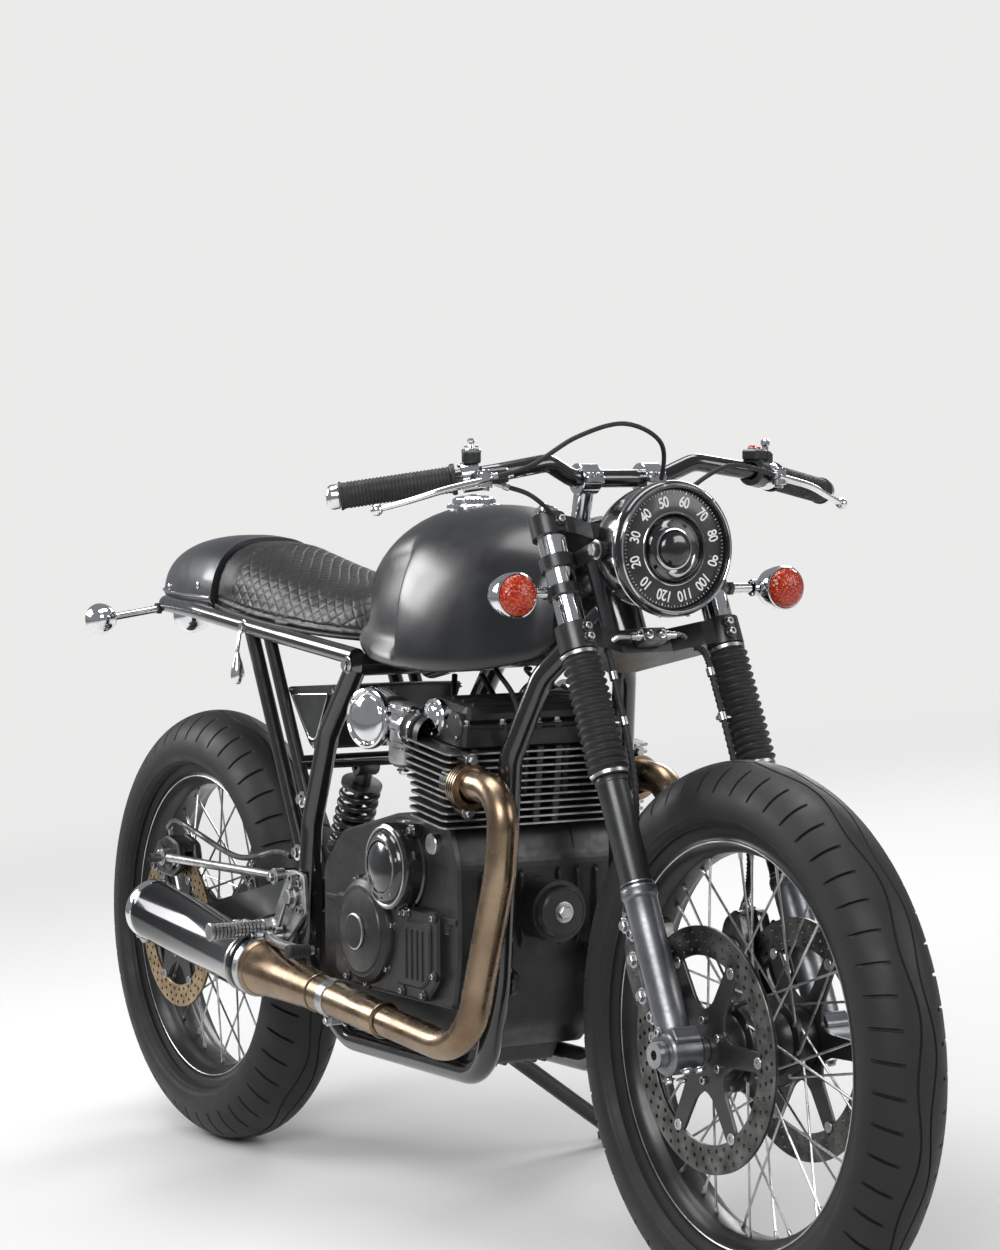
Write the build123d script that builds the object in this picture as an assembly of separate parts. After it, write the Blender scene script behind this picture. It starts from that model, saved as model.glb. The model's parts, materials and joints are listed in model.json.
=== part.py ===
from build123d import *
import os
from math import cos, hypot, pi, radians, sin

os.makedirs("parts", exist_ok=True)

# Cafe racer motorcycle, millimetres.
# It is modelled upright: X forward from the rear axle, Y to the rider's left, Z up from the floor.
# Every node is then leaned onto the side stand and moved so that the origin is on the floor.

# Stance
LEAN = 8.0
WHEELBASE = 1400.0
RAKE = 25.0
FORK_OFFSET = 50.0

# Clearances
FIT = 0.1
SEAT_GAP = 0.3
RUNNING = 0.05
SIDE_PLAY = 0.4

# Tyres and rims: the outer half of a tyre's section is a half circle, the crown
REAR_TYRE_RADIUS = 322.0
REAR_CROWN = 62.0
REAR_BEAD_RADIUS = 228.6
REAR_RIM_WIDTH = 68.0
FRONT_TYRE_RADIUS = 330.0
FRONT_CROWN = 52.0
FRONT_BEAD_RADIUS = 241.3
FRONT_RIM_WIDTH = 56.0
RIM_FLANGE = 14.0
RIM_WALL = 5.0
RIM_WELL = 13.0

# Hubs, axles and spokes
AXLE_RADIUS = 10.0
AXLE_BORE = 6.0
SPOKE_PAIRS = 9
SPOKE_RADIUS = 2.2
SPOKE_SWEEP = 52.0
SPOKE_SPLAY = 3.4
HUB_FLANGE_WALL = 10.0
REAR_HUB_RADIUS = 34.0
REAR_FLANGE_RADIUS = 58.0
REAR_FLANGE_Y = 36.0
FRONT_HUB_RADIUS = 30.0
FRONT_FLANGE_RADIUS = 52.0
FRONT_FLANGE_Y = 32.0

# Brakes
REAR_DISC_RADIUS = 118.0
REAR_DISC_Y = 80.0
FRONT_DISC_RADIUS = 143.0
FRONT_DISC_Y = 68.0
DISC_WALL = 5.0
DISC_SLOT = 6.0
REAR_WINDOW = (62.0, 20.0)
FRONT_WINDOW = (78.0, 26.0)

# Drive
CHAIN_Y = 80.0
CHAIN_WIDTH = 14.0
CHAIN_DEPTH = 13.0
REAR_SPROCKET_RADIUS = 88.0
FRONT_SPROCKET_RADIUS = 36.0
FRONT_SPROCKET_X = 566.0
FRONT_SPROCKET_Z = 425.0
SPROCKET_TEETH = 40
SPROCKET_WALL = 6.0
CHAIN_CLEARANCE = 2.0

# Fork, measured along the steering axis up from the front axle
LEG_Y = 105.0
STANCHION_RADIUS = 17.5
LEG_RADIUS = 20.0
SLEEVE_RADIUS = 19.0
GAITER_RADIUS = 25.0
GAITER_ROOT = 20.5
GAITER_RIBS = 13
LEG_FOOT = -16.0
LEG_TOP = 197.0
SLEEVE_TOP = 336.0
LOWER_CLAMP_HEIGHT = 498.0
LOWER_CLAMP_WALL = 30.0
TOP_CLAMP_HEIGHT = 648.0
TOP_CLAMP_WALL = 22.0
FORK_TOP = 682.0
HEAD_TUBE_RADIUS = 27.0
HEAD_TUBE_WALL = 7.0
HEAD_GAP = 1.0
CLAMP_WALL = 5.5
COLLAR_WALL = 4.0
CALIPER_SEAT_Y = 84.0
CALIPER_BOLTS = (78.0, 122.0)
CALIPER_BACK = 28.0
CALIPER_HALF = 21.0

# Headlamp, round and facing forward
LAMP_FORWARD = 150.39
LAMP_DROP = 85.58
LAMP_RADIUS = 80.0
LAMP_DEPTH = 112.0
LAMP_BEZEL = 12.0
LAMP_WALL = 3.0
LAMP_RING_DROP = 37.0
INDICATOR_SHARE = 0.382

# Handlebar and grips
BAR_RADIUS = 11.0
GRIP_RADIUS = 16.0
BAR_FORWARD = 64.45
BAR_RISE = 47.19
BAR_CLAMP_Y = 45.0
BAR_BEND = (12.0, 105.0, 20.0)
BAR_GRIP = (20.0, 190.0, 7.0)
BAR_END = (-62.0, 350.0, -18.0)
LEVER_TIP = (3.0, 335.0, -34.0)
GRIP_START = 42.0
PERCH_START = 24.0

# Frame tubes
TUBE_RADIUS = 15.0
BACKBONE_RADIUS = 22.0
RAIL_RADIUS = 12.0
STRUT_RADIUS = 10.0
FRAME_Y = 108.0
CRADLE_Y = 88.0
CRADLE_Z = 232.0
PIVOT_X = 485.0
PIVOT_Z = 420.0
PLATE_WALL = 10.0
DOWN_TUBE_SHARE = 0.475
BACKBONE_SHARE = 0.754
TUNNEL_GAP = 6.0

# Swingarm
ARM_INNER_Y = 93.0
ARM_WIDTH = 26.0
ARM_HEIGHT = 44.0
PIVOT_TUBE_RADIUS = 24.0

# Engine: an upright parallel twin, canted forward, with a port at each end of its head
ENGINE_CANT = 8.0
CASE_HALF = 118.0
CASE_POCKET_Y = 60.0
DECK_X = 884.0
DECK_Z = 553.0
PORT_Y = 123.0
FIN_HALF = 150.0
FIN_COUNT = 11
FIN_WALL = 3.2
FIN_PITCH = 9.4
BLOCK_FINS = 4
FIN_CORNER = 10.0
BARREL_HALF = 132.0
PORT_HEIGHT = 60.5
INTAKE_HEIGHT = 106.0

# Exhaust
HEADER_RADIUS = 20.0
OUTLET_RADIUS = 24.0
PIPE_LOW = (954.0, 130.0, 266.0)
PIPE_MID = (692.0, 145.0, 293.5)
MUFFLER_FRONT = (430.0, 160.0, 321.0)
MUFFLER_RADIUS = 42.0
MUFFLER_Y = 170.0

# Bodywork: rows are X, half width, low Z and high Z
TANK_ROWS = (
    (600.0, 92.0, 772.0, 868.0),
    (690.0, 124.0, 750.0, 932.0),
    (800.0, 135.0, 744.0, 953.0),
    (930.0, 112.0, 748.0, 945.0),
    (1036.0, 58.0, 772.0, 902.0),
)
SEAT_ROWS = (
    (164.0, 96.0, 806.0, 904.0),
    (350.0, 112.0, 784.0, 868.0),
    (480.0, 110.0, 776.0, 846.0),
    (612.0, 92.0, 770.0, 842.0),
)
COWL_ROWS = (
    (163.5, 100.0, 802.0, 906.0),
    (60.0, 92.0, 806.0, 900.0),
    (-50.0, 66.0, 812.0, 878.0),
    (-130.0, 30.0, 818.0, 846.0),
)
TANK_ARCH = 0.55
SEAT_ARCH = 0.62
COWL_ARCH = 0.5
KNEE_Y = 118.0
KNEE_OUTLINE = ((590.0, 770.0), (784.0, 770.0), (782.0, 850.0), (764.0, 896.0), (730.0, 916.0), (590.0, 916.0))
CAP_X = 760.0
CAP_Z = 950.0

# Side stand
STAND_PIVOT = (548.0, 130.0, 214.0)
STAND_FOOT = (562.0, 352.0)
STAND_RADIUS = 11.0

# Worked out
RISE = REAR_CROWN * (1 - cos(radians(LEAN)))
FRONT_AXLE_Z = FRONT_TYRE_RADIUS - (REAR_CROWN - FRONT_CROWN) * (1 - cos(radians(LEAN)))
REAR_AXLE = (0.0, 0.0, REAR_TYRE_RADIUS)
FRONT_AXLE = (WHEELBASE, 0.0, FRONT_AXLE_Z)
STEER_UP = Vector(-sin(radians(RAKE)), 0, cos(radians(RAKE)))
STEER_FORWARD = Vector(cos(radians(RAKE)), 0, sin(radians(RAKE)))
STEER_FOOT = Vector(*FRONT_AXLE) - STEER_FORWARD * FORK_OFFSET
FORK = Plane(origin=STEER_FOOT, x_dir=STEER_FORWARD, z_dir=STEER_UP)
ENGINE = Plane(
    origin=Vector(DECK_X, 0, DECK_Z),
    x_dir=Vector(cos(radians(ENGINE_CANT)), 0, -sin(radians(ENGINE_CANT))),
    z_dir=Vector(sin(radians(ENGINE_CANT)), 0, cos(radians(ENGINE_CANT))),
)
BAR_HEIGHT = TOP_CLAMP_HEIGHT + TOP_CLAMP_WALL + BAR_RISE
LAMP_HEIGHT = TOP_CLAMP_HEIGHT + TOP_CLAMP_WALL - LAMP_DROP
LAMP_FACE = STEER_FOOT + STEER_FORWARD * LAMP_FORWARD + STEER_UP * LAMP_HEIGHT
LAMP_RING_HEIGHT = TOP_CLAMP_HEIGHT - LAMP_RING_DROP
BAR_CENTRE = STEER_FOOT + STEER_FORWARD * BAR_FORWARD + STEER_UP * BAR_HEIGHT
HEAD_LOW = LOWER_CLAMP_HEIGHT + LOWER_CLAMP_WALL + HEAD_GAP
HEAD_HIGH = TOP_CLAMP_HEIGHT - HEAD_GAP
DOWN_TUBE_HEIGHT = HEAD_LOW + DOWN_TUBE_SHARE * (HEAD_HIGH - HEAD_LOW)
BACKBONE_HEIGHT = HEAD_LOW + BACKBONE_SHARE * (HEAD_HIGH - HEAD_LOW)
ORIGIN_X = (WHEELBASE + FRONT_TYRE_RADIUS - REAR_TYRE_RADIUS) / 2
ORIGIN_Y = (BAR_CENTRE.Z + BAR_END[2]) * sin(radians(LEAN))
REST = Location((-ORIGIN_X, -ORIGIN_Y, RISE)) * Rot(X=-LEAN)

nodes = {}


# Shape helpers
def rod(start, end, radius):
    """A round bar from one point to another."""
    axis = Vector(*end) - Vector(*start)
    bar = Cylinder(radius, axis.length, align=(Align.CENTER, Align.CENTER, Align.MIN))
    return Plane(Vector(*start), z_dir=axis) * bar


def cone(start, end, radius_start, radius_end):
    """A round taper from one point to another."""
    axis = Vector(*end) - Vector(*start)
    taper = Cone(radius_start, radius_end, axis.length, align=(Align.CENTER, Align.CENTER, Align.MIN))
    return Plane(Vector(*start), z_dir=axis) * taper


def bent_tube(points, radius, bends):
    """A round tube along straight runs joined by arcs."""
    path = FilletPolyline(*points, radius=bends)
    return sweep(Plane(path @ 0, z_dir=path % 0) * Circle(radius), path)


def lathe(profile, origin=(0, 0, 0), axis=(0, 1, 0)):
    """A turned piece: profile rows are radius and distance along the axis."""
    outline = Polyline(*[(r, 0, h) for r, h in profile], close=True)
    turned = revolve(make_face(outline), Axis.Z)
    return Plane(Vector(*origin), z_dir=Vector(*axis)) * turned


def barrel(origin, axis, radius, length, inner=0.0):
    """A round piece centred on a point, with an optional bore."""
    piece = Cylinder(radius, length)
    if inner:
        piece -= Cylinder(inner, 2 * length)
    return Plane(Vector(*origin), z_dir=Vector(*axis)) * piece


def side_plate(outline, y_low, y_high):
    """A flat plate with an outline in X and Z."""
    face = make_face(Polyline(*[(x, y_low, z) for x, z in outline], close=True))
    return extrude(face, amount=y_high - y_low, dir=(0, 1, 0))


def left(x, y, z, side=1):
    return (x, y * side, z)


def pair(shape):
    """A piece and its mirror image across the bike's centre plane."""
    return [shape, mirror(shape, Plane.XZ)]


def fuse(*shapes):
    whole = shapes[0]
    for shape in shapes[1:]:
        whole = whole + shape
    return whole


def cut(shape, *tools):
    for tool in tools:
        shape = shape - tool
    return shape


def node(name, *shapes):
    """Keep the solids of one named node."""
    nodes[name] = [solid for shape in shapes for solid in shape.solids()]


# Wheels
def tyre(origin, outer, crown, bead, width):
    centre = outer - crown
    inside = width / 2
    lip = inside + RIM_WALL + 1
    step = bead + RIM_FLANGE
    left_wall = TangentArc((centre, 0, crown), (step, 0, lip), tangent=(-1, 0, 0))
    right_wall = TangentArc((centre, 0, -crown), (step, 0, -lip), tangent=(-1, 0, 0))
    tread = ThreePointArc((centre, 0, -crown), (outer, 0, 0), (centre, 0, crown))
    base = Polyline(
        (step, 0, lip), (step, 0, inside), (bead, 0, inside),
        (bead, 0, -inside), (step, 0, -inside), (step, 0, -lip),
    )
    ring = revolve(make_face([left_wall, tread, right_wall, base]), Axis.Z)
    return Plane(Vector(*origin), z_dir=Vector(0, 1, 0)) * ring


def rim(origin, bead, width):
    inside = width / 2
    outside = inside + RIM_WALL
    half = [
        (bead, inside),
        (bead + RIM_FLANGE, inside),
        (bead + RIM_FLANGE, outside),
        (bead - RIM_WALL, outside),
        (bead - RIM_WALL - RIM_WELL, inside * 0.45),
    ]
    well = [(bead - RIM_WELL, inside * 0.4), (bead - 2, inside * 0.75)]
    mirrored = [(r, -h) for r, h in reversed(half)]
    profile = well + half + mirrored + [(r, -h) for r, h in reversed(well)]
    return lathe(profile, origin)


def spokes(origin, bead, flange_radius, flange_y, hub, hoop):
    bars = []
    step = 180 / SPOKE_PAIRS
    inner = flange_radius - 5
    outer = bead - RIM_WALL - RIM_WELL + 4
    for side in (1, -1):
        for k in range(2 * SPOKE_PAIRS):
            lead = 1 if k % 2 else -1
            at_rim = radians(k * step + (step / 2 if side < 0 else 0))
            at_hub = at_rim + radians(lead * SPOKE_SWEEP)
            y_hub = side * flange_y + lead * SPOKE_SPLAY * side
            y_rim = side * 5 + lead * SPOKE_SPLAY * side * 0.8
            start = Vector(inner * cos(at_hub), y_hub, inner * sin(at_hub))
            end = Vector(outer * cos(at_rim), y_rim, outer * sin(at_rim))
            section = Plane(start, z_dir=end - start) * RegularPolygon(SPOKE_RADIUS, 6)
            bar = extrude(section, amount=(end - start).length)
            pieces = cut(Pos(*origin) * bar, hub, hoop).solids()
            bars.append(max(pieces, key=lambda piece: piece.volume))
    return bars


def build_rear_wheel():
    x, _, z = REAR_AXLE
    hoop = rim(REAR_AXLE, REAR_BEAD_RADIUS, REAR_RIM_WIDTH)
    disc_face = REAR_DISC_Y - DISC_WALL / 2
    sprocket_face = CHAIN_Y - SPROCKET_WALL / 2
    half = [
        (REAR_HUB_RADIUS, 0),
        (REAR_HUB_RADIUS, REAR_FLANGE_Y - HUB_FLANGE_WALL / 2),
        (REAR_FLANGE_RADIUS, REAR_FLANGE_Y - HUB_FLANGE_WALL / 2),
        (REAR_FLANGE_RADIUS, REAR_FLANGE_Y + HUB_FLANGE_WALL / 2),
        (REAR_HUB_RADIUS + 8, REAR_FLANGE_Y + HUB_FLANGE_WALL / 2),
    ]
    bore = AXLE_RADIUS + RUNNING
    neck = REAR_HUB_RADIUS + 8
    profile = half + [(neck, sprocket_face), (bore, sprocket_face), (bore, -disc_face), (neck, -disc_face)]
    profile += [(r, -h) for r, h in reversed(half[1:])]
    hub = lathe(profile, REAR_AXLE)
    node("rear_tyre", tyre(REAR_AXLE, REAR_TYRE_RADIUS, REAR_CROWN, REAR_BEAD_RADIUS, REAR_RIM_WIDTH))
    node("rear_rim", hoop)
    node("rear_hub", hub)
    node(
        "rear_spokes",
        *spokes(REAR_AXLE, REAR_BEAD_RADIUS, REAR_FLANGE_RADIUS, REAR_FLANGE_Y, hub, hoop),
    )
    plate = barrel((x, -REAR_DISC_Y, z), (0, 1, 0), REAR_DISC_RADIUS, DISC_WALL, AXLE_RADIUS + 6)
    reach, radius = REAR_WINDOW
    windows = [
        barrel(
            (x + reach * cos(radians(60 * k)), -REAR_DISC_Y, z + reach * sin(radians(60 * k))),
            (0, 1, 0), radius, DISC_WALL * 2,
        )
        for k in range(6)
    ]
    node("rear_disc", cut(plate, *windows))
    teeth = []
    tooth_root = REAR_SPROCKET_RADIUS - 7
    for k in range(SPROCKET_TEETH):
        turn = 2 * pi * k / SPROCKET_TEETH
        teeth.append((REAR_SPROCKET_RADIUS * cos(turn - 0.03), REAR_SPROCKET_RADIUS * sin(turn - 0.03)))
        teeth.append((REAR_SPROCKET_RADIUS * cos(turn + 0.03), REAR_SPROCKET_RADIUS * sin(turn + 0.03)))
        valley = turn + pi / SPROCKET_TEETH
        teeth.append((tooth_root * cos(valley), tooth_root * sin(valley)))
    low = CHAIN_Y - SPROCKET_WALL / 2
    wheel = side_plate([(x + u, z + w) for u, w in teeth], low, low + SPROCKET_WALL)
    wheel = cut(wheel, barrel((x, CHAIN_Y, z), (0, 1, 0), AXLE_RADIUS + 6, 40))
    node("rear_sprocket", wheel)


def build_front_wheel():
    x, _, z = FRONT_AXLE
    hoop = rim(FRONT_AXLE, FRONT_BEAD_RADIUS, FRONT_RIM_WIDTH)
    outer_face = FRONT_DISC_Y - DISC_WALL / 2
    half = [
        (FRONT_HUB_RADIUS, 0),
        (FRONT_HUB_RADIUS, FRONT_FLANGE_Y - HUB_FLANGE_WALL / 2),
        (FRONT_FLANGE_RADIUS, FRONT_FLANGE_Y - HUB_FLANGE_WALL / 2),
        (FRONT_FLANGE_RADIUS, FRONT_FLANGE_Y + HUB_FLANGE_WALL / 2),
        (FRONT_HUB_RADIUS + 8, FRONT_FLANGE_Y + HUB_FLANGE_WALL / 2),
        (FRONT_HUB_RADIUS + 8, outer_face),
        (AXLE_RADIUS + RUNNING, outer_face),
    ]
    profile = half + [(r, -h) for r, h in reversed(half[1:])]
    hub = lathe(profile, FRONT_AXLE)
    node("front_tyre", tyre(FRONT_AXLE, FRONT_TYRE_RADIUS, FRONT_CROWN, FRONT_BEAD_RADIUS, FRONT_RIM_WIDTH))
    node("front_rim", hoop)
    node("front_hub", hub)
    node(
        "front_spokes",
        *spokes(FRONT_AXLE, FRONT_BEAD_RADIUS, FRONT_FLANGE_RADIUS, FRONT_FLANGE_Y, hub, hoop),
    )
    discs = []
    for side in (1, -1):
        plate = barrel((x, side * FRONT_DISC_Y, z), (0, 1, 0), FRONT_DISC_RADIUS, DISC_WALL, AXLE_RADIUS + 6)
        reach, radius = FRONT_WINDOW
        windows = [
            barrel(
                (x + reach * cos(radians(60 * k)), side * FRONT_DISC_Y, z + reach * sin(radians(60 * k))),
                (0, 1, 0), radius, DISC_WALL * 2,
            )
            for k in range(6)
        ]
        discs.append(cut(plate, *windows))
    node("front_discs", *discs)


# Steering
def fork_point(forward, y, height):
    return STEER_FOOT + STEER_FORWARD * forward + STEER_UP * height + Vector(0, y, 0)


def fork_rod(y, low, high, radius, forward=FORK_OFFSET):
    return rod(fork_point(forward, y, low), fork_point(forward, y, high), radius)


def clamp_plate(low, wall):
    """A yoke: a ring round each fork tube, joined by a waisted bridge through the stem."""
    half = [
        (-26, 20), (-14, 36), (FORK_OFFSET - 18, LEG_Y - 5), (FORK_OFFSET + 18, LEG_Y - 5),
        (FORK_OFFSET + 8, LEG_Y - 33), (FORK_OFFSET - 12, 36),
    ]
    outline = half + [(x, -y) for x, y in reversed(half)]
    face = make_face(Polyline(*[(x, y, low) for x, y in outline], close=True))
    plate = FORK * extrude(face, amount=wall, dir=(0, 0, 1))
    bosses = [
        fork_rod(side * LEG_Y, low - 2, low + wall + 2, STANCHION_RADIUS + CLAMP_WALL) for side in (1, -1)
    ]
    plate = fuse(plate, *bosses)
    bores = [fork_rod(side * LEG_Y, low - 20, low + wall + 20, STANCHION_RADIUS + FIT) for side in (1, -1)]
    return cut(plate, *bores)


def build_fork():
    lower = clamp_plate(LOWER_CLAMP_HEIGHT, LOWER_CLAMP_WALL)
    stem_top = TOP_CLAMP_HEIGHT
    stem_radius = HEAD_TUBE_RADIUS - HEAD_TUBE_WALL - RUNNING
    stem = fork_rod(0, LOWER_CLAMP_HEIGHT + LOWER_CLAMP_WALL, stem_top, stem_radius, 0)
    nut = fork_rod(0, TOP_CLAMP_HEIGHT + TOP_CLAMP_WALL, TOP_CLAMP_HEIGHT + TOP_CLAMP_WALL + 12, 17, 0)
    upper = fuse(clamp_plate(TOP_CLAMP_HEIGHT, TOP_CLAMP_WALL), nut)
    node("fork_clamps", fuse(lower, stem, upper), *lamp_brackets())
    tubes, gaiters, legs = [], [], []
    for side in (1, -1):
        y = side * LEG_Y
        tube = fork_rod(y, SLEEVE_TOP - 10, FORK_TOP - 6, STANCHION_RADIUS)
        cap = fork_rod(y, FORK_TOP - 6, FORK_TOP, STANCHION_RADIUS - 3)
        tubes.append(fuse(tube, cap))
        low = SLEEVE_TOP + SEAT_GAP
        high = LOWER_CLAMP_HEIGHT - 2 - SEAT_GAP
        pitch = (high - low) / GAITER_RIBS
        bore = STANCHION_RADIUS + SEAT_GAP
        ribs = []
        for k in range(GAITER_RIBS):
            ribs.append((GAITER_ROOT, low + k * pitch))
            ribs.append((GAITER_RADIUS, low + (k + 0.5) * pitch))
        ribs.append((GAITER_ROOT, high))
        profile = ribs + [(bore, high), (bore, low)]
        gaiters.append(lathe(profile, fork_point(FORK_OFFSET, y, 0), STEER_UP))
        sleeve = cut(
            fork_rod(y, LEG_TOP, SLEEVE_TOP, SLEEVE_RADIUS),
            fork_rod(y, SLEEVE_TOP - 12, SLEEVE_TOP + 12, STANCHION_RADIUS + FIT),
        )
        leg = fork_rod(y, LEG_FOOT, LEG_TOP, LEG_RADIUS)
        ring = fork_rod(y, LEG_TOP - 9, LEG_TOP, LEG_RADIUS + 2)
        boss = barrel((FRONT_AXLE[0], y, FRONT_AXLE[2]), (0, 1, 0), 25, 2 * LEG_RADIUS + 4)
        lug = rod(fork_point(FORK_OFFSET - 18, y, 70), fork_point(FORK_OFFSET - 18, y, 130), 11)
        back = FORK_OFFSET - CALIPER_BACK
        inward = side * CALIPER_SEAT_Y
        seats = [rod(fork_point(back, y, at), fork_point(back, inward, at), 10) for at in CALIPER_BOLTS]
        leg = fuse(leg, ring, boss, lug, *seats)
        leg = cut(leg, barrel((FRONT_AXLE[0], y, FRONT_AXLE[2]), (0, 1, 0), AXLE_RADIUS + FIT, 90))
        legs.append(fuse(leg, sleeve))
    node("fork_tubes", *tubes)
    node("fork_gaiters", *gaiters)
    node("fork_legs", *legs)
    x, _, z = FRONT_AXLE
    end = LEG_Y + LEG_RADIUS + 14
    hub_face = FRONT_DISC_Y + DISC_WALL / 2 + SIDE_PLAY
    leg_face = LEG_Y - LEG_RADIUS - 2
    shaft = rod((x, -end, z), (x, end, z), AXLE_RADIUS)
    collars = [
        rod((x, side * hub_face, z), (x, side * leg_face, z), AXLE_RADIUS + 5) for side in (1, -1)
    ]
    heads = [
        rod((x, side * (leg_face + 2 * LEG_RADIUS + 4), z), (x, side * end, z), AXLE_RADIUS + 5)
        for side in (1, -1)
    ]
    axle = cut(fuse(shaft, *collars, *heads), rod((x, -end - 5, z), (x, end + 5, z), AXLE_BORE))
    node("front_axle", axle)


def build_calipers():
    blocks = []
    for side in (1, -1):
        y = side * FRONT_DISC_Y
        spine = [(-32, 38), (-72, 60), (-92, 95), (-92, 150), (-62, 178), (-28, 172), (-22, 120), (-26, 70)]
        points = [fork_point(FORK_OFFSET + f, 0, h) for f, h in spine]
        body = side_plate([(p.X, p.Z) for p in points], y - CALIPER_HALF, y + CALIPER_HALF)
        slot = barrel(
            (FRONT_AXLE[0], y, FRONT_AXLE[2]), (0, 1, 0), FRONT_DISC_RADIUS + DISC_SLOT, DISC_WALL + DISC_SLOT
        )
        blocks.append(cut(body, slot))
    legs = Compound(nodes["fork_legs"])
    node("front_calipers", *[cut(block, legs) for block in blocks])


def build_headlamp():
    back = LAMP_FACE.X - LAMP_DEPTH
    shell = lathe(
        [
            (0, 0), (34, 4), (62, 24), (LAMP_RADIUS - 4, 58), (LAMP_RADIUS - 2, LAMP_DEPTH - 18),
            (LAMP_RADIUS - 2, LAMP_DEPTH - LAMP_BEZEL), (LAMP_RADIUS - 2 - LAMP_WALL, LAMP_DEPTH - LAMP_BEZEL),
            (LAMP_RADIUS - 2 - LAMP_WALL, 60), (58, 28), (30, 8), (0, 6),
        ],
        (back, 0, LAMP_FACE.Z), (1, 0, 0),
    )
    bezel = lathe(
        [
            (LAMP_RADIUS, LAMP_DEPTH - LAMP_BEZEL - 4), (LAMP_RADIUS + 2, LAMP_DEPTH - LAMP_BEZEL + 3),
            (LAMP_RADIUS, LAMP_DEPTH), (LAMP_RADIUS - 8, LAMP_DEPTH),
            (LAMP_RADIUS - 8, LAMP_DEPTH - LAMP_BEZEL - 4),
        ],
        (back, 0, LAMP_FACE.Z), (1, 0, 0),
    )
    dial = lathe(
        [
            (0, LAMP_DEPTH - 12), (LAMP_RADIUS - 8.3, LAMP_DEPTH - 12), (LAMP_RADIUS - 8.3, LAMP_DEPTH - 4),
            (44, LAMP_DEPTH - 6), (40, LAMP_DEPTH - 9), (24, LAMP_DEPTH - 9), (22, LAMP_DEPTH - 2),
            (12, LAMP_DEPTH + 1), (0, LAMP_DEPTH + 2),
        ],
        (back, 0, LAMP_FACE.Z), (1, 0, 0),
    )
    node("headlamp_shell", fuse(shell, bezel))
    node("headlamp_dial", dial)


def lamp_brackets():
    ears = []
    """A short ring round each fork tube, with an ear that carries the lamp's pivot."""
    low = LAMP_RING_HEIGHT - 8
    high = LAMP_RING_HEIGHT + 8
    ring = fork_point(FORK_OFFSET, 0, LAMP_RING_HEIGHT)
    pivot_x = LAMP_FACE.X - 44
    outline = [(ring.X - 10, ring.Z - 8), (ring.X - 4, ring.Z + 11)]
    outline += [(pivot_x + x, LAMP_FACE.Z + z) for x, z in [(-2, 11), (7, 8), (11, 0), (7, -8), (-2, -11)]]
    for side in (1, -1):
        y_in = side * (LAMP_RADIUS + SEAT_GAP)
        y_out = side * (LAMP_RADIUS + 6)
        ear = side_plate(outline, min(y_in, y_out), max(y_in, y_out))
        inner = (pivot_x, side * (LAMP_RADIUS - 2.9), LAMP_FACE.Z)
        outer = (pivot_x, side * (LAMP_RADIUS + 10), LAMP_FACE.Z)
        ear = fuse(ear, rod(inner, outer, 9))
        collar = fork_rod(side * LEG_Y, low, high, STANCHION_RADIUS + COLLAR_WALL)
        bore = fork_rod(side * LEG_Y, low - 15, high + 15, STANCHION_RADIUS + FIT)
        ears.append(cut(fuse(collar, ear), bore))
    return ears


def bar_point(offset, side=1):
    """A point measured from the middle of the handlebar."""
    return (BAR_CENTRE.X + offset[0], offset[1] * side, BAR_CENTRE.Z + offset[2])


def build_handlebar():
    half = [BAR_END, BAR_GRIP, BAR_BEND, (0, 62, 0)]
    path = [bar_point(offset, -1) for offset in half]
    path += [bar_point(offset) for offset in reversed(half)]
    bar = bent_tube(path, BAR_RADIUS, [40, 30, 40, 40, 30, 40])
    node("handlebar", bar)
    bottom = TOP_CLAMP_HEIGHT + TOP_CLAMP_WALL
    risers = []
    for side in (1, -1):
        y = side * BAR_CLAMP_Y
        foot = fork_point(26, y, bottom)
        middle = bar_point((0, y, 0))
        post = rod(foot, middle, 14)
        block = barrel(middle, (0, 1, 0), BAR_RADIUS + 8, 26)
        risers.append(cut(fuse(post, block), bar))
    node("bar_clamps", *[cut(riser, *nodes["fork_clamps"]) for riser in risers])
    grips, levers = [], []
    for side in (1, -1):
        start = Vector(*bar_point(BAR_GRIP, side))
        end = Vector(*bar_point(BAR_END, side))
        along = (end - start).normalized()
        first = start + along * GRIP_START
        grip = cut(rod(first, end, GRIP_RADIUS), rod(start, end + along * 9, BAR_RADIUS + FIT))
        grips.append(grip)
        grips.append(rod(end + along * SEAT_GAP, end + along * 16, GRIP_RADIUS - 1))
        clamp_at = start + along * PERCH_START
        ring = rod(clamp_at - along * 11, clamp_at + along * 11, BAR_RADIUS + 7)
        root = clamp_at + Vector(34, 0, -4)
        arm = rod(clamp_at, root, 8)
        tip = Vector(*bar_point(LEVER_TIP, side))
        middle = root + (tip - root) * 0.45 + Vector(10, 0, 2)
        knuckles = [(root, 9), (middle, 5.6), (tip, 7)]
        balls = [Pos(at.X, at.Y, at.Z) * Sphere(size) for at, size in knuckles]
        blade = fuse(cone(root, middle, 6, 5), cone(middle, tip, 5, 3.6), *balls)
        pot_rows = [(0, 0), (11, 0), (12, 4), (12, 18), (6, 20), (4, 22), (4, 28), (6, 31), (0, 34)]
        pot = lathe(pot_rows, clamp_at + Vector(2, 0, 12), (0, 0, 1))
        levers.append(cut(fuse(ring, arm, pot, blade), bar))
    node("grips", *grips)
    node("levers", *levers)


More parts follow.
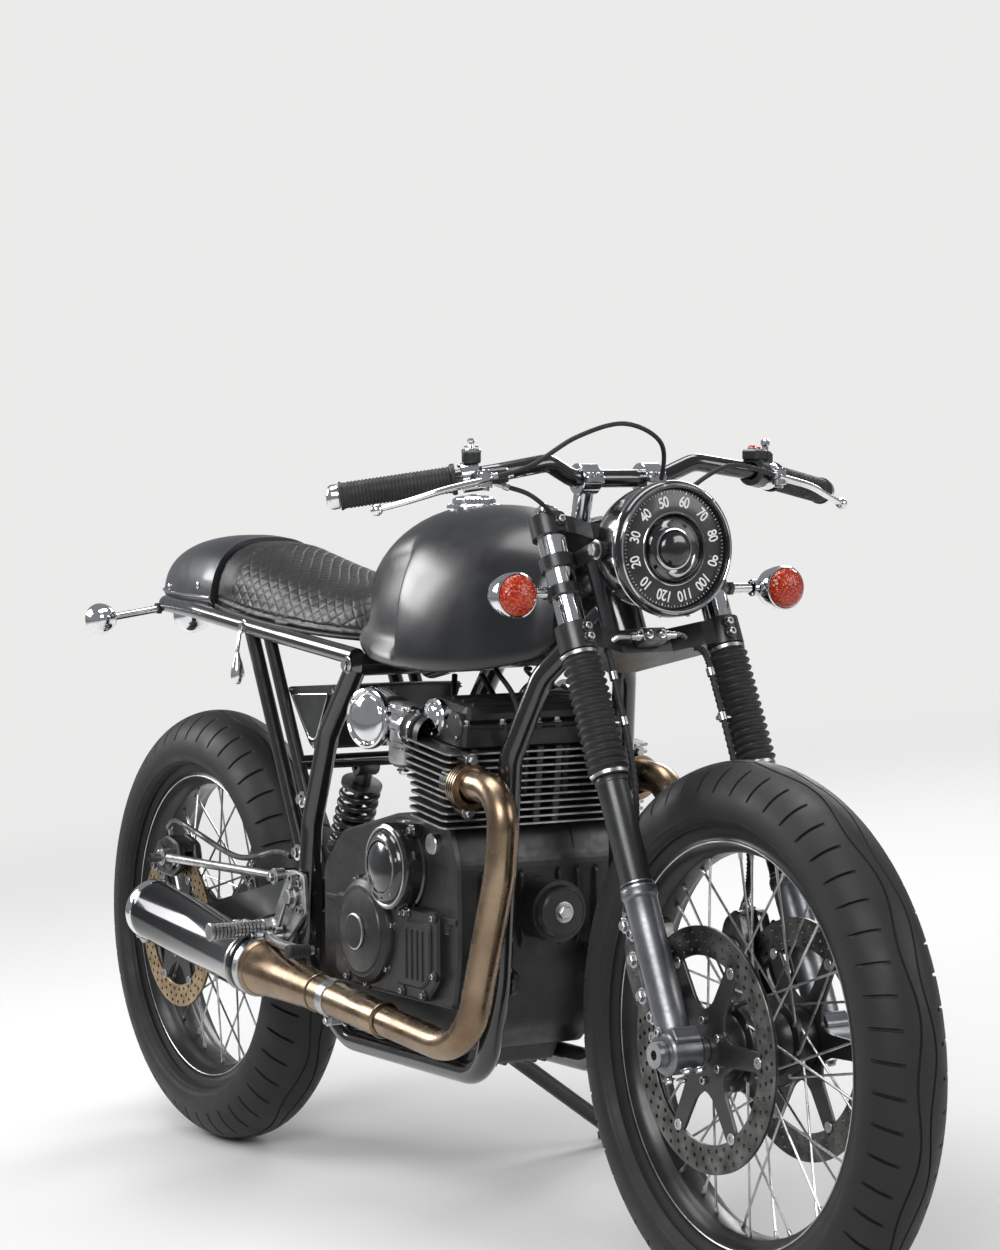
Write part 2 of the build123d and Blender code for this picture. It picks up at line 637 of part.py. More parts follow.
def build_front_indicators():
    lamps = []
    low = LOWER_CLAMP_HEIGHT + LOWER_CLAMP_WALL
    level = low + INDICATOR_SHARE * (TOP_CLAMP_HEIGHT - low)
    ring_at = fork_point(FORK_OFFSET, 0, level)
    x = ring_at.X - 11.5
    z = ring_at.Z
    for side in (1, -1):
        ring = fork_rod(side * LEG_Y, level - 7, level + 7, STANCHION_RADIUS + COLLAR_WALL)
        bore = fork_rod(side * LEG_Y, level - 20, level + 20, STANCHION_RADIUS + FIT)
        stalk = rod((ring_at.X, side * LEG_Y, z), (x + 22, side * 180, z), 6)
        shell = lathe(
            [(0, 0), (16, 4), (24, 20), (27, 44), (27, 52), (20, 58), (0, 61)],
            (x, side * 192, z), (1, 0, 0),
        )
        lamps.append(cut(fuse(shell, stalk, ring), bore))
    node("front_indicators", *lamps)


# Chassis
def down_path(start, side):
    """The front down tube, from the head tube to the cradle."""
    return [
        start, left(1030, 60, 742, side), left(988, CRADLE_Y - 6, 640, side),
        left(966, CRADLE_Y, CRADLE_Z + 120, side), left(926, CRADLE_Y, CRADLE_Z, side),
        left(800, CRADLE_Y, CRADLE_Z, side),
    ]


def backbone_path():
    return [fork_point(0, 0, BACKBONE_HEIGHT), (900, 0, 790), (640, 0, 742)]


def build_frame():
    stem_hole = fork_rod(0, LOWER_CLAMP_HEIGHT, TOP_CLAMP_HEIGHT + 30, HEAD_TUBE_RADIUS - HEAD_TUBE_WALL, 0)
    head = cut(fork_rod(0, HEAD_LOW, HEAD_HIGH, HEAD_TUBE_RADIUS, 0), stem_hole)
    low = fork_point(0, 0, DOWN_TUBE_HEIGHT)
    backbone = bent_tube(backbone_path(), BACKBONE_RADIUS, 200)
    cross = rod((632, -FRAME_Y, 742), (632, FRAME_Y, 742), TUBE_RADIUS)
    tubes = [backbone, cross]
    for side in (1, -1):
        down = bent_tube(
            down_path(low, side), TUBE_RADIUS, [60, 60, 120, 60],
        )
        tubes.append(down)
    front = cut(fuse(*tubes), stem_hole)
    node("frame_main", fuse(head, front))
    rears = []
    for side in (1, -1):
        y = FRAME_Y
        back = bent_tube(
            [left(800, CRADLE_Y, CRADLE_Z, side), left(560, CRADLE_Y, CRADLE_Z, side),
             left(478, y, 320, side), left(PIVOT_X, y, PIVOT_Z, side), left(497, y, 520, side),
             left(548, y, 645, side), left(632, y, 742, side)],
            TUBE_RADIUS, [60, 60, 50, 60, 60],
        )
        plate = side_plate(
            [(462, 350), (512, 350), (518, 440), (506, 500), (478, 500), (460, 440)],
            y - PLATE_WALL / 2, y + PLATE_WALL / 2,
        )
        if side < 0:
            plate = mirror(plate, Plane.XZ)
        half = fuse(back, plate)
        half = cut(half, *nodes["frame_main"])
        rears.append(half)
    node("frame_cradle", *rears)


def build_subframe():
    tubes = []
    for side in (1, -1):
        rail = bent_tube(
            [left(632, FRAME_Y, 752, side), left(420, FRAME_Y, 772, side), left(120, 100, 800, side),
             left(-40, 78, 806, side), left(-70, 0, 806, side)],
            RAIL_RADIUS, [200, 200, 40],
        )
        strut = rod(left(306, 104, 783, side), left(474, FRAME_Y, 470, side), STRUT_RADIUS)
        second = rod(left(366, 106, 778, side), left(488, FRAME_Y, 545, side), STRUT_RADIUS - 1)
        tubes += [rail, strut, second]
    tubes.append(rod((459, -FRAME_Y, 600), (459, FRAME_Y, 600), STRUT_RADIUS))
    whole = fuse(*tubes)
    whole = cut(whole, *nodes["frame_main"], *nodes["frame_cradle"])
    node("subframe", whole)


def build_swingarm():
    axle_z = REAR_AXLE[2]
    plate_y = FRAME_Y - TUBE_RADIUS - 1
    outline = [
        (-34, axle_z - 20), (-34, axle_z + 20), (40, axle_z + 24), (PIVOT_X - 40, PIVOT_Z + 20),
        (PIVOT_X - 40, PIVOT_Z - 22), (40, axle_z - 24),
    ]
    arms = pair(side_plate(outline, ARM_INNER_Y, ARM_INNER_Y + ARM_WIDTH))
    links = []
    for side in (1, -1):
        arm_end = (PIVOT_X - 62, side * (ARM_INNER_Y + 8), PIVOT_Z - 3)
        links.append(rod(arm_end, (PIVOT_X, side * (plate_y - 16), PIVOT_Z), 15))
    tube = barrel((PIVOT_X, 0, PIVOT_Z), (0, 1, 0), PIVOT_TUBE_RADIUS, 2 * plate_y)
    brace = rod((385, -ARM_INNER_Y, 402), (385, ARM_INNER_Y, 402), 15)
    bridge = side_plate([(350, 380), (350, 425), (400, 432), (400, 385)], -22, 22)
    swing = fuse(arms[0], arms[1], *links, tube, brace, bridge)
    outer = [Pos(PIVOT_X + 12, side * (plate_y + 60), PIVOT_Z) * Box(100, 120, 160) for side in (1, -1)]
    swing = cut(
        swing,
        *outer,
        barrel((PIVOT_X, 0, PIVOT_Z), (0, 1, 0), AXLE_RADIUS + FIT, 400),
        barrel(REAR_AXLE, (0, 1, 0), AXLE_RADIUS + FIT, 400),
    )
    node("swingarm", swing)
    bolt_end = FRAME_Y + TUBE_RADIUS + 12
    bolt = rod((PIVOT_X, -bolt_end, PIVOT_Z), (PIVOT_X, bolt_end, PIVOT_Z), AXLE_RADIUS)
    heads = [
        rod((PIVOT_X, side * (FRAME_Y + TUBE_RADIUS + SEAT_GAP), PIVOT_Z),
            (PIVOT_X, side * bolt_end, PIVOT_Z), 15)
        for side in (1, -1)
    ]
    pin = fuse(bolt, *heads)
    hole = rod((PIVOT_X, -bolt_end - 5, PIVOT_Z), (PIVOT_X, bolt_end + 5, PIVOT_Z), AXLE_RADIUS + FIT)
    nodes["frame_cradle"] = [cut(half, hole).solids()[0] for half in nodes["frame_cradle"]]
    return pin


def build_rear_axle(pivot_bolt):
    x, _, z = REAR_AXLE
    face = ARM_INNER_Y - SEAT_GAP
    out = ARM_INNER_Y + ARM_WIDTH
    hub_face = REAR_DISC_Y - DISC_WALL / 2 + DISC_WALL + SIDE_PLAY
    end = out + 16
    shaft = rod((x, -end, z), (x, end, z), AXLE_RADIUS)
    collars = [rod((x, side * hub_face, z), (x, side * face, z), AXLE_RADIUS + 5) for side in (1, -1)]
    heads = [rod((x, side * (out + SEAT_GAP), z), (x, side * end, z), AXLE_RADIUS + 6) for side in (1, -1)]
    axle = cut(fuse(shaft, *collars, *heads), rod((x, -end - 5, z), (x, end + 5, z), AXLE_BORE))
    node("rear_axle_and_pivot", axle, pivot_bolt)


def build_rear_caliper():
    y = -REAR_DISC_Y
    spine = [(-38, 405), (-30, 448), (6, 462), (44, 452), (52, 418), (20, 400)]
    body = Pos(0, y, 0) * side_plate(spine, -20, 20)
    slot = barrel((0, y, REAR_AXLE[2]), (0, 1, 0), REAR_DISC_RADIUS + 6, DISC_WALL + 6)
    body = cut(body, slot)
    arm = rod((30, -112, 432), (400, -112, 438), 7)
    lug = rod((30, -90, 432), (30, -122, 432), 11)
    tail = rod((400, -126, 436), (400, -100, 436), 11)
    whole = fuse(body, lug, arm, tail)
    node("rear_caliper", cut(whole, *nodes["swingarm"]))


def build_chain():
    low = CHAIN_Y - CHAIN_WIDTH / 2
    rear_inner = REAR_SPROCKET_RADIUS + CHAIN_CLEARANCE
    front_inner = FRONT_SPROCKET_RADIUS + SEAT_GAP
    loops = []
    for extra in (CHAIN_DEPTH, 0):
        big = (REAR_AXLE[0], REAR_AXLE[2], rear_inner + extra)
        small = (FRONT_SPROCKET_X, FRONT_SPROCKET_Z, front_inner + extra)
        loops.append(belt(big, small, low, CHAIN_WIDTH))
    wheel = barrel(
        (FRONT_SPROCKET_X, CHAIN_Y, FRONT_SPROCKET_Z), (0, 1, 0), FRONT_SPROCKET_RADIUS, SPROCKET_WALL
    )
    shaft_low = (FRONT_SPROCKET_X, CASE_POCKET_Y + SEAT_GAP, FRONT_SPROCKET_Z)
    shaft_high = (FRONT_SPROCKET_X, CHAIN_Y + 10, FRONT_SPROCKET_Z)
    node("drive_chain", cut(*loops), fuse(wheel, rod(shaft_low, shaft_high, 13)))


def belt(big, small, low, width):
    """The area inside a belt round two wheels, as a plate."""
    bx, bz, br = big
    sx, sz, sr = small
    span = hypot(sx - bx, sz - bz)
    along = ((sx - bx) / span, (sz - bz) / span)
    lean = (br - sr) / span
    rise = (1 - lean * lean) ** 0.5
    corners = []
    for sign in (1, -1):
        nx = along[0] * lean - sign * along[1] * rise
        nz = along[1] * lean + sign * along[0] * rise
        corners.append(((bx + br * nx, bz + br * nz), (sx + sr * nx, sz + sr * nz)))
    (b_top, s_top), (b_low, s_low) = corners
    hull = side_plate([b_top, s_top, s_low, b_low], low, low + width)
    centre = low + width / 2
    big_wheel = barrel((bx, centre, bz), (0, 1, 0), br, width)
    small_wheel = barrel((sx, centre, sz), (0, 1, 0), sr, width)
    return fuse(hull, big_wheel, small_wheel)


# Engine
def engine_slab(x_low, x_high, half, z_low, z_high, corner=0.0):
    """A box in the canted engine frame, with rounded upright corners."""
    deep = x_high - x_low
    section = RectangleRounded(deep, 2 * half, corner) if corner else Rectangle(deep, 2 * half)
    slab = extrude(section, amount=z_high - z_low, dir=(0, 0, 1))
    return ENGINE * Pos((x_low + x_high) / 2, 0, z_low) * slab


def fin_stack(first, last, core_low, core_high):
    core = engine_slab(-38, 36, BARREL_HALF, core_low, core_high, 20)
    fins = []
    for k in range(first, last):
        height = k * FIN_PITCH + 3
        share = k / (FIN_COUNT - 1)
        back = -40 - 32 * share
        fins.append(engine_slab(back, 52, FIN_HALF, height, height + FIN_WALL, FIN_CORNER))
    return fuse(core, *fins)


def build_engine():
    side = [
        (548, 330), (575, 272), (620, 252), (860, 252), (898, 290), (918, 380), (918, 500), (900, 548),
    ]
    top = [(820, 562), (760, 556), (690, 540), (600, 520), (548, 470)]
    case = side_plate(side + top, -CASE_HALF, CASE_HALF)
    deck = engine_slab(-200, 200, 200, 0, 200)
    pocket = Pos(560, CASE_POCKET_Y + 100, 425) * Box(120, 200, 300)
    sump = side_plate([(664, 228), (650, 256), (850, 256), (836, 228)], -70, 70)
    shoulders = pair(Pos(730, 98 + 60, 282) * Box(500, 120, 64))
    case = cut(fuse(case, sump), deck, pocket, *shoulders)
    frame = nodes["frame_cradle"] + nodes["frame_main"]
    block = fin_stack(0, BLOCK_FINS, 0, BLOCK_FINS * FIN_PITCH)
    head_low = BLOCK_FINS * FIN_PITCH
    head_high = FIN_COUNT * FIN_PITCH
    head = fin_stack(BLOCK_FINS, FIN_COUNT, head_low, head_high)
    ports = []
    on_base = (Align.CENTER, Align.CENTER, Align.MIN)
    for y in (-PORT_Y, PORT_Y):
        ports.append(ENGINE * Pos(30, y, PORT_HEIGHT) * Rot(Y=90) * Cylinder(22, 30, align=on_base))
        ports.append(ENGINE * Pos(-34, y, INTAKE_HEIGHT) * Rot(Y=-90) * Cylinder(21, 40, align=on_base))
    upper = engine_slab(-56, 46, 128, head_high, head_high + 28, 12)
    head = fuse(head, upper, *ports)
    cover = engine_slab(-50, 40, 122, head_high + 28, head_high + 54, 16)
    node("crankcase", case)
    node("cylinder_block", block)
    node("cylinder_head", fuse(head, cover))
    crank = lathe(
        [(0, 0), (56, 0), (56, 30), (48, 36), (40, 36), (34, 42), (0, 46)], (779, -CASE_HALF, 489), (0, -1, 0)
    )
    clutch = lathe([(0, 0), (70, 0), (70, 14), (60, 26), (0, 30)], (694, -CASE_HALF, 396), (0, -1, 0))
    low_cover = side_plate(
        [(600, 330), (640, 318), (850, 318), (884, 350), (884, 440), (600, 440)], -CASE_HALF - 12, -CASE_HALF
    )
    low_cover = cut(low_cover, crank)
    generator = lathe(
        [(0, 0), (70, 0), (70, 24), (60, 34), (0, 40)], (790, CASE_HALF, 440), (0, 1, 0)
    )
    sprocket_cover = side_plate(
        [(520, 370), (640, 352), (672, 400), (660, 486), (600, 494), (524, 476)], 96, 96 + 16
    )
    node("crank_cover", crank)
    chain_guard = cut(sprocket_cover, *nodes["crankcase"], *frame)
    node("engine_covers", fuse(clutch, low_cover), generator, chain_guard)
    filter_fins = [(0, 0), (34, 0)]
    for k in range(5):
        filter_fins += [(34, 8 + 10 * k), (40, 8 + 10 * k), (40, 12 + 10 * k), (34, 12 + 10 * k)]
    filter_fins += [(30, 58), (0, 60)]
    node("oil_filter", cut(lathe(filter_fins, (918 + SEAT_GAP, 0, 440), (1, 0, 0)), *nodes["crankcase"]))


def build_intake():
    bodies = []
    on_base = (Align.CENTER, Align.CENTER, Align.MIN)
    for y in (-PORT_Y, PORT_Y):
        start = ENGINE * Pos(-34, y, INTAKE_HEIGHT) * Rot(Y=-90) * Pos(0, 0, 40 + SEAT_GAP)
        body = start * Cylinder(20, 62, align=on_base)
        bowl = start * Pos(0, 0, 30) * Rot(Y=90) * Pos(0, 0, -20) * Cylinder(21, 88)
        pod = start * Pos(0, 0, 62) * Cone(28, 37, 52, align=on_base)
        bodies.append(fuse(body, bowl, pod))
    node("carburettors", *bodies)


# Exhaust
def build_exhaust():
    headers, mufflers = [], []
    for side in (-1, 1):
        course = [
            left(946, PORT_Y, 608, side), left(1048, PORT_Y + 2, 604, side),
            left(1036, PORT_Y + 4, 500, side), left(*PIPE_LOW, side), left(*PIPE_MID, side),
        ]
        pipe = bent_tube(course, HEADER_RADIUS, [52, 120, 90])
        start = Vector(*left(*MUFFLER_FRONT, side))
        away = Vector(*left(*PIPE_LOW, side)) - start
        cone_rows = [(0, 0), (MUFFLER_RADIUS - 3, 0), (MUFFLER_RADIUS - 7, 20), (25, 170), (23, 340), (0, 340)]
        taper = lathe(cone_rows, start, away)
        whole = fuse(pipe, taper)
        whole = cut(whole, *nodes["cylinder_head"])
        headers.append(whole)
        end = Vector(*left(106, MUFFLER_Y, 368, side))
        can = rod(start, end, MUFFLER_RADIUS)
        along = (end - start).normalized()
        outlet = rod(end, end - along * 60, OUTLET_RADIUS)
        band = rod(end - along * 14, end, MUFFLER_RADIUS + 2)
        mufflers.append(cut(fuse(can, band), outlet, whole))
    node("headers", *headers)
    node("mufflers", *mufflers)


# Bodywork
def loft_sections(rows, arch):
    """A body lofted along X; rows are X, half width, low Z, high Z."""
    sections = []
    edge = ((0.86, 0), (0.96, 0.04), (1, 0.12), (0.98, arch))
    for x, half, low, high in rows:
        foot, heel, belly, top = [(x, half * share, low + (high - low) * rise) for share, rise in edge]
        foot_r, heel_r, belly_r, top_r = [(x, -half * share, low + (high - low) * rise) for share, rise in edge]
        outline = [
            Line(foot, foot_r), ThreePointArc(foot_r, heel_r, belly_r), Line(belly_r, top_r),
            ThreePointArc(top_r, (x, 0, high), top), Line(top, belly), ThreePointArc(belly, heel, foot),
        ]
        sections.append(make_face(outline))
    return loft(sections)


def build_bodywork():
    tank = loft_sections(TANK_ROWS, TANK_ARCH)
    tunnel = bent_tube(backbone_path(), BACKBONE_RADIUS + TUNNEL_GAP, 200)
    slot = Pos(700, 0, 735) * Box(400, 2 * (BACKBONE_RADIUS + TUNNEL_GAP), 90)
    low = fork_point(0, 0, DOWN_TUBE_HEIGHT)
    downs = [bent_tube(down_path(low, side), TUBE_RADIUS + TUNNEL_GAP, [60, 60, 120, 60]) for side in (1, -1)]
    knees = pair(side_plate(KNEE_OUTLINE, KNEE_Y, KNEE_Y + 60))
    tank = cut(tank, tunnel, slot, *downs, *knees)
    tank = max(tank.solids(), key=lambda piece: piece.volume)
    node("fuel_tank", tank)
    cap = lathe([(0, -20), (26, -20), (30, 6), (24, 12), (0, 14)], (CAP_X, 0, CAP_Z), (0, 0, 1))
    node("filler_cap", cut(cap, tank))
    seat = loft_sections(SEAT_ROWS, SEAT_ARCH)
    cowl = loft_sections(COWL_ROWS, COWL_ARCH)
    rails = nodes["subframe"]
    node("seat_pad", cut(seat, *rails, *nodes["fuel_tank"]))
    node("tail_cowl", cut(cowl, *rails))
    box = side_plate([(404, 702), (556, 710), (500, 620), (474, 620)], -99, 99)
    node("battery_box", cut(box, *nodes["subframe"], *nodes["frame_cradle"]))
    shock = fuse(
        rod((378, 0, 436), (452, 0, 590), 12), rod((392, 0, 466), (440, 0, 566), 30),
    )
    node("rear_shock", cut(shock, *nodes["swingarm"], *nodes["subframe"], *nodes["battery_box"]))


def build_tail():
    lamp = lathe([(0, 0), (26, 0), (30, 8), (26, 22), (0, 26)], (-92, 0, 786), (-1, 0, 0))
    stem = rod((-80, 0, 786), (-80, 0, 812), 6)
    lamp = fuse(lamp, stem, rod((-98, 0, 786), (-74, 0, 786), 10))
    lamps = [cut(lamp, *nodes["tail_cowl"], *nodes["subframe"])]
    bell = [(0, 0), (14, 4), (20, 18), (22, 38), (16, 44), (0, 46)]
    for side in (1, -1):
        stalk = rod((-34, side * 70, 800), (-34, side * 172, 786), 6)
        shell = lathe(bell, (-12, side * 180, 785), (-1, 0, 0))
        lamps.append(cut(fuse(stalk, shell), *nodes["subframe"], *nodes["tail_cowl"]))
    node("rear_lamps", *lamps)


# Foot controls and stand
def build_rearsets():
    sets = []
    outline = [(408, 350), (450, 342), (520, 402), (514, 452), (470, 456), (430, 400)]
    for side in (-1, 1):
        low = FRAME_Y + TUBE_RADIUS + SEAT_GAP
        plate = side_plate(outline, low, low + 8)
        hole = barrel((PIVOT_X, low, PIVOT_Z), (0, 1, 0), 15 + SEAT_GAP, 60)
        plate = cut(plate, hole)
        if side < 0:
            plate = mirror(plate, Plane.XZ)
        peg = rod(left(428, low, 372, side), left(428, 232, 372, side), 11)
        pedal = rod(left(446, low + 4, 360, side), left(446, low + 30, 360, side), 9)
        lever = rod(left(446, low + 24, 360, side), left(628, 186, 366, side), 6)
        toe = rod(left(628, 176, 366, side), left(628, 214, 366, side), 9)
        whole = fuse(plate, peg, pedal, lever, toe)
        sets.append(cut(whole, *nodes["mufflers"], *nodes["headers"], *nodes["frame_cradle"]))
    node("rearsets", *sets)


def build_stand():
    axis = stand_axis()
    foot = Vector(STAND_FOOT[0], STAND_FOOT[1], stand_foot_z())
    pivot = Vector(*STAND_PIVOT)
    along = (foot - pivot).normalized()
    leg = rod(pivot + along * 30, foot, STAND_RADIUS)
    floor = Plane(
        origin=foot, x_dir=(1, 0, 0), z_dir=(0, -sin(radians(LEAN)), cos(radians(LEAN)))
    )
    pad = floor * Box(74, 44, 10, align=(Align.CENTER, Align.CENTER, Align.MIN))
    under = floor * Box(400, 400, 100, align=(Align.CENTER, Align.CENTER, Align.MAX))
    hinge = Plane(origin=pivot, x_dir=(1, 0, 0), z_dir=axis)
    eye = fuse(hinge * Cylinder(18, 12), hinge * Pos(0, 18, 0) * Box(26, 36, 12))
    stand = cut(fuse(leg, pad, eye), under, barrel(pivot, axis, 8 + RUNNING, 60))
    node("side_stand", stand)
    cheek_at = 6 + SIDE_PLAY + 4
    cheeks = [hinge * Pos(0, 0, s * cheek_at) * Cylinder(20, 8) for s in (1, -1)]
    web = hinge * Pos(0, -31, 0) * Box(40, 30, 2 * (cheek_at + 4))
    pin = hinge * Cylinder(8, 2 * (cheek_at + 8))
    keep_clear = hinge * Cylinder(22, 12 + 2 * SIDE_PLAY)
    bracket = fuse(cut(fuse(*cheeks, web), keep_clear), pin)
    halves = sorted(nodes["frame_cradle"], key=lambda half: half.center().Y)
    bracket = cut(bracket, *nodes["crankcase"])
    node("frame_cradle", halves[0], fuse(halves[1], bracket))


def stand_axis():
    """The pivot axis, square to the leg, so that the leg folds straight back."""
    pivot = Vector(*STAND_PIVOT)
    foot = Vector(STAND_FOOT[0], STAND_FOOT[1], stand_foot_z())
    return (foot - pivot).cross(Vector(-1, 0, 0)).normalized()


def stand_foot_z():
    """The floor's height under the foot, in the upright frame."""
    return (STAND_FOOT[1] * sin(radians(LEAN)) - RISE) / cos(radians(LEAN))


build_rear_wheel()
build_front_wheel()
build_fork()
build_calipers()
build_headlamp()
build_handlebar()
build_front_indicators()
build_frame()
build_subframe()
build_rear_axle(build_swingarm())
build_rear_caliper()
build_chain()
build_engine()
build_intake()
build_exhaust()
build_bodywork()
build_tail()
build_rearsets()
build_stand()

for name, solids in nodes.items():
    placed = [REST * solid for solid in solids]
    export_step(Compound(placed), f"parts/{name}.step")
    print(name, len(placed))
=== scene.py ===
import json
from math import atan2, ceil, cos, hypot, pi, radians, sin, sqrt, tan

import bmesh
import bpy
from mathutils import Matrix, Vector


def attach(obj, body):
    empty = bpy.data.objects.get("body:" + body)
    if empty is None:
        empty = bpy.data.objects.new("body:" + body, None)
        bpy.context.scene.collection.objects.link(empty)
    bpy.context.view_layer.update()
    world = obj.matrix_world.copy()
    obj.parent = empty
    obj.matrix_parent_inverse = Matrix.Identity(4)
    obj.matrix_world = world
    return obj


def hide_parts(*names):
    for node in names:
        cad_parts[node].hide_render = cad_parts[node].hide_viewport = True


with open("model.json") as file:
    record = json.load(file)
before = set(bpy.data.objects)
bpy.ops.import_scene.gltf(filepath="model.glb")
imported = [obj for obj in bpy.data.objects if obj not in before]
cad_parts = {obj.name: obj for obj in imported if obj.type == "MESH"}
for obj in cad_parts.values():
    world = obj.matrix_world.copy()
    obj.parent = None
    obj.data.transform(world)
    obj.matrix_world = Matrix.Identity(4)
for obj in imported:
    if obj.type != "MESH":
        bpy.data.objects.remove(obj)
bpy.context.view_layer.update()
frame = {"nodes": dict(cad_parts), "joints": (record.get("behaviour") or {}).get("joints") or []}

# The motorcycle is drawn upright and in millimetres, as in the CAD source: X forward from the
# rear axle, Y to the rider's left, Z up from the floor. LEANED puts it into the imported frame.
JOINTS = {joint["name"]: joint for joint in frame["joints"]}
REAR_SPIN = JOINTS["rear_wheel_spin"]
REAR_RADIUS = 322.0
LEAN = atan2(-REAR_SPIN["axis"][2], REAR_SPIN["axis"][1])
LEANED = (
    Matrix.Translation(Vector(REAR_SPIN["pos_m"]))
    @ Matrix.Rotation(-LEAN, 4, "X")
    @ Matrix.Translation((0, 0, -REAR_RADIUS / 1000))
    @ Matrix.Scale(0.001, 4)
)
UPRIGHT = LEANED.inverted()


def upright(point):
    """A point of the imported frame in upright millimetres."""
    return UPRIGHT @ Vector(point)


# Driving dimensions, from the CAD source
FRONT_AXLE = upright(JOINTS["front_wheel_spin"]["pos_m"])
REAR_AXLE = Vector((0, 0, REAR_RADIUS))
FRONT_RADIUS = 330.0
RAKE = radians(25)
FORK_OFFSET = 50.0
STEER_UP = Vector((-sin(RAKE), 0, cos(RAKE)))
STEER_FORWARD = Vector((cos(RAKE), 0, sin(RAKE)))
STEER_FOOT = FRONT_AXLE - STEER_FORWARD * FORK_OFFSET
SIDE = Vector((0, 1, 0))
FORWARD = Vector((1, 0, 0))
UP = Vector((0, 0, 1))
LEG_Y = 105.0
ENGINE_CANT = radians(8)
DECK = Vector((884, 0, 553))
ENGINE_UP = Vector((sin(ENGINE_CANT), 0, cos(ENGINE_CANT)))
ENGINE_FORWARD = Vector((cos(ENGINE_CANT), 0, -sin(ENGINE_CANT)))


def fork_at(forward, y, height):
    """A point measured from the steering axis, up from the front axle."""
    return STEER_FOOT + STEER_FORWARD * forward + STEER_UP * height + SIDE * y


def engine_at(x, y, height):
    """A point measured from the top of the crankcase, in the canted engine."""
    return DECK + ENGINE_FORWARD * x + ENGINE_UP * height + SIDE * y


# Mesh helpers
def frame_of(axis, across=None):
    """Two directions square to an axis."""
    axis = Vector(axis).normalized()
    if across is None:
        across = FORWARD if abs(axis.x) < 0.8 else SIDE
    u = (Vector(across) - axis * axis.dot(Vector(across))).normalized()
    return u, axis.cross(u), axis


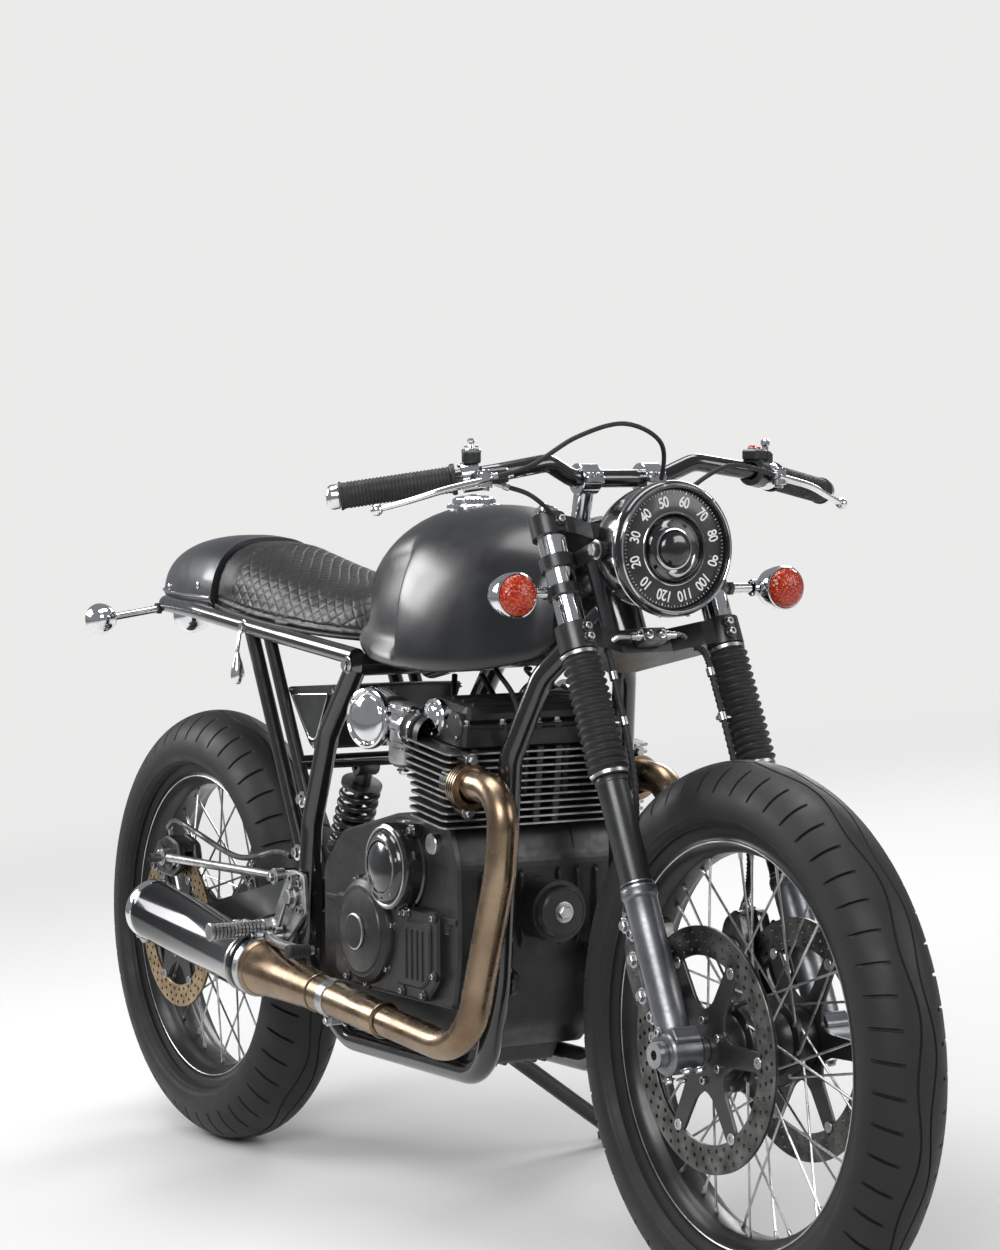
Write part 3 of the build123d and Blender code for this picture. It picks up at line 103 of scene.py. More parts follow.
class Piece:
    """Gathers faces for one object, in upright millimetres."""

    def __init__(self):
        self.verts, self.faces, self.slots, self.smooth = [], [], [], []

    def add(self, verts, faces, slot=0, smooth=True):
        base = len(self.verts)
        self.verts.extend(tuple(v) for v in verts)
        self.faces.extend(tuple(base + i for i in face) for face in faces)
        self.slots.extend([slot] * len(faces))
        self.smooth.extend([smooth] * len(faces))
        return self

    def turned(self, profile, origin, axis, segments, slot=0):
        """Revolves rows of radius and distance along the axis. Rows on the axis become one point."""
        u, v, w = frame_of(axis)
        origin = Vector(origin)
        verts, faces, rings = [], [], []
        for r, h in profile:
            if abs(r) < 1e-6:
                rings.append([len(verts)] * segments)
                verts.append(origin + w * h)
                continue
            rings.append([len(verts) + k for k in range(segments)])
            for turn in turns(segments):
                verts.append(origin + w * h + (u * cos(turn) + v * sin(turn)) * r)
        for a, b in zip(rings, rings[1:]):
            for k in range(segments):
                n = (k + 1) % segments
                quad = [a[k], a[n], b[n], b[k]]
                face = [i for j, i in enumerate(quad) if i not in quad[:j]]
                if len(face) > 2:
                    faces.append(face)
        return self.add(verts, faces, slot)

    def tube(self, points, radius, segments, slot=0, closed=False):
        """Sweeps a round section along points. The radius may be a list."""
        points = [Vector(p) for p in points]
        count = len(points)
        radii = radius if isinstance(radius, (list, tuple)) else [radius] * count
        tangents = []
        for i in range(count):
            before = points[i - 1] if i or closed else points[i]
            after = points[(i + 1) % count] if i < count - 1 or closed else points[i]
            tangents.append((after - before).normalized())
        u, _, _ = frame_of(tangents[0])
        verts, faces = [], []
        for i in range(count):
            if i:
                u = tangents[i - 1].rotation_difference(tangents[i]) @ u
            u = (u - tangents[i] * u.dot(tangents[i])).normalized()
            v = tangents[i].cross(u)
            for turn in turns(segments):
                verts.append(points[i] + (u * cos(turn) + v * sin(turn)) * radii[i])
        rows = count if closed else count - 1
        for i in range(rows):
            j = (i + 1) % count
            for k in range(segments):
                n = (k + 1) % segments
                faces.append((i * segments + k, i * segments + n, j * segments + n, j * segments + k))
        if not closed:
            faces.append(tuple(reversed(range(segments))))
            faces.append(tuple((count - 1) * segments + k for k in range(segments)))
        return self.add(verts, faces, slot)

    def plate(self, outline, origin, axis, thickness, across, bevel, slot=0):
        """A flat plate from an outline around the origin, with bevelled rims."""
        u, v, w = frame_of(axis, across)
        origin = Vector(origin)
        count = len(outline)
        area = sum(
            outline[i][0] * outline[(i + 1) % count][1] - outline[(i + 1) % count][0] * outline[i][1]
            for i in range(count)
        )
        if area < 0:
            outline = outline[::-1]
        inner = inset(outline, bevel) if bevel else outline
        levels = [(inner, 0.0), (outline, bevel), (outline, thickness - bevel), (inner, thickness)]
        if not bevel:
            levels = [(outline, 0.0), (outline, thickness)]
        verts, faces = [], []
        for ring, height in levels:
            verts.extend(origin + u * a + v * b + w * height for a, b in ring)
        for level in range(len(levels) - 1):
            for i in range(count):
                j = (i + 1) % count
                low, high = level * count, (level + 1) * count
                faces.append((low + i, low + j, high + j, high + i))
        faces.append(tuple(reversed(range(count))))
        faces.append(tuple((len(levels) - 1) * count + i for i in range(count)))
        return self.add(verts, faces, slot, False)

    def bolt(self, origin, axis, size, height, slot=0, washer=True, socket=False):
        """A hexagon or socket head, seated on a surface, pointing along the axis."""
        origin = Vector(origin)
        w = Vector(axis).normalized()
        if washer:
            self.turned(
                [(0, 0), (size * 1.5, 0), (size * 1.5, 1.0), (size * 1.3, 1.4), (0, 1.4)], origin, w, 20,
                slot,
            )
            origin = origin + w * 1.4
        if socket:
            rim = size * 0.55
            self.turned(
                [
                    (size, 0), (size, height - 0.8), (size - 0.8, height), (rim, height), (rim, height),
                    (rim * 0.95, height * 0.4), (0, height * 0.35),
                ],
                origin, w, 18, slot,
            )
            return self
        u, v, _ = frame_of(w)
        ring = [(cos(pi * k / 3), sin(pi * k / 3)) for k in range(6)]
        verts, faces = [], []
        for scale, level in ((1.0, 0.0), (1.0, height * 0.8), (0.86, height)):
            verts.extend(origin + (u * a + v * b) * size * scale + w * level for a, b in ring)
        for level in range(2):
            for k in range(6):
                n = (k + 1) % 6
                faces.append((level * 6 + k, level * 6 + n, level * 6 + 6 + n, level * 6 + 6 + k))
        faces.append(tuple(12 + k for k in range(6)))
        return self.add(verts, faces, slot, False)

    def screw(self, origin, axis, size, height, slot=0):
        """A socket head without a washer."""
        return self.bolt(origin, axis, size, height, slot, washer=False, socket=True)

    def loft(self, rings):
        """Joins closed rings of the same count, and closes the first and the last."""
        count, ring = len(rings), len(rings[0])
        faces = [
            (i * ring + k, i * ring + (k + 1) % ring, (i + 1) * ring + (k + 1) % ring, (i + 1) * ring + k)
            for i in range(count - 1)
            for k in range(ring)
        ]
        faces.append(tuple(range(ring)))
        faces.append(tuple(reversed(range((count - 1) * ring, count * ring))))
        return self.add([point for points in rings for point in points], faces)

    def make(self, name, body, materials, replaces, slot, sharp=35):
        """Turns the faces into an object that rides on a body."""
        mesh = bpy.data.meshes.new(name)
        placed = [LEANED @ Vector(v) for v in self.verts]
        mesh.from_pydata(placed, [], self.faces)
        mesh.validate()
        materials = materials if isinstance(materials, (list, tuple)) else [materials]
        for item in materials:
            mesh.materials.append(item)
        if len(mesh.polygons) == len(self.faces):
            mesh.polygons.foreach_set("material_index", self.slots)
            mesh.polygons.foreach_set("use_smooth", self.smooth)
        obj = bpy.data.objects.new(name, mesh)
        bpy.context.scene.collection.objects.link(obj)
        bm = bmesh.new()
        bm.from_mesh(mesh)
        bmesh.ops.recalc_face_normals(bm, faces=bm.faces)
        limit = radians(sharp)
        for edge in bm.edges:
            if len(edge.link_faces) == 2 and edge.calc_face_angle(0) > limit:
                edge.smooth = False
        bm.to_mesh(mesh)
        bm.free()
        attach(obj, body)
        if replaces:
            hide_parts(*replaces)


def inset(outline, amount):
    """An outline moved inwards, for small bevels."""
    count = len(outline)
    made = []
    for i in range(count):
        p, q, r = (Vector(outline[(i + k) % count]).to_2d() for k in (-1, 0, 1))
        a = (q - p).normalized()
        b = (r - q).normalized()
        n1, n2 = Vector((-a.y, a.x)), Vector((-b.y, b.x))
        n = n1 + n2
        if n.length < 1e-6:
            n = n1
        n.normalize()
        made.append(tuple(q + n * amount / max(0.4, n.dot(n1))))
    return made


def rounded(outline, radius, steps=4):
    """An outline with its corners rounded by arcs."""
    count = len(outline)
    radii = radius if isinstance(radius, (list, tuple)) else [radius] * count
    made = []
    for i in range(count):
        p, q, r = (Vector(outline[(i + k) % count]) for k in (-1, 0, 1))
        a, b = (p - q), (r - q)
        reach = min(radii[i], a.length * 0.48, b.length * 0.48)
        a.normalize()
        b.normalize()
        first, last = q + a * reach, q + b * reach
        for k in range(steps + 1):
            t = k / steps
            made.append(tuple(first * (1 - t) ** 2 + q * 2 * t * (1 - t) + last * t ** 2))
    return made


def oblong(half_length, half_width, corner):
    """A rounded rectangle round the origin."""
    a, b = half_length, half_width
    return rounded([(-a, -b), (a, -b), (a, b), (-a, b)], corner)


def path(points, bend, step):
    """Straight runs joined by arcs, as a dense list of points."""
    points = [Vector(p) for p in points]
    bends = bend if isinstance(bend, (list, tuple)) else [bend] * (len(points) - 2)
    made = [points[0]]
    for i in range(1, len(points) - 1):
        p, q, r = points[i - 1], points[i], points[i + 1]
        a, b = (p - q).normalized(), (r - q).normalized()
        half = a.angle(b) / 2
        if half > pi / 2 - 0.01:
            continue
        reach = min(bends[i - 1] / tan(half), (p - q).length * 0.49, (r - q).length * 0.49)
        radius = reach * tan(half)
        centre = q + (a + b).normalized() * (radius / sin(half))
        start, stop = q + a * reach - centre, q + b * reach - centre
        sweep = start.angle(stop)
        count = max(3, ceil(sweep * radius / step))
        for k in range(count + 1):
            t = k / count
            made.append(centre + (start * sin((1 - t) * sweep) + stop * sin(t * sweep)) / sin(sweep))
    made.append(points[-1])
    dense = [made[0]]
    for p in made[1:]:
        if (p - dense[-1]).length > 0.05:
            dense.append(p)
    return dense


def flowing(points, steps):
    """A smooth Catmull-Rom line through points, for hoses and cables."""
    points = [Vector(p) for p in points]
    ends = [points[0] * 2 - points[1]] + points + [points[-1] * 2 - points[-2]]
    made = []
    for i in range(1, len(ends) - 2):
        a, b, c, d = ends[i - 1], ends[i], ends[i + 1], ends[i + 2]
        for k in range(steps):
            t = k / steps
            cubic = 3 * b - a - 3 * c + d
            made.append(
                0.5 * ((2 * b) + (c - a) * t + (2 * a - 5 * b + 4 * c - d) * t * t + cubic * t ** 3)
            )
    made.append(points[-1])
    return made


def arc_rows(centre_r, centre_h, radius, start, stop, steps):
    """Profile rows along an arc; angles in degrees from the radial direction."""
    rows = []
    for k in range(steps + 1):
        turn = radians(start + (stop - start) * k / steps)
        rows.append((centre_r + radius * cos(turn), centre_h + radius * sin(turn)))
    return rows


def both_sides(point, side):
    """A point on the left, or its mirror image on the right for side -1."""
    return Vector((point[0], point[1] * side, point[2]))


def turns(count, start=0.0):
    """Angles spaced evenly round a circle."""
    return [2 * pi * k / count + start for k in range(count)]


def circle(centre, axis, radius, count):
    """Points spaced evenly round an axis."""
    u, v, _ = frame_of(axis)
    return [centre + (u * cos(turn) + v * sin(turn)) * radius for turn in turns(count)]


# Materials: each is a node network with its own grain and colour variation, and most with dust (on black
# finishes) and painted shade (on bright ones) in their corners
class Shade:
    """A material with short calls for adding and linking nodes."""

    def __init__(self, name, color, metallic=0.0, roughness=0.5, **inputs):
        self.name = name
        self.material = bpy.data.materials.new(name)
        self.material.use_nodes = True
        self.tree = self.material.node_tree
        self.shader = self.tree.nodes["Principled BSDF"]
        self.set("Base Color", (*color, 1))
        self.set("Metallic", metallic)
        self.set("Roughness", roughness)
        for label, value in inputs.items():
            self.set(label.replace("_", " "), value)
        self.color = color

    def set(self, label, value):
        self.shader.inputs[label].default_value = value

    def node(self, kind, **values):
        made = self.tree.nodes.new(kind)
        for label, value in values.items():
            if hasattr(made, label) and not label[0].isupper():
                setattr(made, label, value)
            else:
                made.inputs[label.replace("_", " ")].default_value = value
        return made

    def link(self, source, target):
        self.tree.links.new(source, target)

    def place(self, scale=(1, 1, 1)):
        """Object coordinates in metres, stretched."""
        coords = self.node("ShaderNodeTexCoord")
        mapping = self.node("ShaderNodeMapping")
        mapping.inputs["Scale"].default_value = scale
        self.link(coords.outputs["Object"], mapping.inputs["Vector"])
        return mapping.outputs["Vector"]

    def noise(self, scale, detail=4.0, rough=0.5, stretch=(1, 1, 1)):
        made = self.node("ShaderNodeTexNoise", Scale=scale, Detail=detail, Roughness=rough)
        self.link(self.place(stretch), made.inputs["Vector"])
        return made.outputs["Fac"]

    def cells(self, scale):
        made = self.node("ShaderNodeTexVoronoi", Scale=scale, feature="F1")
        self.link(self.place(), made.inputs["Vector"])
        return made.outputs["Distance"]

    def ramp(self, source, stops):
        """Turns a value into another one, or into a colour, through stops."""
        made = self.node("ShaderNodeValToRGB")
        ramp = made.color_ramp
        while len(ramp.elements) < len(stops):
            ramp.elements.new(0.5)
        for element, (at, value) in zip(ramp.elements, stops):
            element.position = at
            element.color = (*value, 1) if isinstance(value, (tuple, list)) else (value, value, value, 1)
        self.link(source, made.inputs["Fac"])
        return made.outputs["Color"]

    def mix(self, factor, first, second):
        made = self.node("ShaderNodeMix", data_type="RGBA")
        if isinstance(factor, float):
            made.inputs["Factor"].default_value = factor
        else:
            self.link(factor, made.inputs["Factor"])
        for label, value in (("A", first), ("B", second)):
            socket = [i for i in made.inputs if i.name == label and i.type == "RGBA"][0]
            if isinstance(value, tuple):
                socket.default_value = (*value, 1)
            else:
                self.link(value, socket)
        return [o for o in made.outputs if o.type == "RGBA"][0]

    def bump(self, source, distance, strength=1.0):
        made = self.node("ShaderNodeBump", Distance=distance, Strength=strength)
        self.link(source, made.inputs["Height"])
        if self.shader.inputs["Normal"].is_linked:
            self.link(self.shader.inputs["Normal"].links[0].from_socket, made.inputs["Normal"])
        self.link(made.outputs["Normal"], self.shader.inputs["Normal"])
        return self

    def rough(self, source, low, high):
        self.link(self.ramp(source, [(0.3, low), (0.7, high)]), self.shader.inputs["Roughness"])
        return self

    def tint(self, source, dark, light, low=0.35, high=0.65):
        self.link(self.ramp(source, [(low, dark), (high, light)]), self.shader.inputs["Base Color"])
        return self

    def corner_dirt_and_shade(self, color, amount=0.6, reach=0.006):
        """Mixes a colour into the corners that the AO node finds, over whatever colour there is: painted
        shade where that colour is darker than the surface, dust where it is lighter.
        """
        ao = self.node("ShaderNodeAmbientOcclusion", samples=6, Distance=reach)
        base = self.shader.inputs["Base Color"]
        below = base.links[0].from_socket if base.is_linked else self.color
        # The AO mask darkens bright finishes in their corners, which is painted shade, and lightens black
        # finishes there, which is dust.
        amount_of = self.ramp(ao.outputs["AO"], [(0.35, amount), (0.95, 0.0)])
        self.link(self.mix(amount_of, below, color), base)
        return self


# Each row: colour, metallic, roughness, other inputs; then tint (noise, dark, light and its
# limits), rough (noise, low, high), bump (noise, distance, strength) and corner_dirt_and_shade (colour,
# amount, reach), which is painted shade in the corners where darker and dust where lighter. A noise is its
# scale, detail, roughness and stretch.
PLAIN_LOOKS = {
    "gloss_black_paint": dict(
        base=((0.008, 0.008, 0.009), 0.0, 0.16), inputs=dict(Coat_Weight=0.8, Coat_Roughness=0.04),
        tint=((9,), (0.006, 0.006, 0.007), (0.012, 0.012, 0.013)),
        rough=((60, 6), 0.12, 0.24), bump=((900, 2), 0.00002, 0.5),
    ),
    "satin_black_paint": dict(
        base=((0.013, 0.0135, 0.014), 0.0, 0.34), inputs=dict(Coat_Weight=0.25, Coat_Roughness=0.22),
        tint=((14,), (0.010, 0.0105, 0.011), (0.017, 0.0175, 0.018)),
        rough=((35, 6), 0.28, 0.42), bump=((1800, 3), 0.00003, 0.6),
    ),
    "tank_satin_black": dict(
        base=((0.012, 0.0125, 0.0135), 0.25, 0.30), inputs=dict(Coat_Weight=0.35, Coat_Roughness=0.2),
        tint=((7,), (0.010, 0.0105, 0.0115), (0.016, 0.0165, 0.018)),
        rough=((28, 6), 0.26, 0.38), bump=((140, 2), 0.00004, 0.35),
    ),
    "chrome_plate": dict(
        base=((0.78, 0.79, 0.80), 1.0, 0.07), tint=((18,), (0.70, 0.71, 0.72), (0.82, 0.83, 0.84)),
        rough=((120, 6), 0.04, 0.12), bump=((260, 4), 0.00003, 0.35),
        corner_dirt_and_shade=((0.10, 0.09, 0.08), 0.5, 0.004),
    ),
    "bright_steel": dict(
        base=((0.46, 0.465, 0.47), 1.0, 0.30), tint=((30, 6), (0.34, 0.345, 0.35), (0.56, 0.565, 0.57)),
        rough=((160, 6, 0.6, (1, 1, 6)), 0.22, 0.42), bump=((1200, 4, 0.6, (1, 1, 8)), 0.00004, 0.5),
        corner_dirt_and_shade=((0.05, 0.042, 0.035), 0.7, 0.004),
    ),
    "cast_alloy": dict(
        base=((0.42, 0.42, 0.43), 0.95, 0.38), tint=((26, 6), (0.28, 0.28, 0.29), (0.55, 0.55, 0.56)),
        rough=((90, 5), 0.28, 0.5), bump=((1400, 4), 0.00008, 0.7),
        corner_dirt_and_shade=((0.04, 0.033, 0.026), 0.85, 0.008),
    ),
    "bronze_pipe": dict(
        base=((0.26, 0.185, 0.12), 1.0, 0.27),
        tint=((11, 5), (0.185, 0.125, 0.080), (0.36, 0.27, 0.185), 0.3, 0.7),
        rough=((55, 6), 0.20, 0.36), bump=((700, 3), 0.00004, 0.4),
        corner_dirt_and_shade=((0.06, 0.04, 0.026), 0.25, 0.004),
    ),
    "disc_bronze": dict(
        base=((0.40, 0.29, 0.16), 1.0, 0.30), tint=((40, 5), (0.30, 0.21, 0.11), (0.52, 0.39, 0.23)),
        rough=((300, 5), 0.22, 0.42), bump=((1500, 4), 0.00004, 0.5),
        corner_dirt_and_shade=((0.05, 0.035, 0.02), 0.6, 0.004),
    ),
    "dark_steel": dict(
        base=((0.11, 0.108, 0.105), 1.0, 0.36), tint=((45, 6), (0.065, 0.063, 0.060), (0.18, 0.176, 0.17)),
        rough=((200, 5), 0.28, 0.48), bump=((1600, 4), 0.00005, 0.6),
        corner_dirt_and_shade=((0.016, 0.013, 0.010), 0.8, 0.004),
    ),
    "fork_leg_grey": dict(
        base=((0.17, 0.175, 0.185), 0.85, 0.36), inputs=dict(Coat_Weight=0.2, Coat_Roughness=0.2),
        tint=((22, 5), (0.13, 0.135, 0.145), (0.21, 0.215, 0.225)),
        rough=((80, 6, 0.5, (1, 1, 4)), 0.30, 0.44), bump=((1800, 3), 0.00003, 0.5),
        corner_dirt_and_shade=((0.03, 0.028, 0.025), 0.6, 0.006),
    ),
    "black_engine_paint": dict(
        base=((0.014, 0.014, 0.0145), 0.3, 0.42), inputs=dict(Coat_Weight=0.2, Coat_Roughness=0.25),
        tint=((16, 6), (0.010, 0.010, 0.0105), (0.024, 0.0235, 0.023)),
        rough=((70, 6), 0.32, 0.54), bump=((1300, 4), 0.00008, 0.8),
        corner_dirt_and_shade=((0.035, 0.028, 0.021), 0.5, 0.010),
    ),
    "rim_black_paint": dict(
        base=((0.010, 0.010, 0.0105), 0.1, 0.36),
        inputs=dict(Coat_Weight=0.25, Coat_Roughness=0.2, Specular_IOR_Level=0.4),
        tint=((12, 5), (0.009, 0.009, 0.0095), (0.016, 0.0158, 0.0155)),
        rough=((45, 6), 0.30, 0.44), corner_dirt_and_shade=((0.024, 0.020, 0.016), 0.4, 0.006),
    ),
    "tyre_rubber": dict(
        base=((0.013, 0.0133, 0.0138), 0.0, 0.56), inputs=dict(Specular_IOR_Level=0.32),
        tint=((6, 6), (0.010, 0.0103, 0.0107), (0.020, 0.0197, 0.0195), 0.3, 0.75),
        rough=((25, 6), 0.46, 0.64), bump=((1500, 4), 0.0001, 0.6),
        corner_dirt_and_shade=((0.030, 0.028, 0.024), 0.4, 0.004),
    ),
    "black_rubber": dict(
        base=((0.016, 0.016, 0.0165), 0.0, 0.56), inputs=dict(Specular_IOR_Level=0.35),
        tint=((30, 4), (0.012, 0.012, 0.0125), (0.022, 0.022, 0.0225)),
        rough=((90, 5), 0.46, 0.66), bump=((2400, 3), 0.00008, 0.6),
        corner_dirt_and_shade=((0.035, 0.032, 0.028), 0.4, 0.003),
    ),
    "seat_thread": dict(
        base=((0.045, 0.042, 0.040), 0.0, 0.7),
        tint=((900, 2), (0.032, 0.030, 0.028), (0.062, 0.058, 0.055)), bump=((2500, 2), 0.0001, 0.6),
    ),
    "red_button": dict(
        base=((0.50, 0.012, 0.010), 0.0, 0.3), inputs=dict(Coat_Weight=0.4),
        tint=((60,), (0.42, 0.009, 0.008), (0.58, 0.016, 0.014)), bump=((1500,), 0.00003, 0.4),
    ),
    "dial_black": dict(
        base=((0.009, 0.009, 0.010), 0.0, 0.38), inputs=dict(Coat_Weight=0.3, Coat_Roughness=0.1),
        tint=((50,), (0.007, 0.007, 0.008), (0.013, 0.013, 0.014)), bump=((2500,), 0.00002, 0.4),
    ),
    "dial_white": dict(
        base=((0.72, 0.71, 0.68), 0.0, 0.5), tint=((200,), (0.64, 0.63, 0.60), (0.78, 0.77, 0.74)),
    ),
    "lamp_reflector": dict(
        base=((0.16, 0.16, 0.16), 1.0, 0.10), tint=((30,), (0.12, 0.12, 0.12), (0.20, 0.20, 0.20)),
        rough=((60,), 0.07, 0.14),
    ),
    "chain_steel": dict(
        base=((0.16, 0.15, 0.14), 1.0, 0.38), tint=((70, 6), (0.08, 0.073, 0.066), (0.26, 0.25, 0.235)),
        rough=((250, 5), 0.28, 0.5), corner_dirt_and_shade=((0.02, 0.015, 0.01), 0.85, 0.004),
    ),
    "muffler_black": dict(
        base=((0.020, 0.0205, 0.022), 0.75, 0.14), inputs=dict(Coat_Weight=0.7, Coat_Roughness=0.05),
        tint=((9, 5), (0.016, 0.0165, 0.018), (0.032, 0.033, 0.035)),
        rough=((50, 6), 0.10, 0.20), bump=((900, 3), 0.00003, 0.4),
    ),
}


def plain_look(name, base, tint, rough=None, bump=None, corner_dirt_and_shade=None, inputs=None):
    """A material whose colour, roughness and grain each follow a noise, with dust or painted shade mixed
    into its corners.
    """
    s = Shade(name, *base, **(inputs or {}))
    s.tint(s.noise(*tint[0]), *tint[1:])
    if rough:
        s.rough(s.noise(*rough[0]), *rough[1:])
    if bump:
        s.bump(s.noise(*bump[0]), *bump[1:])
    if corner_dirt_and_shade:
        s.corner_dirt_and_shade(*corner_dirt_and_shade)
    return s


def paint_cowl():
    """Grey paint with metallic flakes."""
    s = Shade("cowl_grey_paint", (0.030, 0.032, 0.036), 0.55, 0.34, Coat_Weight=0.5, Coat_Roughness=0.12)
    flake = s.ramp(s.cells(2600), [(0.1, 0.5), (0.5, 0.0)])
    s.link(s.mix(flake, (0.026, 0.028, 0.032), (0.085, 0.09, 0.10)), s.shader.inputs["Base Color"])
    s.rough(s.noise(40, 5), 0.28, 0.40)
    return s


def leather():
    """Black hide, quilted in diamonds where the pad's own coordinates ask for them, with painted shade
    darkening the quilt's creases.
    """
    s = Shade("black_leather", (0.011, 0.0107, 0.0103), 0.0, 0.44, Specular_IOR_Level=0.40)
    s.tint(s.noise(20, 5), (0.009, 0.0088, 0.0085), (0.016, 0.0155, 0.015))
    s.rough(s.noise(60, 5), 0.36, 0.50)
    s.bump(s.cells(900), 0.0002, 0.4)
    coords = s.node("ShaderNodeUVMap", uv_map="quilt")
    parts = s.node("ShaderNodeSeparateXYZ")
    s.link(coords.outputs["UV"], parts.inputs["Vector"])
    folds = []
    for operation in ("ADD", "SUBTRACT"):
        both = s.node("ShaderNodeMath", operation=operation)
        s.link(parts.outputs["X"], both.inputs[0])
        s.link(parts.outputs["Y"], both.inputs[1])
        fold = s.node("ShaderNodeMath", operation="PINGPONG")
        s.link(both.outputs["Value"], fold.inputs[0])
        fold.inputs[1].default_value = 0.5
        folds.append(fold.outputs["Value"])
    least = s.node("ShaderNodeMath", operation="MINIMUM")
    s.link(folds[0], least.inputs[0])
    s.link(folds[1], least.inputs[1])
    puff = s.ramp(least.outputs["Value"], [(0.0, 0.0), (0.06, 0.22), (0.20, 0.70), (0.5, 1.0)])
    s.bump(puff, 0.0010, 0.9)
    # The seams between the diamonds are darkened towards near black: painted shade in the creases.
    seam = s.ramp(least.outputs["Value"], [(0.0, 0.9), (0.03, 0.75), (0.07, 0.0)])
    base = s.shader.inputs["Base Color"]
    s.link(s.mix(seam, base.links[0].from_socket, (0.003, 0.003, 0.003)), base)
    return s


def amber():
    """A lens with small facets, moulded in its back."""
    s = Shade(
        "amber_lens", (0.62, 0.05, 0.006), 0.0, 0.10, Transmission_Weight=0.30, IOR=1.49, Coat_Weight=0.3,
        Coat_Roughness=0.03,
    )
    # Each facet cell is painted light in its middle and dark towards its rim: painted light through the
    # facets.
    s.tint(s.cells(300), (0.80, 0.085, 0.008), (0.36, 0.020, 0.004), 0.1, 0.6)
    s.bump(s.cells(300), 0.0011, 0.8)
    return s


BACKDROP = (0.83, 0.83, 0.825)


def floor_paper():
    """Pale paper that fades into the backdrop's colour away from the motorcycle."""
    s = Shade("floor_paper", (0.66, 0.66, 0.655), 0.0, 0.9, Specular_IOR_Level=0.2)
    s.tint(s.noise(0.8, 3), (0.655, 0.655, 0.65), (0.67, 0.67, 0.665))
    coords = s.node("ShaderNodeTexCoord")
    away = s.node("ShaderNodeVectorMath", operation="LENGTH")
    s.link(coords.outputs["Object"], away.inputs[0])
    fade = s.node("ShaderNodeMapRange", interpolation_type="SMOOTHSTEP")
    s.link(away.outputs["Value"], fade.inputs["Value"])
    for label, value in (("From Min", 1.5), ("From Max", 4.2), ("To Min", 0.0), ("To Max", 1.0)):
        fade.inputs[label].default_value = value
    ray = s.node("ShaderNodeLightPath")
    seen = s.node("ShaderNodeMath", operation="MULTIPLY")
    s.link(fade.outputs["Result"], seen.inputs[0])
    s.link(ray.outputs["Is Camera Ray"], seen.inputs[1])
    glow = s.node("ShaderNodeEmission")
    glow.inputs["Color"].default_value = (*BACKDROP, 1)
    blend = s.node("ShaderNodeMixShader")
    s.link(seen.outputs["Value"], blend.inputs[0])
    s.link(s.shader.outputs[0], blend.inputs[1])
    s.link(glow.outputs[0], blend.inputs[2])
    output = s.tree.nodes["Material Output"]
    s.link(blend.outputs[0], output.inputs["Surface"])
    return s


LOOKS = {name: plain_look(name, **values).material for name, values in PLAIN_LOOKS.items()}
LOOKS.update((shade.name, shade.material) for shade in (paint_cowl(), leather(), amber(), floor_paper()))
GLOSS, SATIN, COWL, TANK, CHROME, STEEL, ALLOY, BRONZE, DISC, DARK, LEG, ENGINE, RIM, TYRE, RUBBER = (
    LOOKS[name] for name in (
        "gloss_black_paint", "satin_black_paint", "cowl_grey_paint", "tank_satin_black", "chrome_plate",
        "bright_steel", "cast_alloy", "bronze_pipe", "disc_bronze", "dark_steel", "fork_leg_grey",
        "black_engine_paint", "rim_black_paint", "tyre_rubber", "black_rubber",
    )
)
LEATHER, THREAD, AMBER, RED, DIAL, WHITE, REFLECTOR, CHAIN, MUFFLER, FLOOR = (
    LOOKS[name] for name in (
        "black_leather", "seat_thread", "amber_lens", "red_button", "dial_black", "dial_white",
        "lamp_reflector", "chain_steel", "muffler_black", "floor_paper",
    )
)


# Camera, at the photograph's angle: it leans with the motorcycle
CAMERA_AT = Vector((4703, -2270, 987))
CAMERA_RIGHT = Vector((0.5054, 0.8628, -0.00854))
CAMERA_ABOVE = Vector((-0.03196, 0.02862, 0.9990))


def build_camera():
    data = bpy.data.cameras.new("camera")
    data.lens = 100.0
    data.sensor_width = 36.0
    data.sensor_fit = "AUTO"
    data.clip_end = 50
    camera = bpy.data.objects.new("camera", data)
    bpy.context.scene.collection.objects.link(camera)
    back = CAMERA_RIGHT.cross(CAMERA_ABOVE).normalized()
    above = back.cross(CAMERA_RIGHT).normalized()
    turn = LEANED.to_3x3().normalized()
    axes = [turn @ v.normalized() for v in (CAMERA_RIGHT, above, back)]
    matrix = Matrix([[axes[c][r] for c in range(3)] for r in range(3)]).to_4x4()
    camera.matrix_world = Matrix.Translation(LEANED @ CAMERA_AT) @ matrix
    bpy.context.scene.camera = camera
    bpy.context.scene.view_settings.view_transform = "Standard"


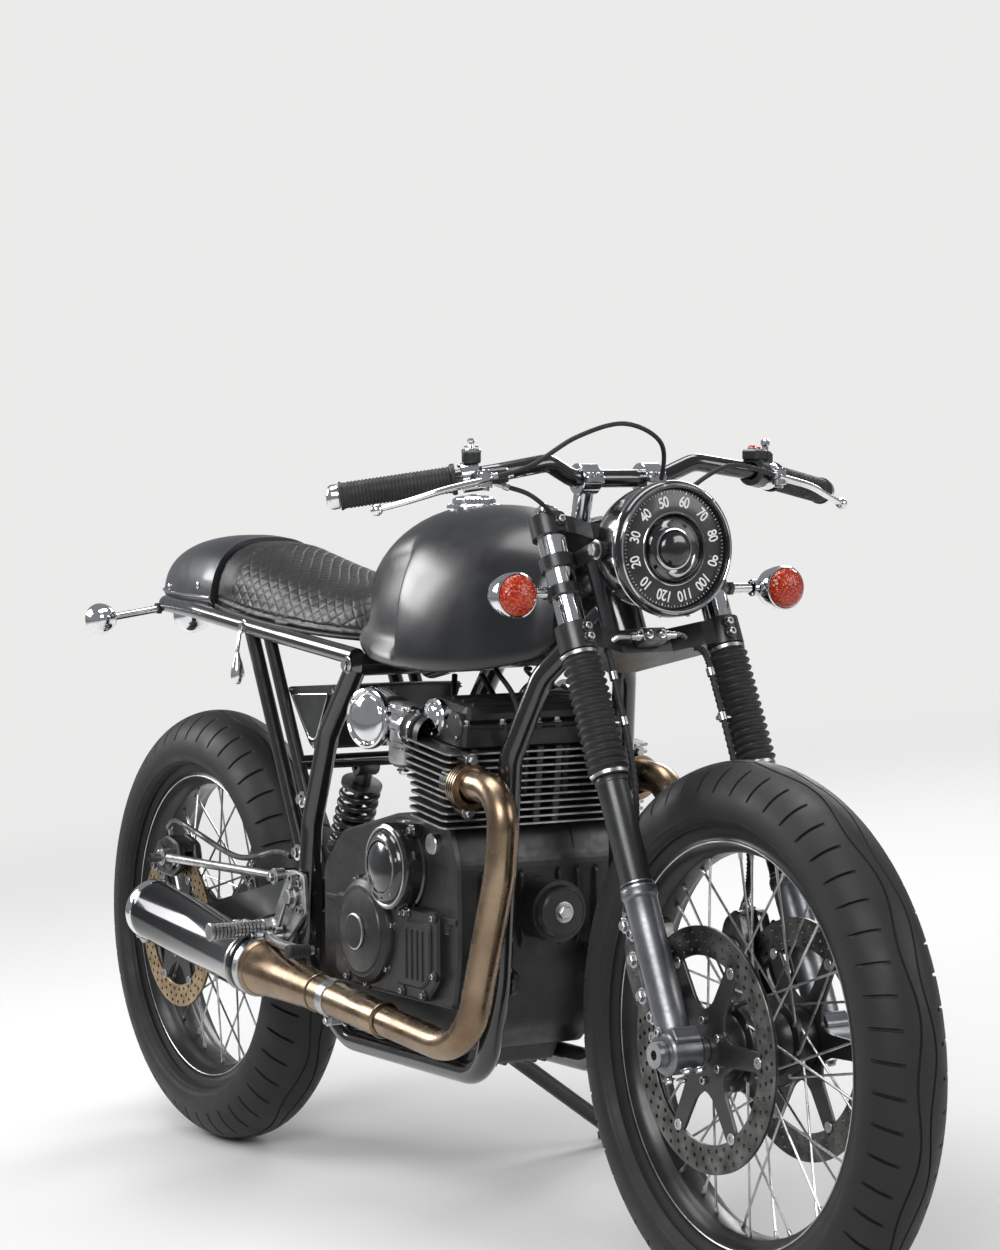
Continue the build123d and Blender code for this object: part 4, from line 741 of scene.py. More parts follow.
# Floor and soft studio light
def build_studio():
    size = 14.0
    verts = [(-size, -size, 0), (size, -size, 0), (size, size, 0), (-size, size, 0)]
    faces = [(0, 1, 2, 3)]
    mesh = bpy.data.meshes.new("floor")
    mesh.from_pydata(verts, [], faces)
    mesh.materials.append(FLOOR)
    floor = bpy.data.objects.new("floor", mesh)
    bpy.context.scene.collection.objects.link(floor)
    world = bpy.data.worlds.new("studio")
    bpy.context.scene.world = world
    world.use_nodes = True
    tree = world.node_tree
    light = tree.nodes["Background"]
    light.inputs["Color"].default_value = (0.86, 0.88, 0.92, 1)
    light.inputs["Strength"].default_value = 0.30
    seen = tree.nodes.new("ShaderNodeBackground")
    seen.inputs["Color"].default_value = (*BACKDROP, 1)
    seen.inputs["Strength"].default_value = 1.0
    ray = tree.nodes.new("ShaderNodeLightPath")
    pick = tree.nodes.new("ShaderNodeMixShader")
    tree.links.new(ray.outputs["Is Camera Ray"], pick.inputs[0])
    tree.links.new(light.outputs[0], pick.inputs[1])
    tree.links.new(seen.outputs[0], pick.inputs[2])
    tree.links.new(pick.outputs[0], tree.nodes["World Output"].inputs[0])
    lamps = [
        ("key", (2.6, -2.4, 2.9), (0.1, 0, 0.5), 2.2, 1.6, 105.0),
        ("fill", (3.4, 2.6, 1.9), (0.2, 0, 0.5), 2.2, 1.6, 55.0),
        ("top", (-0.4, 0.0, 3.6), (0.0, 0, 0.4), 3.0, 1.4, 85.0),
        ("back", (-3.0, -1.8, 2.2), (-0.2, 0, 0.5), 1.8, 1.2, 70.0),
        ("rim", (-2.0, 2.8, 2.0), (0.0, 0, 0.5), 1.8, 1.2, 50.0),
    ]
    for name, at, aim, width, height, power in lamps:
        data = bpy.data.lights.new(name, "AREA")
        data.shape = "RECTANGLE"
        data.size, data.size_y = width, height
        data.energy = power
        lamp = bpy.data.objects.new(name, data)
        bpy.context.scene.collection.objects.link(lamp)
        lamp.location = at
        lamp.rotation_euler = (Vector(aim) - Vector(at)).to_track_quat("-Z", "Y").to_euler()


# Each CAD node's finish. Most nodes are hidden by the pieces that stand in for them.
NODE_LOOKS = {
    "frame_main": GLOSS, "frame_cradle": GLOSS, "subframe": GLOSS, "swingarm": SATIN,
    "rear_axle_and_pivot": STEEL, "rear_caliper": DARK, "drive_chain": CHAIN, "crankcase": ENGINE,
    "cylinder_block": ENGINE, "cylinder_head": ENGINE, "crank_cover": GLOSS, "engine_covers": ENGINE,
    "oil_filter": ENGINE, "carburettors": ALLOY, "headers": BRONZE, "mufflers": SATIN, "fuel_tank": TANK,
    "filler_cap": CHROME, "seat_pad": LEATHER, "tail_cowl": COWL, "battery_box": SATIN, "rear_shock": DARK,
    "rear_lamps": CHROME, "rearsets": STEEL, "fork_clamps": SATIN, "fork_tubes": CHROME,
    "fork_gaiters": RUBBER, "fork_legs": LEG, "front_axle": STEEL, "front_calipers": DARK,
    "headlamp_shell": GLOSS, "headlamp_dial": DIAL, "handlebar": CHROME, "bar_clamps": CHROME,
    "grips": RUBBER, "levers": CHROME, "front_indicators": CHROME, "front_tyre": TYRE, "front_rim": RIM,
    "front_hub": RIM, "front_spokes": STEEL, "front_discs": DARK, "rear_tyre": TYRE, "rear_rim": RIM,
    "rear_hub": RIM, "rear_spokes": STEEL, "rear_disc": DISC, "rear_sprocket": DARK, "side_stand": SATIN,
}


def dress_nodes():
    for name, look in NODE_LOOKS.items():
        node = frame["nodes"][name]
        node.data.materials.clear()
        node.data.materials.append(look)


# Wheels
FRONT_BEAD, FRONT_WIDTH, FRONT_CROWN, FRONT_GROOVES = 241.3, 56.0, 52.0, 54
REAR_BEAD, REAR_WIDTH, REAR_CROWN, REAR_GROOVES = 228.6, 68.0, 62.0, 46
FRONT_FLANGE, FRONT_FLANGE_Y, REAR_FLANGE, REAR_FLANGE_Y = 52.0, 32.0, 58.0, 36.0
FRONT_DISC_Y, REAR_DISC_Y, DISC_WALL, DISC_HOLE = 68.0, -80.0, 4.6, 2.7
WALL_STEPS = 15
# Degrees from the middle of the crown, and the two of them that a waved groove runs between
TREAD_ROWS = [
    0, 3.5, 7.0, 8.2, 8.8, 11.2, 11.8, 13.5, 17, 21, 25, 28, 30.5, 36, 42, 48, 54, 60, 66, 70, 72.5, 75, 79,
    84, 90,
]
WAVE_ROWS = (8.8, 11.2)
WAVE_DEPTH, TREAD_DEPTH = 2.2, 4.2
# Each half pitch: shares of a pitch, and whether a shoulder groove is cut there
GROOVE_CUTS = [(0.0, 0), (0.09, 0), (0.115, 1), (0.185, 1), (0.21, 0), (0.33, 0), (0.42, 0)]


def tread_cut(angle):
    """Depth share of a shoulder groove along the crown."""
    if angle <= 28 or angle >= 72.5:
        return 0.0
    return min(1.0, (angle - 28) / 5, (72.5 - angle) / 4)


def build_tyre(name, axle, outer, crown, bead, width, repeats, body):
    """A tyre's skin: a grooved crown, bowed walls and an edge inside the rim."""
    middle = outer - crown
    step = bead + 14.0
    lip = width / 2 + 6.0
    span = middle - step
    wall = (span * span + (crown - lip) ** 2) / (2 * (crown - lip))
    sweep = atan2(span, lip - crown + wall)
    rows = [("crown", angle) for angle in TREAD_ROWS]
    rows += [("wall", sweep * k / WALL_STEPS) for k in range(1, WALL_STEPS + 1)]
    rows.append(("edge", 0.0))
    sides = [(-1, row) for row in reversed(rows)] + [(1, row) for row in rows[1:]]
    pitch = 2 * pi / repeats
    columns = [(half * 0.5 + at, half, deep) for half in (0, 1) for at, deep in GROOVE_CUTS]
    verts, faces = [], []
    count = len(columns) * repeats
    for k in range(repeats):
        for at, half, deep in columns:
            for side, (kind, value) in sides:
                turn = (k + at) * pitch
                if kind == "crown":
                    turn += 15.0 * (1 - value / 90) ** 1.2 / outer
                    wave = sin(turn * repeats / 4 + side * 0.9) * 5.5
                    near = max(0.0, 1 - abs(value - 10) / 12)
                    angle = radians(value + wave * near * (1 if value > 3 else value / 3))
                    depth = WAVE_DEPTH if value in WAVE_ROWS else 0.0
                    if deep and (side > 0) == (half == 0):
                        depth = max(depth, TREAD_DEPTH * tread_cut(value))
                    radius = crown - depth
                    r = middle + radius * cos(angle)
                    y = side * radius * sin(angle)
                elif kind == "wall":
                    share = value / sweep
                    ridge = 0.9 if 0.36 < share < 0.42 or 0.80 < share < 0.9 else 0.0
                    r = middle - (wall + ridge) * sin(value)
                    y = side * (crown - wall + (wall + ridge) * cos(value))
                else:
                    r = step - 3
                    y = side * (lip - 0.8)
                verts.append((axle[0] + r * sin(turn), axle[1] + y, axle[2] + r * cos(turn)))
    across = len(sides)
    for i in range(count):
        j = (i + 1) % count
        for k in range(across - 1):
            faces.append((i * across + k, i * across + k + 1, j * across + k + 1, j * across + k))
    piece = Piece()
    piece.add(verts, faces)
    inside = width / 2 + 3
    piece.turned(
        [(step - 3, -lip + 0.8), (bead + 4, -inside), (bead + 4, inside), (step - 3, lip - 0.8)], axle,
        SIDE, 96,
    )
    piece.make(name + "_tread", body, TYRE, (name,), "tyre", sharp=40)


def build_rim(name, axle, bead, width, body):
    """A turned rim, painted black with bright steel along its lips."""
    inside = width / 2
    out = inside + 5
    half = [
        (bead - 13, 0), (bead - 13, inside * 0.42), (bead - 11, inside * 0.50), (bead - 4, inside * 0.72),
        (bead - 0.2, inside * 0.80), (bead - 0.2, inside - 0.2), (bead + 12.5, inside - 0.2),
        (bead + 12.5, inside - 0.2),
    ]
    lip = [
        (bead + 13.8, inside + 1.0), (bead + 14.0, inside + 2.6), (bead + 13.6, inside + 4.2),
        (bead + 11.6, out), (bead + 10.8, out), (bead + 10.8, out),
    ]
    face = [
        (bead + 9, out - 1.6), (bead + 4, out - 2.4), (bead - 2, out - 1.6), (bead - 3.4, out - 0.4),
        (bead - 3.4, out - 0.4),
    ]
    line = [(bead - 4.2, out), (bead - 5.2, out - 0.6), (bead - 5.2, out - 0.6)]
    under = [
        (bead - 7, inside * 0.90), (bead - 12, inside * 0.62), (bead - 17, inside * 0.48),
        (bead - 18, inside * 0.40), (bead - 18, 0),
    ]
    strips = (
        (half, 0), ([half[-1]] + lip, 1), ([lip[-1]] + face, 0), ([face[-1]] + line, 1),
        ([line[-1]] + under, 0),
    )
    piece = Piece()
    for side in (1, -1):
        for profile, slot in strips:
            piece.turned([(r, h * side) for r, h in profile], axle, SIDE, 160, slot)
    piece.make(name + "_hoop", body, [RIM, STEEL], (name,), "black_alloy")


SPOKE_SETS = 18
SPOKE_SWEEP = 52.0
SPOKE_SPLAY = 3.4


def spoke_line(axle, bead, flange_radius, flange_y, side, k):
    """The two ends of a spoke, and 1 or -1 for the way that it leads."""
    lead = 1 if k % 2 else -1
    at_rim = radians(k * 20.0 + (10.0 if side < 0 else 0))
    at_hub = at_rim + radians(lead * SPOKE_SWEEP)
    inner, outer = flange_radius - 5, bead - 14
    hub = Vector((inner * cos(at_hub), side * flange_y + lead * SPOKE_SPLAY * side, inner * sin(at_hub)))
    rim = Vector((outer * cos(at_rim), side * 5 + lead * SPOKE_SPLAY * side * 0.8, outer * sin(at_rim)))
    return Vector(axle) + hub, Vector(axle) + rim, lead


def build_spokes(name, axle, bead, flange_radius, flange_y, body):
    wires, nipples = Piece(), Piece()
    for side in (1, -1):
        for k in range(SPOKE_SETS):
            hub, rim, lead = spoke_line(axle, bead, flange_radius, flange_y, side, k)
            along = (rim - hub).normalized()
            end = rim + along * -2
            outward = SIDE * (side * lead)
            line = [
                hub - outward * 6.5 + along, hub - outward * 1.5 + along * 0.6, hub + along * 2.6,
                hub + along * 7,
            ]
            line += [hub + (end - hub) * t for t in (0.12, 0.16, 0.84)] + [end]
            radii = [2.0, 2.0, 2.0, 2.0, 1.95, 1.55, 1.55, 1.9]
            wires.tube(line, radii, 8)
            wires.turned(
                [(0, -1.6), (2.6, -1.4), (3.6, 0), (3.6, 0.8), (2.0, 1.2)], hub - outward * 7.2, outward,
                10,
            )
            foot = rim + along * 3
            nipples.turned(
                [(3.2, 4), (3.2, 1), (3.4, 0), (3.0, -6), (2.7, -14), (2.2, -15.5), (1.8, -15.6)], foot,
                along, 10,
            )
    wires.make(name + "_wires", body, STEEL, (name,), "steel")
    nipples.make(name + "_nipples", body, STEEL, (), "steel")


def hole_cell(piece, origin, y, r0, r1, a0, a1):
    """One cell of a drilled disc: a patch with a round hole through it."""
    def at(r, a, h):
        return Vector(origin) + Vector((r * cos(a), h, r * sin(a)))
    mid_r, mid_a = (r0 + r1) / 2, (a0 + a1) / 2
    corners = [(r0, a0), (r0, a1), (r1, a1), (r1, a0)]
    border = [
        (ra + (rb - ra) * k / 3, aa + (ab - aa) * k / 3)
        for (ra, aa), (rb, ab) in zip(corners, corners[1:] + corners[:1])
        for k in range(3)
    ]
    ring = []
    for r, a in border:
        turn = atan2((a - mid_a) * mid_r, r - mid_r)
        ring.append((mid_r + DISC_HOLE * cos(turn), mid_a + DISC_HOLE * sin(turn) / mid_r))
    verts, faces = [], []
    for h in (y - DISC_WALL / 2, y + DISC_WALL / 2):
        verts += [at(r, a, h) for r, a in border]
        verts += [at(r, a, h) for r, a in ring]
    for k in range(12):
        n = (k + 1) % 12
        faces.append((k, n, 12 + n, 12 + k))
        faces.append((24 + n, 24 + k, 36 + k, 36 + n))
        faces.append((12 + k, 12 + n, 36 + n, 36 + k))
    piece.add(verts, faces, 0, False)


def build_disc(name, node, axle, y, radius, band, sectors, body, look, carrier_in):
    """A drilled brake disc on a cast carrier with floating buttons."""
    piece = Piece()
    rows, arms, margin = 3, 6, 2.0
    outward = 1 if y > 0 else -1
    r_in = radius - band
    height = (band - 2 * margin) / rows
    step = 2 * pi / sectors
    for j in range(rows):
        for i in range(sectors):
            start = (i + j / 3) * step
            low = r_in + margin + j * height
            hole_cell(piece, axle, y, low, r_in + margin + (j + 1) * height, start, start + step)
    low, high = y - DISC_WALL / 2, y + DISC_WALL / 2
    inner = [
        (r_in + margin, low), (r_in + 0.5, low), (r_in, low + 0.5), (r_in, high - 0.5), (r_in + 0.5, high),
        (r_in + margin, high),
    ]
    outer = [
        (radius - margin, high), (radius - 0.5, high), (radius, high - 0.5), (radius, low + 0.5),
        (radius - 0.5, low), (radius - margin, low),
    ]
    for edge in (inner, outer):
        piece.turned(edge, axle, SIDE, sectors * 3)
    piece.make(name + "_band", body, look, (node,), "disc_bronze", sharp=30)
    carrier = Piece()
    outline = []
    root = carrier_in + 16
    gap = pi / arms
    for base in turns(arms):
        for r, turn in (
            (r_in + 4, base - 0.10), (r_in + 4, base + 0.10), (root * 1.25, base + 0.24),
            (root, base + gap),
            (root * 1.25, base + 2 * gap - 0.24),
        ):
            outline.append((r * cos(turn), r * sin(turn)))
    outline = rounded(outline, 7, 3)
    carrier.plate(outline, Vector(axle) + SIDE * (y - 2.2), SIDE, 4.4, FORWARD, 0.8)
    for base in turns(arms):
        at = Vector(axle) + Vector((r_in * cos(base), y - outward * 3.6, -r_in * sin(base)))
        carrier.turned(
            [(0, 0), (6.5, 0), (7, 0.6), (7, 6.4), (6.5, 7.2), (3.4, 7.2), (3.4, 6.4), (0, 6.4)], at,
            SIDE * outward, 20, 1,
        )
        bolt = Vector(axle) + Vector(
            ((carrier_in + 5) * cos(base + 0.52), y + outward * 2.2, -(carrier_in + 5) * sin(base + 0.52))
        )
        carrier.screw(bolt, SIDE * outward, 5.0, 4.0, 1)
    carrier.make(name + "_carrier", body, [RIM, STEEL], (), "black_alloy", sharp=30)


def build_hub(name, axle, core, flange_radius, flange_y, left_face, right_face, body):
    piece = Piece()
    rows = [
        (10.5, -right_face + 0.5), (core + 4, -right_face + 0.5), (core + 8, -right_face + 2),
        (core + 8, -flange_y - 9), (core + 10, -flange_y - 6), (flange_radius - 13, -flange_y - 4.6),
        (flange_radius - 1.4, -flange_y - 4.4), (flange_radius, -flange_y - 3),
        (flange_radius, -flange_y + 3), (flange_radius - 1.4, -flange_y + 4.4),
        (flange_radius - 13, -flange_y + 4.6), (core + 6, -flange_y + 9), (core + 1, -flange_y + 17),
        (core, -flange_y + 22),
    ]
    left = [(r, -h) for r, h in reversed(rows)]
    left[-1] = (10.5, left_face - 0.5)
    left[-2] = (core + 4, left_face - 0.5)
    left[-3] = (core + 8, left_face - 2)
    piece.turned(rows + left, axle, SIDE, 72)
    for side in (1, -1):
        for k in range(SPOKE_SETS):
            hub = spoke_line(axle, REAR_BEAD, flange_radius, flange_y, side, k)[0]
            out = Vector((hub[0], axle[1] + side * (flange_y + 4.3), hub[2]))
            piece.turned([(3.6, 0), (3.4, 0.5), (2.4, 0.3), (0, 0.2)], out, SIDE * side, 12, 1)
    piece.make(name + "_casting", body, [RIM, DARK], (name,), "black_alloy", sharp=38)


def toothed(radius, root, teeth):
    """The outline of a sprocket."""
    outline = []
    for base in turns(teeth):
        step = 2 * pi / teeth
        for share, r in (
            (-0.13, radius - 1.2), (-0.05, radius), (0.05, radius), (0.13, radius - 1.2),
            (0.30, root + 1.4), (0.42, root), (0.58, root), (0.70, root + 1.4),
        ):
            outline.append((r * cos(base + share * step), r * sin(base + share * step)))
    return outline


def ringed_plate(piece, origin, axis, outline, hole, thickness, slot=0):
    """A plate with a toothed outline and a round hole in the middle."""
    u, v, w = frame_of(axis, FORWARD)
    origin = Vector(origin)
    count = len(outline)
    verts, faces = [], []
    for level in (0, thickness):
        verts += [origin + u * a + v * b + w * level for a, b in outline]
        for a, b in outline:
            turn = atan2(b, a)
            verts.append(origin + (u * cos(turn) + v * sin(turn)) * hole + w * level)
    for k in range(count):
        n = (k + 1) % count
        c2 = 2 * count
        faces.append((k, n, count + n, count + k))
        faces.append((c2 + n, c2 + k, c2 + count + k, c2 + count + n))
        faces.append((k, n, c2 + n, c2 + k))
        faces.append((count + n, count + k, c2 + count + k, c2 + count + n))
    piece.add(verts, faces, slot, False)


def build_wheels():
    build_tyre(
        "front_tyre", FRONT_AXLE, FRONT_RADIUS, FRONT_CROWN, FRONT_BEAD, FRONT_WIDTH, FRONT_GROOVES,
        "front_wheel",
    )
    build_tyre(
        "rear_tyre", REAR_AXLE, REAR_RADIUS, REAR_CROWN, REAR_BEAD, REAR_WIDTH, REAR_GROOVES, "rear_wheel",
    )
    build_rim("front_rim", FRONT_AXLE, FRONT_BEAD, FRONT_WIDTH, "front_wheel")
    build_rim("rear_rim", REAR_AXLE, REAR_BEAD, REAR_WIDTH, "rear_wheel")
    build_spokes("front_spokes", FRONT_AXLE, FRONT_BEAD, FRONT_FLANGE, FRONT_FLANGE_Y, "front_wheel")
    build_spokes("rear_spokes", REAR_AXLE, REAR_BEAD, REAR_FLANGE, REAR_FLANGE_Y, "rear_wheel")
    build_hub("front_hub", FRONT_AXLE, 30.0, FRONT_FLANGE, FRONT_FLANGE_Y, 65.5, 65.5, "front_wheel")
    build_hub("rear_hub", REAR_AXLE, 34.0, REAR_FLANGE, REAR_FLANGE_Y, 77.0, 77.5, "rear_wheel")
    for side, label in ((1, "left"), (-1, "right")):
        build_disc(
            "front_disc_" + label, "front_discs", FRONT_AXLE, side * FRONT_DISC_Y, 143.0, 34.0, 44,
            "front_wheel", DARK, 30,
        )
    build_disc("rear_disc", "rear_disc", REAR_AXLE, REAR_DISC_Y, 118.0, 32.0, 36, "rear_wheel", DISC, 34)
    sprocket = Piece()
    ringed_plate(sprocket, REAR_AXLE + SIDE * 77.2, SIDE, toothed(87.8, 81.0, 38), 60, 5.6)
    arms = []
    for base in turns(6):
        for r, turn in ((62, base - 0.16), (62, base + 0.16), (46, base + pi / 6)):
            arms.append((r * cos(turn), r * sin(turn)))
    sprocket.plate(rounded(arms, 6, 3), REAR_AXLE + SIDE * 77.4, SIDE, 5.2, FORWARD, 0.6)
    for base in turns(6):
        at = REAR_AXLE + Vector((40 * cos(base), 82.4, 40 * sin(base)))
        sprocket.bolt(at, SIDE, 6.5, 5, 1)
    sprocket.make(
        "rear_sprocket_plate", "rear_wheel", [DARK, STEEL], ("rear_sprocket",), "dark_steel", sharp=30,
    )


# Drive chain, as links along the run round both sprockets
CHAIN_Y, CHAIN_PITCH, SPROCKET_X, SPROCKET_Z = 80.0, 15.875, 566, 425


def chain_run(big, small):
    """Points along the chain's line: two straight runs and two arcs."""
    bx, bz, br = big
    sx, sz, sr = small
    span = hypot(sx - bx, sz - bz)
    along = Vector(((sx - bx) / span, (sz - bz) / span))
    across = Vector((-along.y, along.x))
    lean = (br - sr) / span
    rise = sqrt(1 - lean * lean)
    top = along * lean + across * rise
    low = along * lean - across * rise
    b, s = Vector((bx, bz)), Vector((sx, sz))
    line = []

    def arc(centre, radius, first, last, turns):
        a0 = atan2(first.y, first.x)
        a1 = atan2(last.y, last.x)
        while a1 > a0:
            a1 -= 2 * pi
        for k in range(turns + 1):
            a = a0 + (a1 - a0) * k / turns
            line.append(centre + Vector((cos(a), sin(a))) * radius)

    arc(s, sr, top, low, 40)
    arc(b, br, low, top, 80)
    line.append(line[0])
    return line


def spaced(line, lengths, count):
    """Equal steps along a closed line."""
    made, i, passed = [], 0, 0.0
    for k in range(count):
        goal = sum(lengths) * k / count
        while passed + lengths[i] < goal:
            passed += lengths[i]
            i += 1
        made.append(line[i].lerp(line[i + 1], (goal - passed) / lengths[i]))
    return made


def build_chain():
    line = chain_run((0, REAR_RADIUS, 96.5), (SPROCKET_X, SPROCKET_Z, 42.8))
    lengths = [(b - a).length for a, b in zip(line, line[1:])]
    count = int(round(sum(lengths) / CHAIN_PITCH / 2)) * 2
    pins = spaced(line, lengths, count)
    plates = Piece()
    for k in range(count):
        a, b = pins[k], pins[(k + 1) % count]
        start = Vector((a.x, CHAIN_Y, a.y))
        end = Vector((b.x, CHAIN_Y, b.y))
        along = (end - start).normalized()
        gap = (end - start).length
        outline = []
        for middle, half, waist in ((0, 0, 4.5), (gap, 180, -4.5)):
            for turn in range(-3, 4):
                angle = radians(turn * 28 + half)
                outline.append((middle - 5.9 * cos(angle), 5.9 * sin(angle)))
            outline.append((gap / 2, waist))
        offset = 6.3 if k % 2 else 4.2
        for side in (1, -1):
            axis = SIDE * side
            plates.plate(outline, start + SIDE * (side * offset) - axis * 0.8, axis, 1.6, along, 0.3)
        plates.turned(
            [(0, -7.9), (2.4, -7.9), (2.6, -7.6), (2.6, 7.6), (2.4, 7.9), (0, 7.9)], start, SIDE, 10, 1,
        )
        plates.turned([(4.8, -3.2), (4.8, 3.2)], start, SIDE, 12, 1)
    small = Vector((SPROCKET_X, CHAIN_Y - 2.8, SPROCKET_Z))
    ringed_plate(plates, small, SIDE, toothed(41.5, 37.5, 17), 16, 5.6, 1)
    plates.turned([(0, 10), (15, 10), (17, 8), (17, -20)], small, SIDE, 32, 1)
    plates.make("drive_chain_links", "chassis", [CHAIN, STEEL], ("drive_chain",), "dark_steel", sharp=30)


# Fork
LEG_FOOT, SLEEVE_TOP, LOWER_CLAMP, TOP_CLAMP, FORK_TOP = -16.0, 336.0, 498.0, 648.0, 682.0


def leg_at(forward, side, height):
    """A point measured from a fork leg's own axis."""
    return fork_at(FORK_OFFSET + forward, side * LEG_Y, height)


def build_fork():
    legs, trim, caps, gaiters = Piece(), Piece(), Piece(), Piece()
    for side in (1, -1):
        outward = SIDE * side
        foot = leg_at(0, side, 0)
        rows = [
            (0, LEG_FOOT), (12, LEG_FOOT), (17, LEG_FOOT + 2), (20, LEG_FOOT + 6), (20, 150), (20.0, 184),
            (20.6, 186), (22, 188), (22, 188), (22, 196), (21.4, 197), (19.2, 197.2),
        ]
        legs.turned(rows, foot, STEER_UP, 56)
        sleeve = [
            (19.2, 197.2), (19, 198), (19, SLEEVE_TOP - 8), (20.2, SLEEVE_TOP - 7), (20.2, SLEEVE_TOP - 2),
            (19.4, SLEEVE_TOP - 0.4), (17.6, SLEEVE_TOP - 0.2),
        ]
        legs.turned(sleeve, foot, STEER_UP, 56, 1)
        trim.turned([(19.4, 197.0), (20.9, 197.4), (20.9, 199.4), (19.2, 199.8)], foot, STEER_UP, 56)
        trim.turned([(19.0, 203.0), (19.9, 203.2), (19.9, 204.6), (19.0, 204.8)], foot, STEER_UP, 56)
        axle = Vector((FRONT_AXLE[0], side * LEG_Y, FRONT_AXLE[2]))
        boss = [
            (10.3, -21.6), (20, -21.8), (23, -20.8), (25, -18), (25, 18), (23, 20.8), (20, 21.8),
            (10.3, 21.6),
        ]
        legs.turned(boss, axle, SIDE, 48)
        cap = [(-26, -4), (26, -4), (28, -9), (24, -25), (-24, -25), (-28, -9)]
        legs.plate(rounded(cap, 5), axle - SIDE * 17, SIDE, 34, STEER_FORWARD, 1.2)
        for at in (-20, 20):
            for row in (-9, 9):
                spot = axle + STEER_FORWARD * at + SIDE * row - STEER_UP * 25
                trim.bolt(spot, -STEER_UP, 5.0, 4.0)
        for at in (78.0, 122.0):
            seat = leg_at(-28, side, at)
            legs.turned([(0, 11), (8.6, 11), (10, 9), (10, -18), (9, -20.4), (0, -20.4)], seat, outward, 28)
            legs.tube([leg_at(-8, side, at), seat], 9.5, 20)
            trim.bolt(seat + outward * 11, outward, 6.5, 5.5)
        legs.tube([leg_at(-28, side, 78), leg_at(-28, side, 122)], 7.5, 16)
        drain = leg_at(0, side, 26) + outward * 19.4
        trim.bolt(drain, outward, 4.4, 3.0, socket=True)
        # The top caps
        caps.turned(
            [(17.4, 0), (17.4, 3), (16, 5), (13.6, 5.4), (13.6, 5.4), (13.6, 5.6)],
            leg_at(0, side, FORK_TOP - 6.4), STEER_UP, 40,
        )
        caps.bolt(leg_at(0, side, FORK_TOP - 1.6), STEER_UP, 11.0, 6.0, washer=False)
        caps.turned([(4.5, 0), (4.5, 4), (3.8, 5), (0, 5)], leg_at(0, side, FORK_TOP + 3.6), STEER_UP, 20)
        # Ribbed gaiters with a bright band at the foot
        low, high = SLEEVE_TOP + 0.6, LOWER_CLAMP - 2.6
        ribs = 15
        pitch = (high - low - 14) / ribs
        rows = [(17.9, low), (21.4, low), (21.6, low + 7.0)]
        for k in range(ribs):
            base = low + 7 + k * pitch
            top = 25.0 - 0.8 * (k / ribs)
            rows += [
                (20.6, base + pitch * 0.06), (21.4, base + pitch * 0.24), (top - 0.5, base + pitch * 0.40),
                (top, base + pitch * 0.50), (top - 0.5, base + pitch * 0.60), (21.4, base + pitch * 0.78),
            ]
        rows += [(20.6, high - 7), (21.4, high - 6.6), (21.4, high), (17.9, high)]
        gaiters.turned(rows, foot, STEER_UP, 48)
        for at in (low + 1.0, high - 6.0):
            trim.turned(
                [(21.3, at), (22.5, at + 0.3), (22.5, at + 4.4), (21.3, at + 4.8)], foot, STEER_UP, 48,
            )
            screw = leg_at(0, side, at + 2.3) - STEER_FORWARD * 4 + outward * 21
            trim.turned([(0, -3), (2.6, -3), (2.6, 5), (0, 5)], screw, STEER_FORWARD, 10)
    legs.make("fork_lower_legs", "steering", [LEG, SATIN], ("fork_legs",), "leg_grey", sharp=32)
    trim.make("fork_trim", "steering", STEEL, (), "steel", sharp=30)
    caps.make("fork_top_caps", "steering", CHROME, (), "chrome", sharp=30)
    gaiters.make("fork_bellows", "steering", RUBBER, ("fork_gaiters",), "rubber", sharp=50)
    # Clamp bolts, stem nut and the small bright bits at the middle of the lower clamp
    bits = Piece()
    for side in (1, -1):
        for height, wall in ((LOWER_CLAMP, 30.0), (TOP_CLAMP, 22.0)):
            for share in ((0.28, 0.72) if wall > 25 else (0.5,)):
                at = fork_at(FORK_OFFSET + 20, side * (LEG_Y - 4), height + wall * share)
                bits.turned([(7.5, -2), (7.5, 5), (6.5, 6), (0, 6)], at, STEER_FORWARD, 24, 1)
                bits.screw(at + STEER_FORWARD * 6, STEER_FORWARD, 4.6, 4.0)
    bits.bolt(fork_at(0, 0, TOP_CLAMP + 22 + 12), STEER_UP, 15, 8)
    bits.turned(
        [(19, 0), (19, 4), (17.5, 5.5), (14, 5.5)], fork_at(0, 0, TOP_CLAMP + 22 + 0.5), STEER_UP, 36,
    )
    bits.make("clamp_bolts", "steering", [STEEL, SATIN], (), "steel", sharp=30)


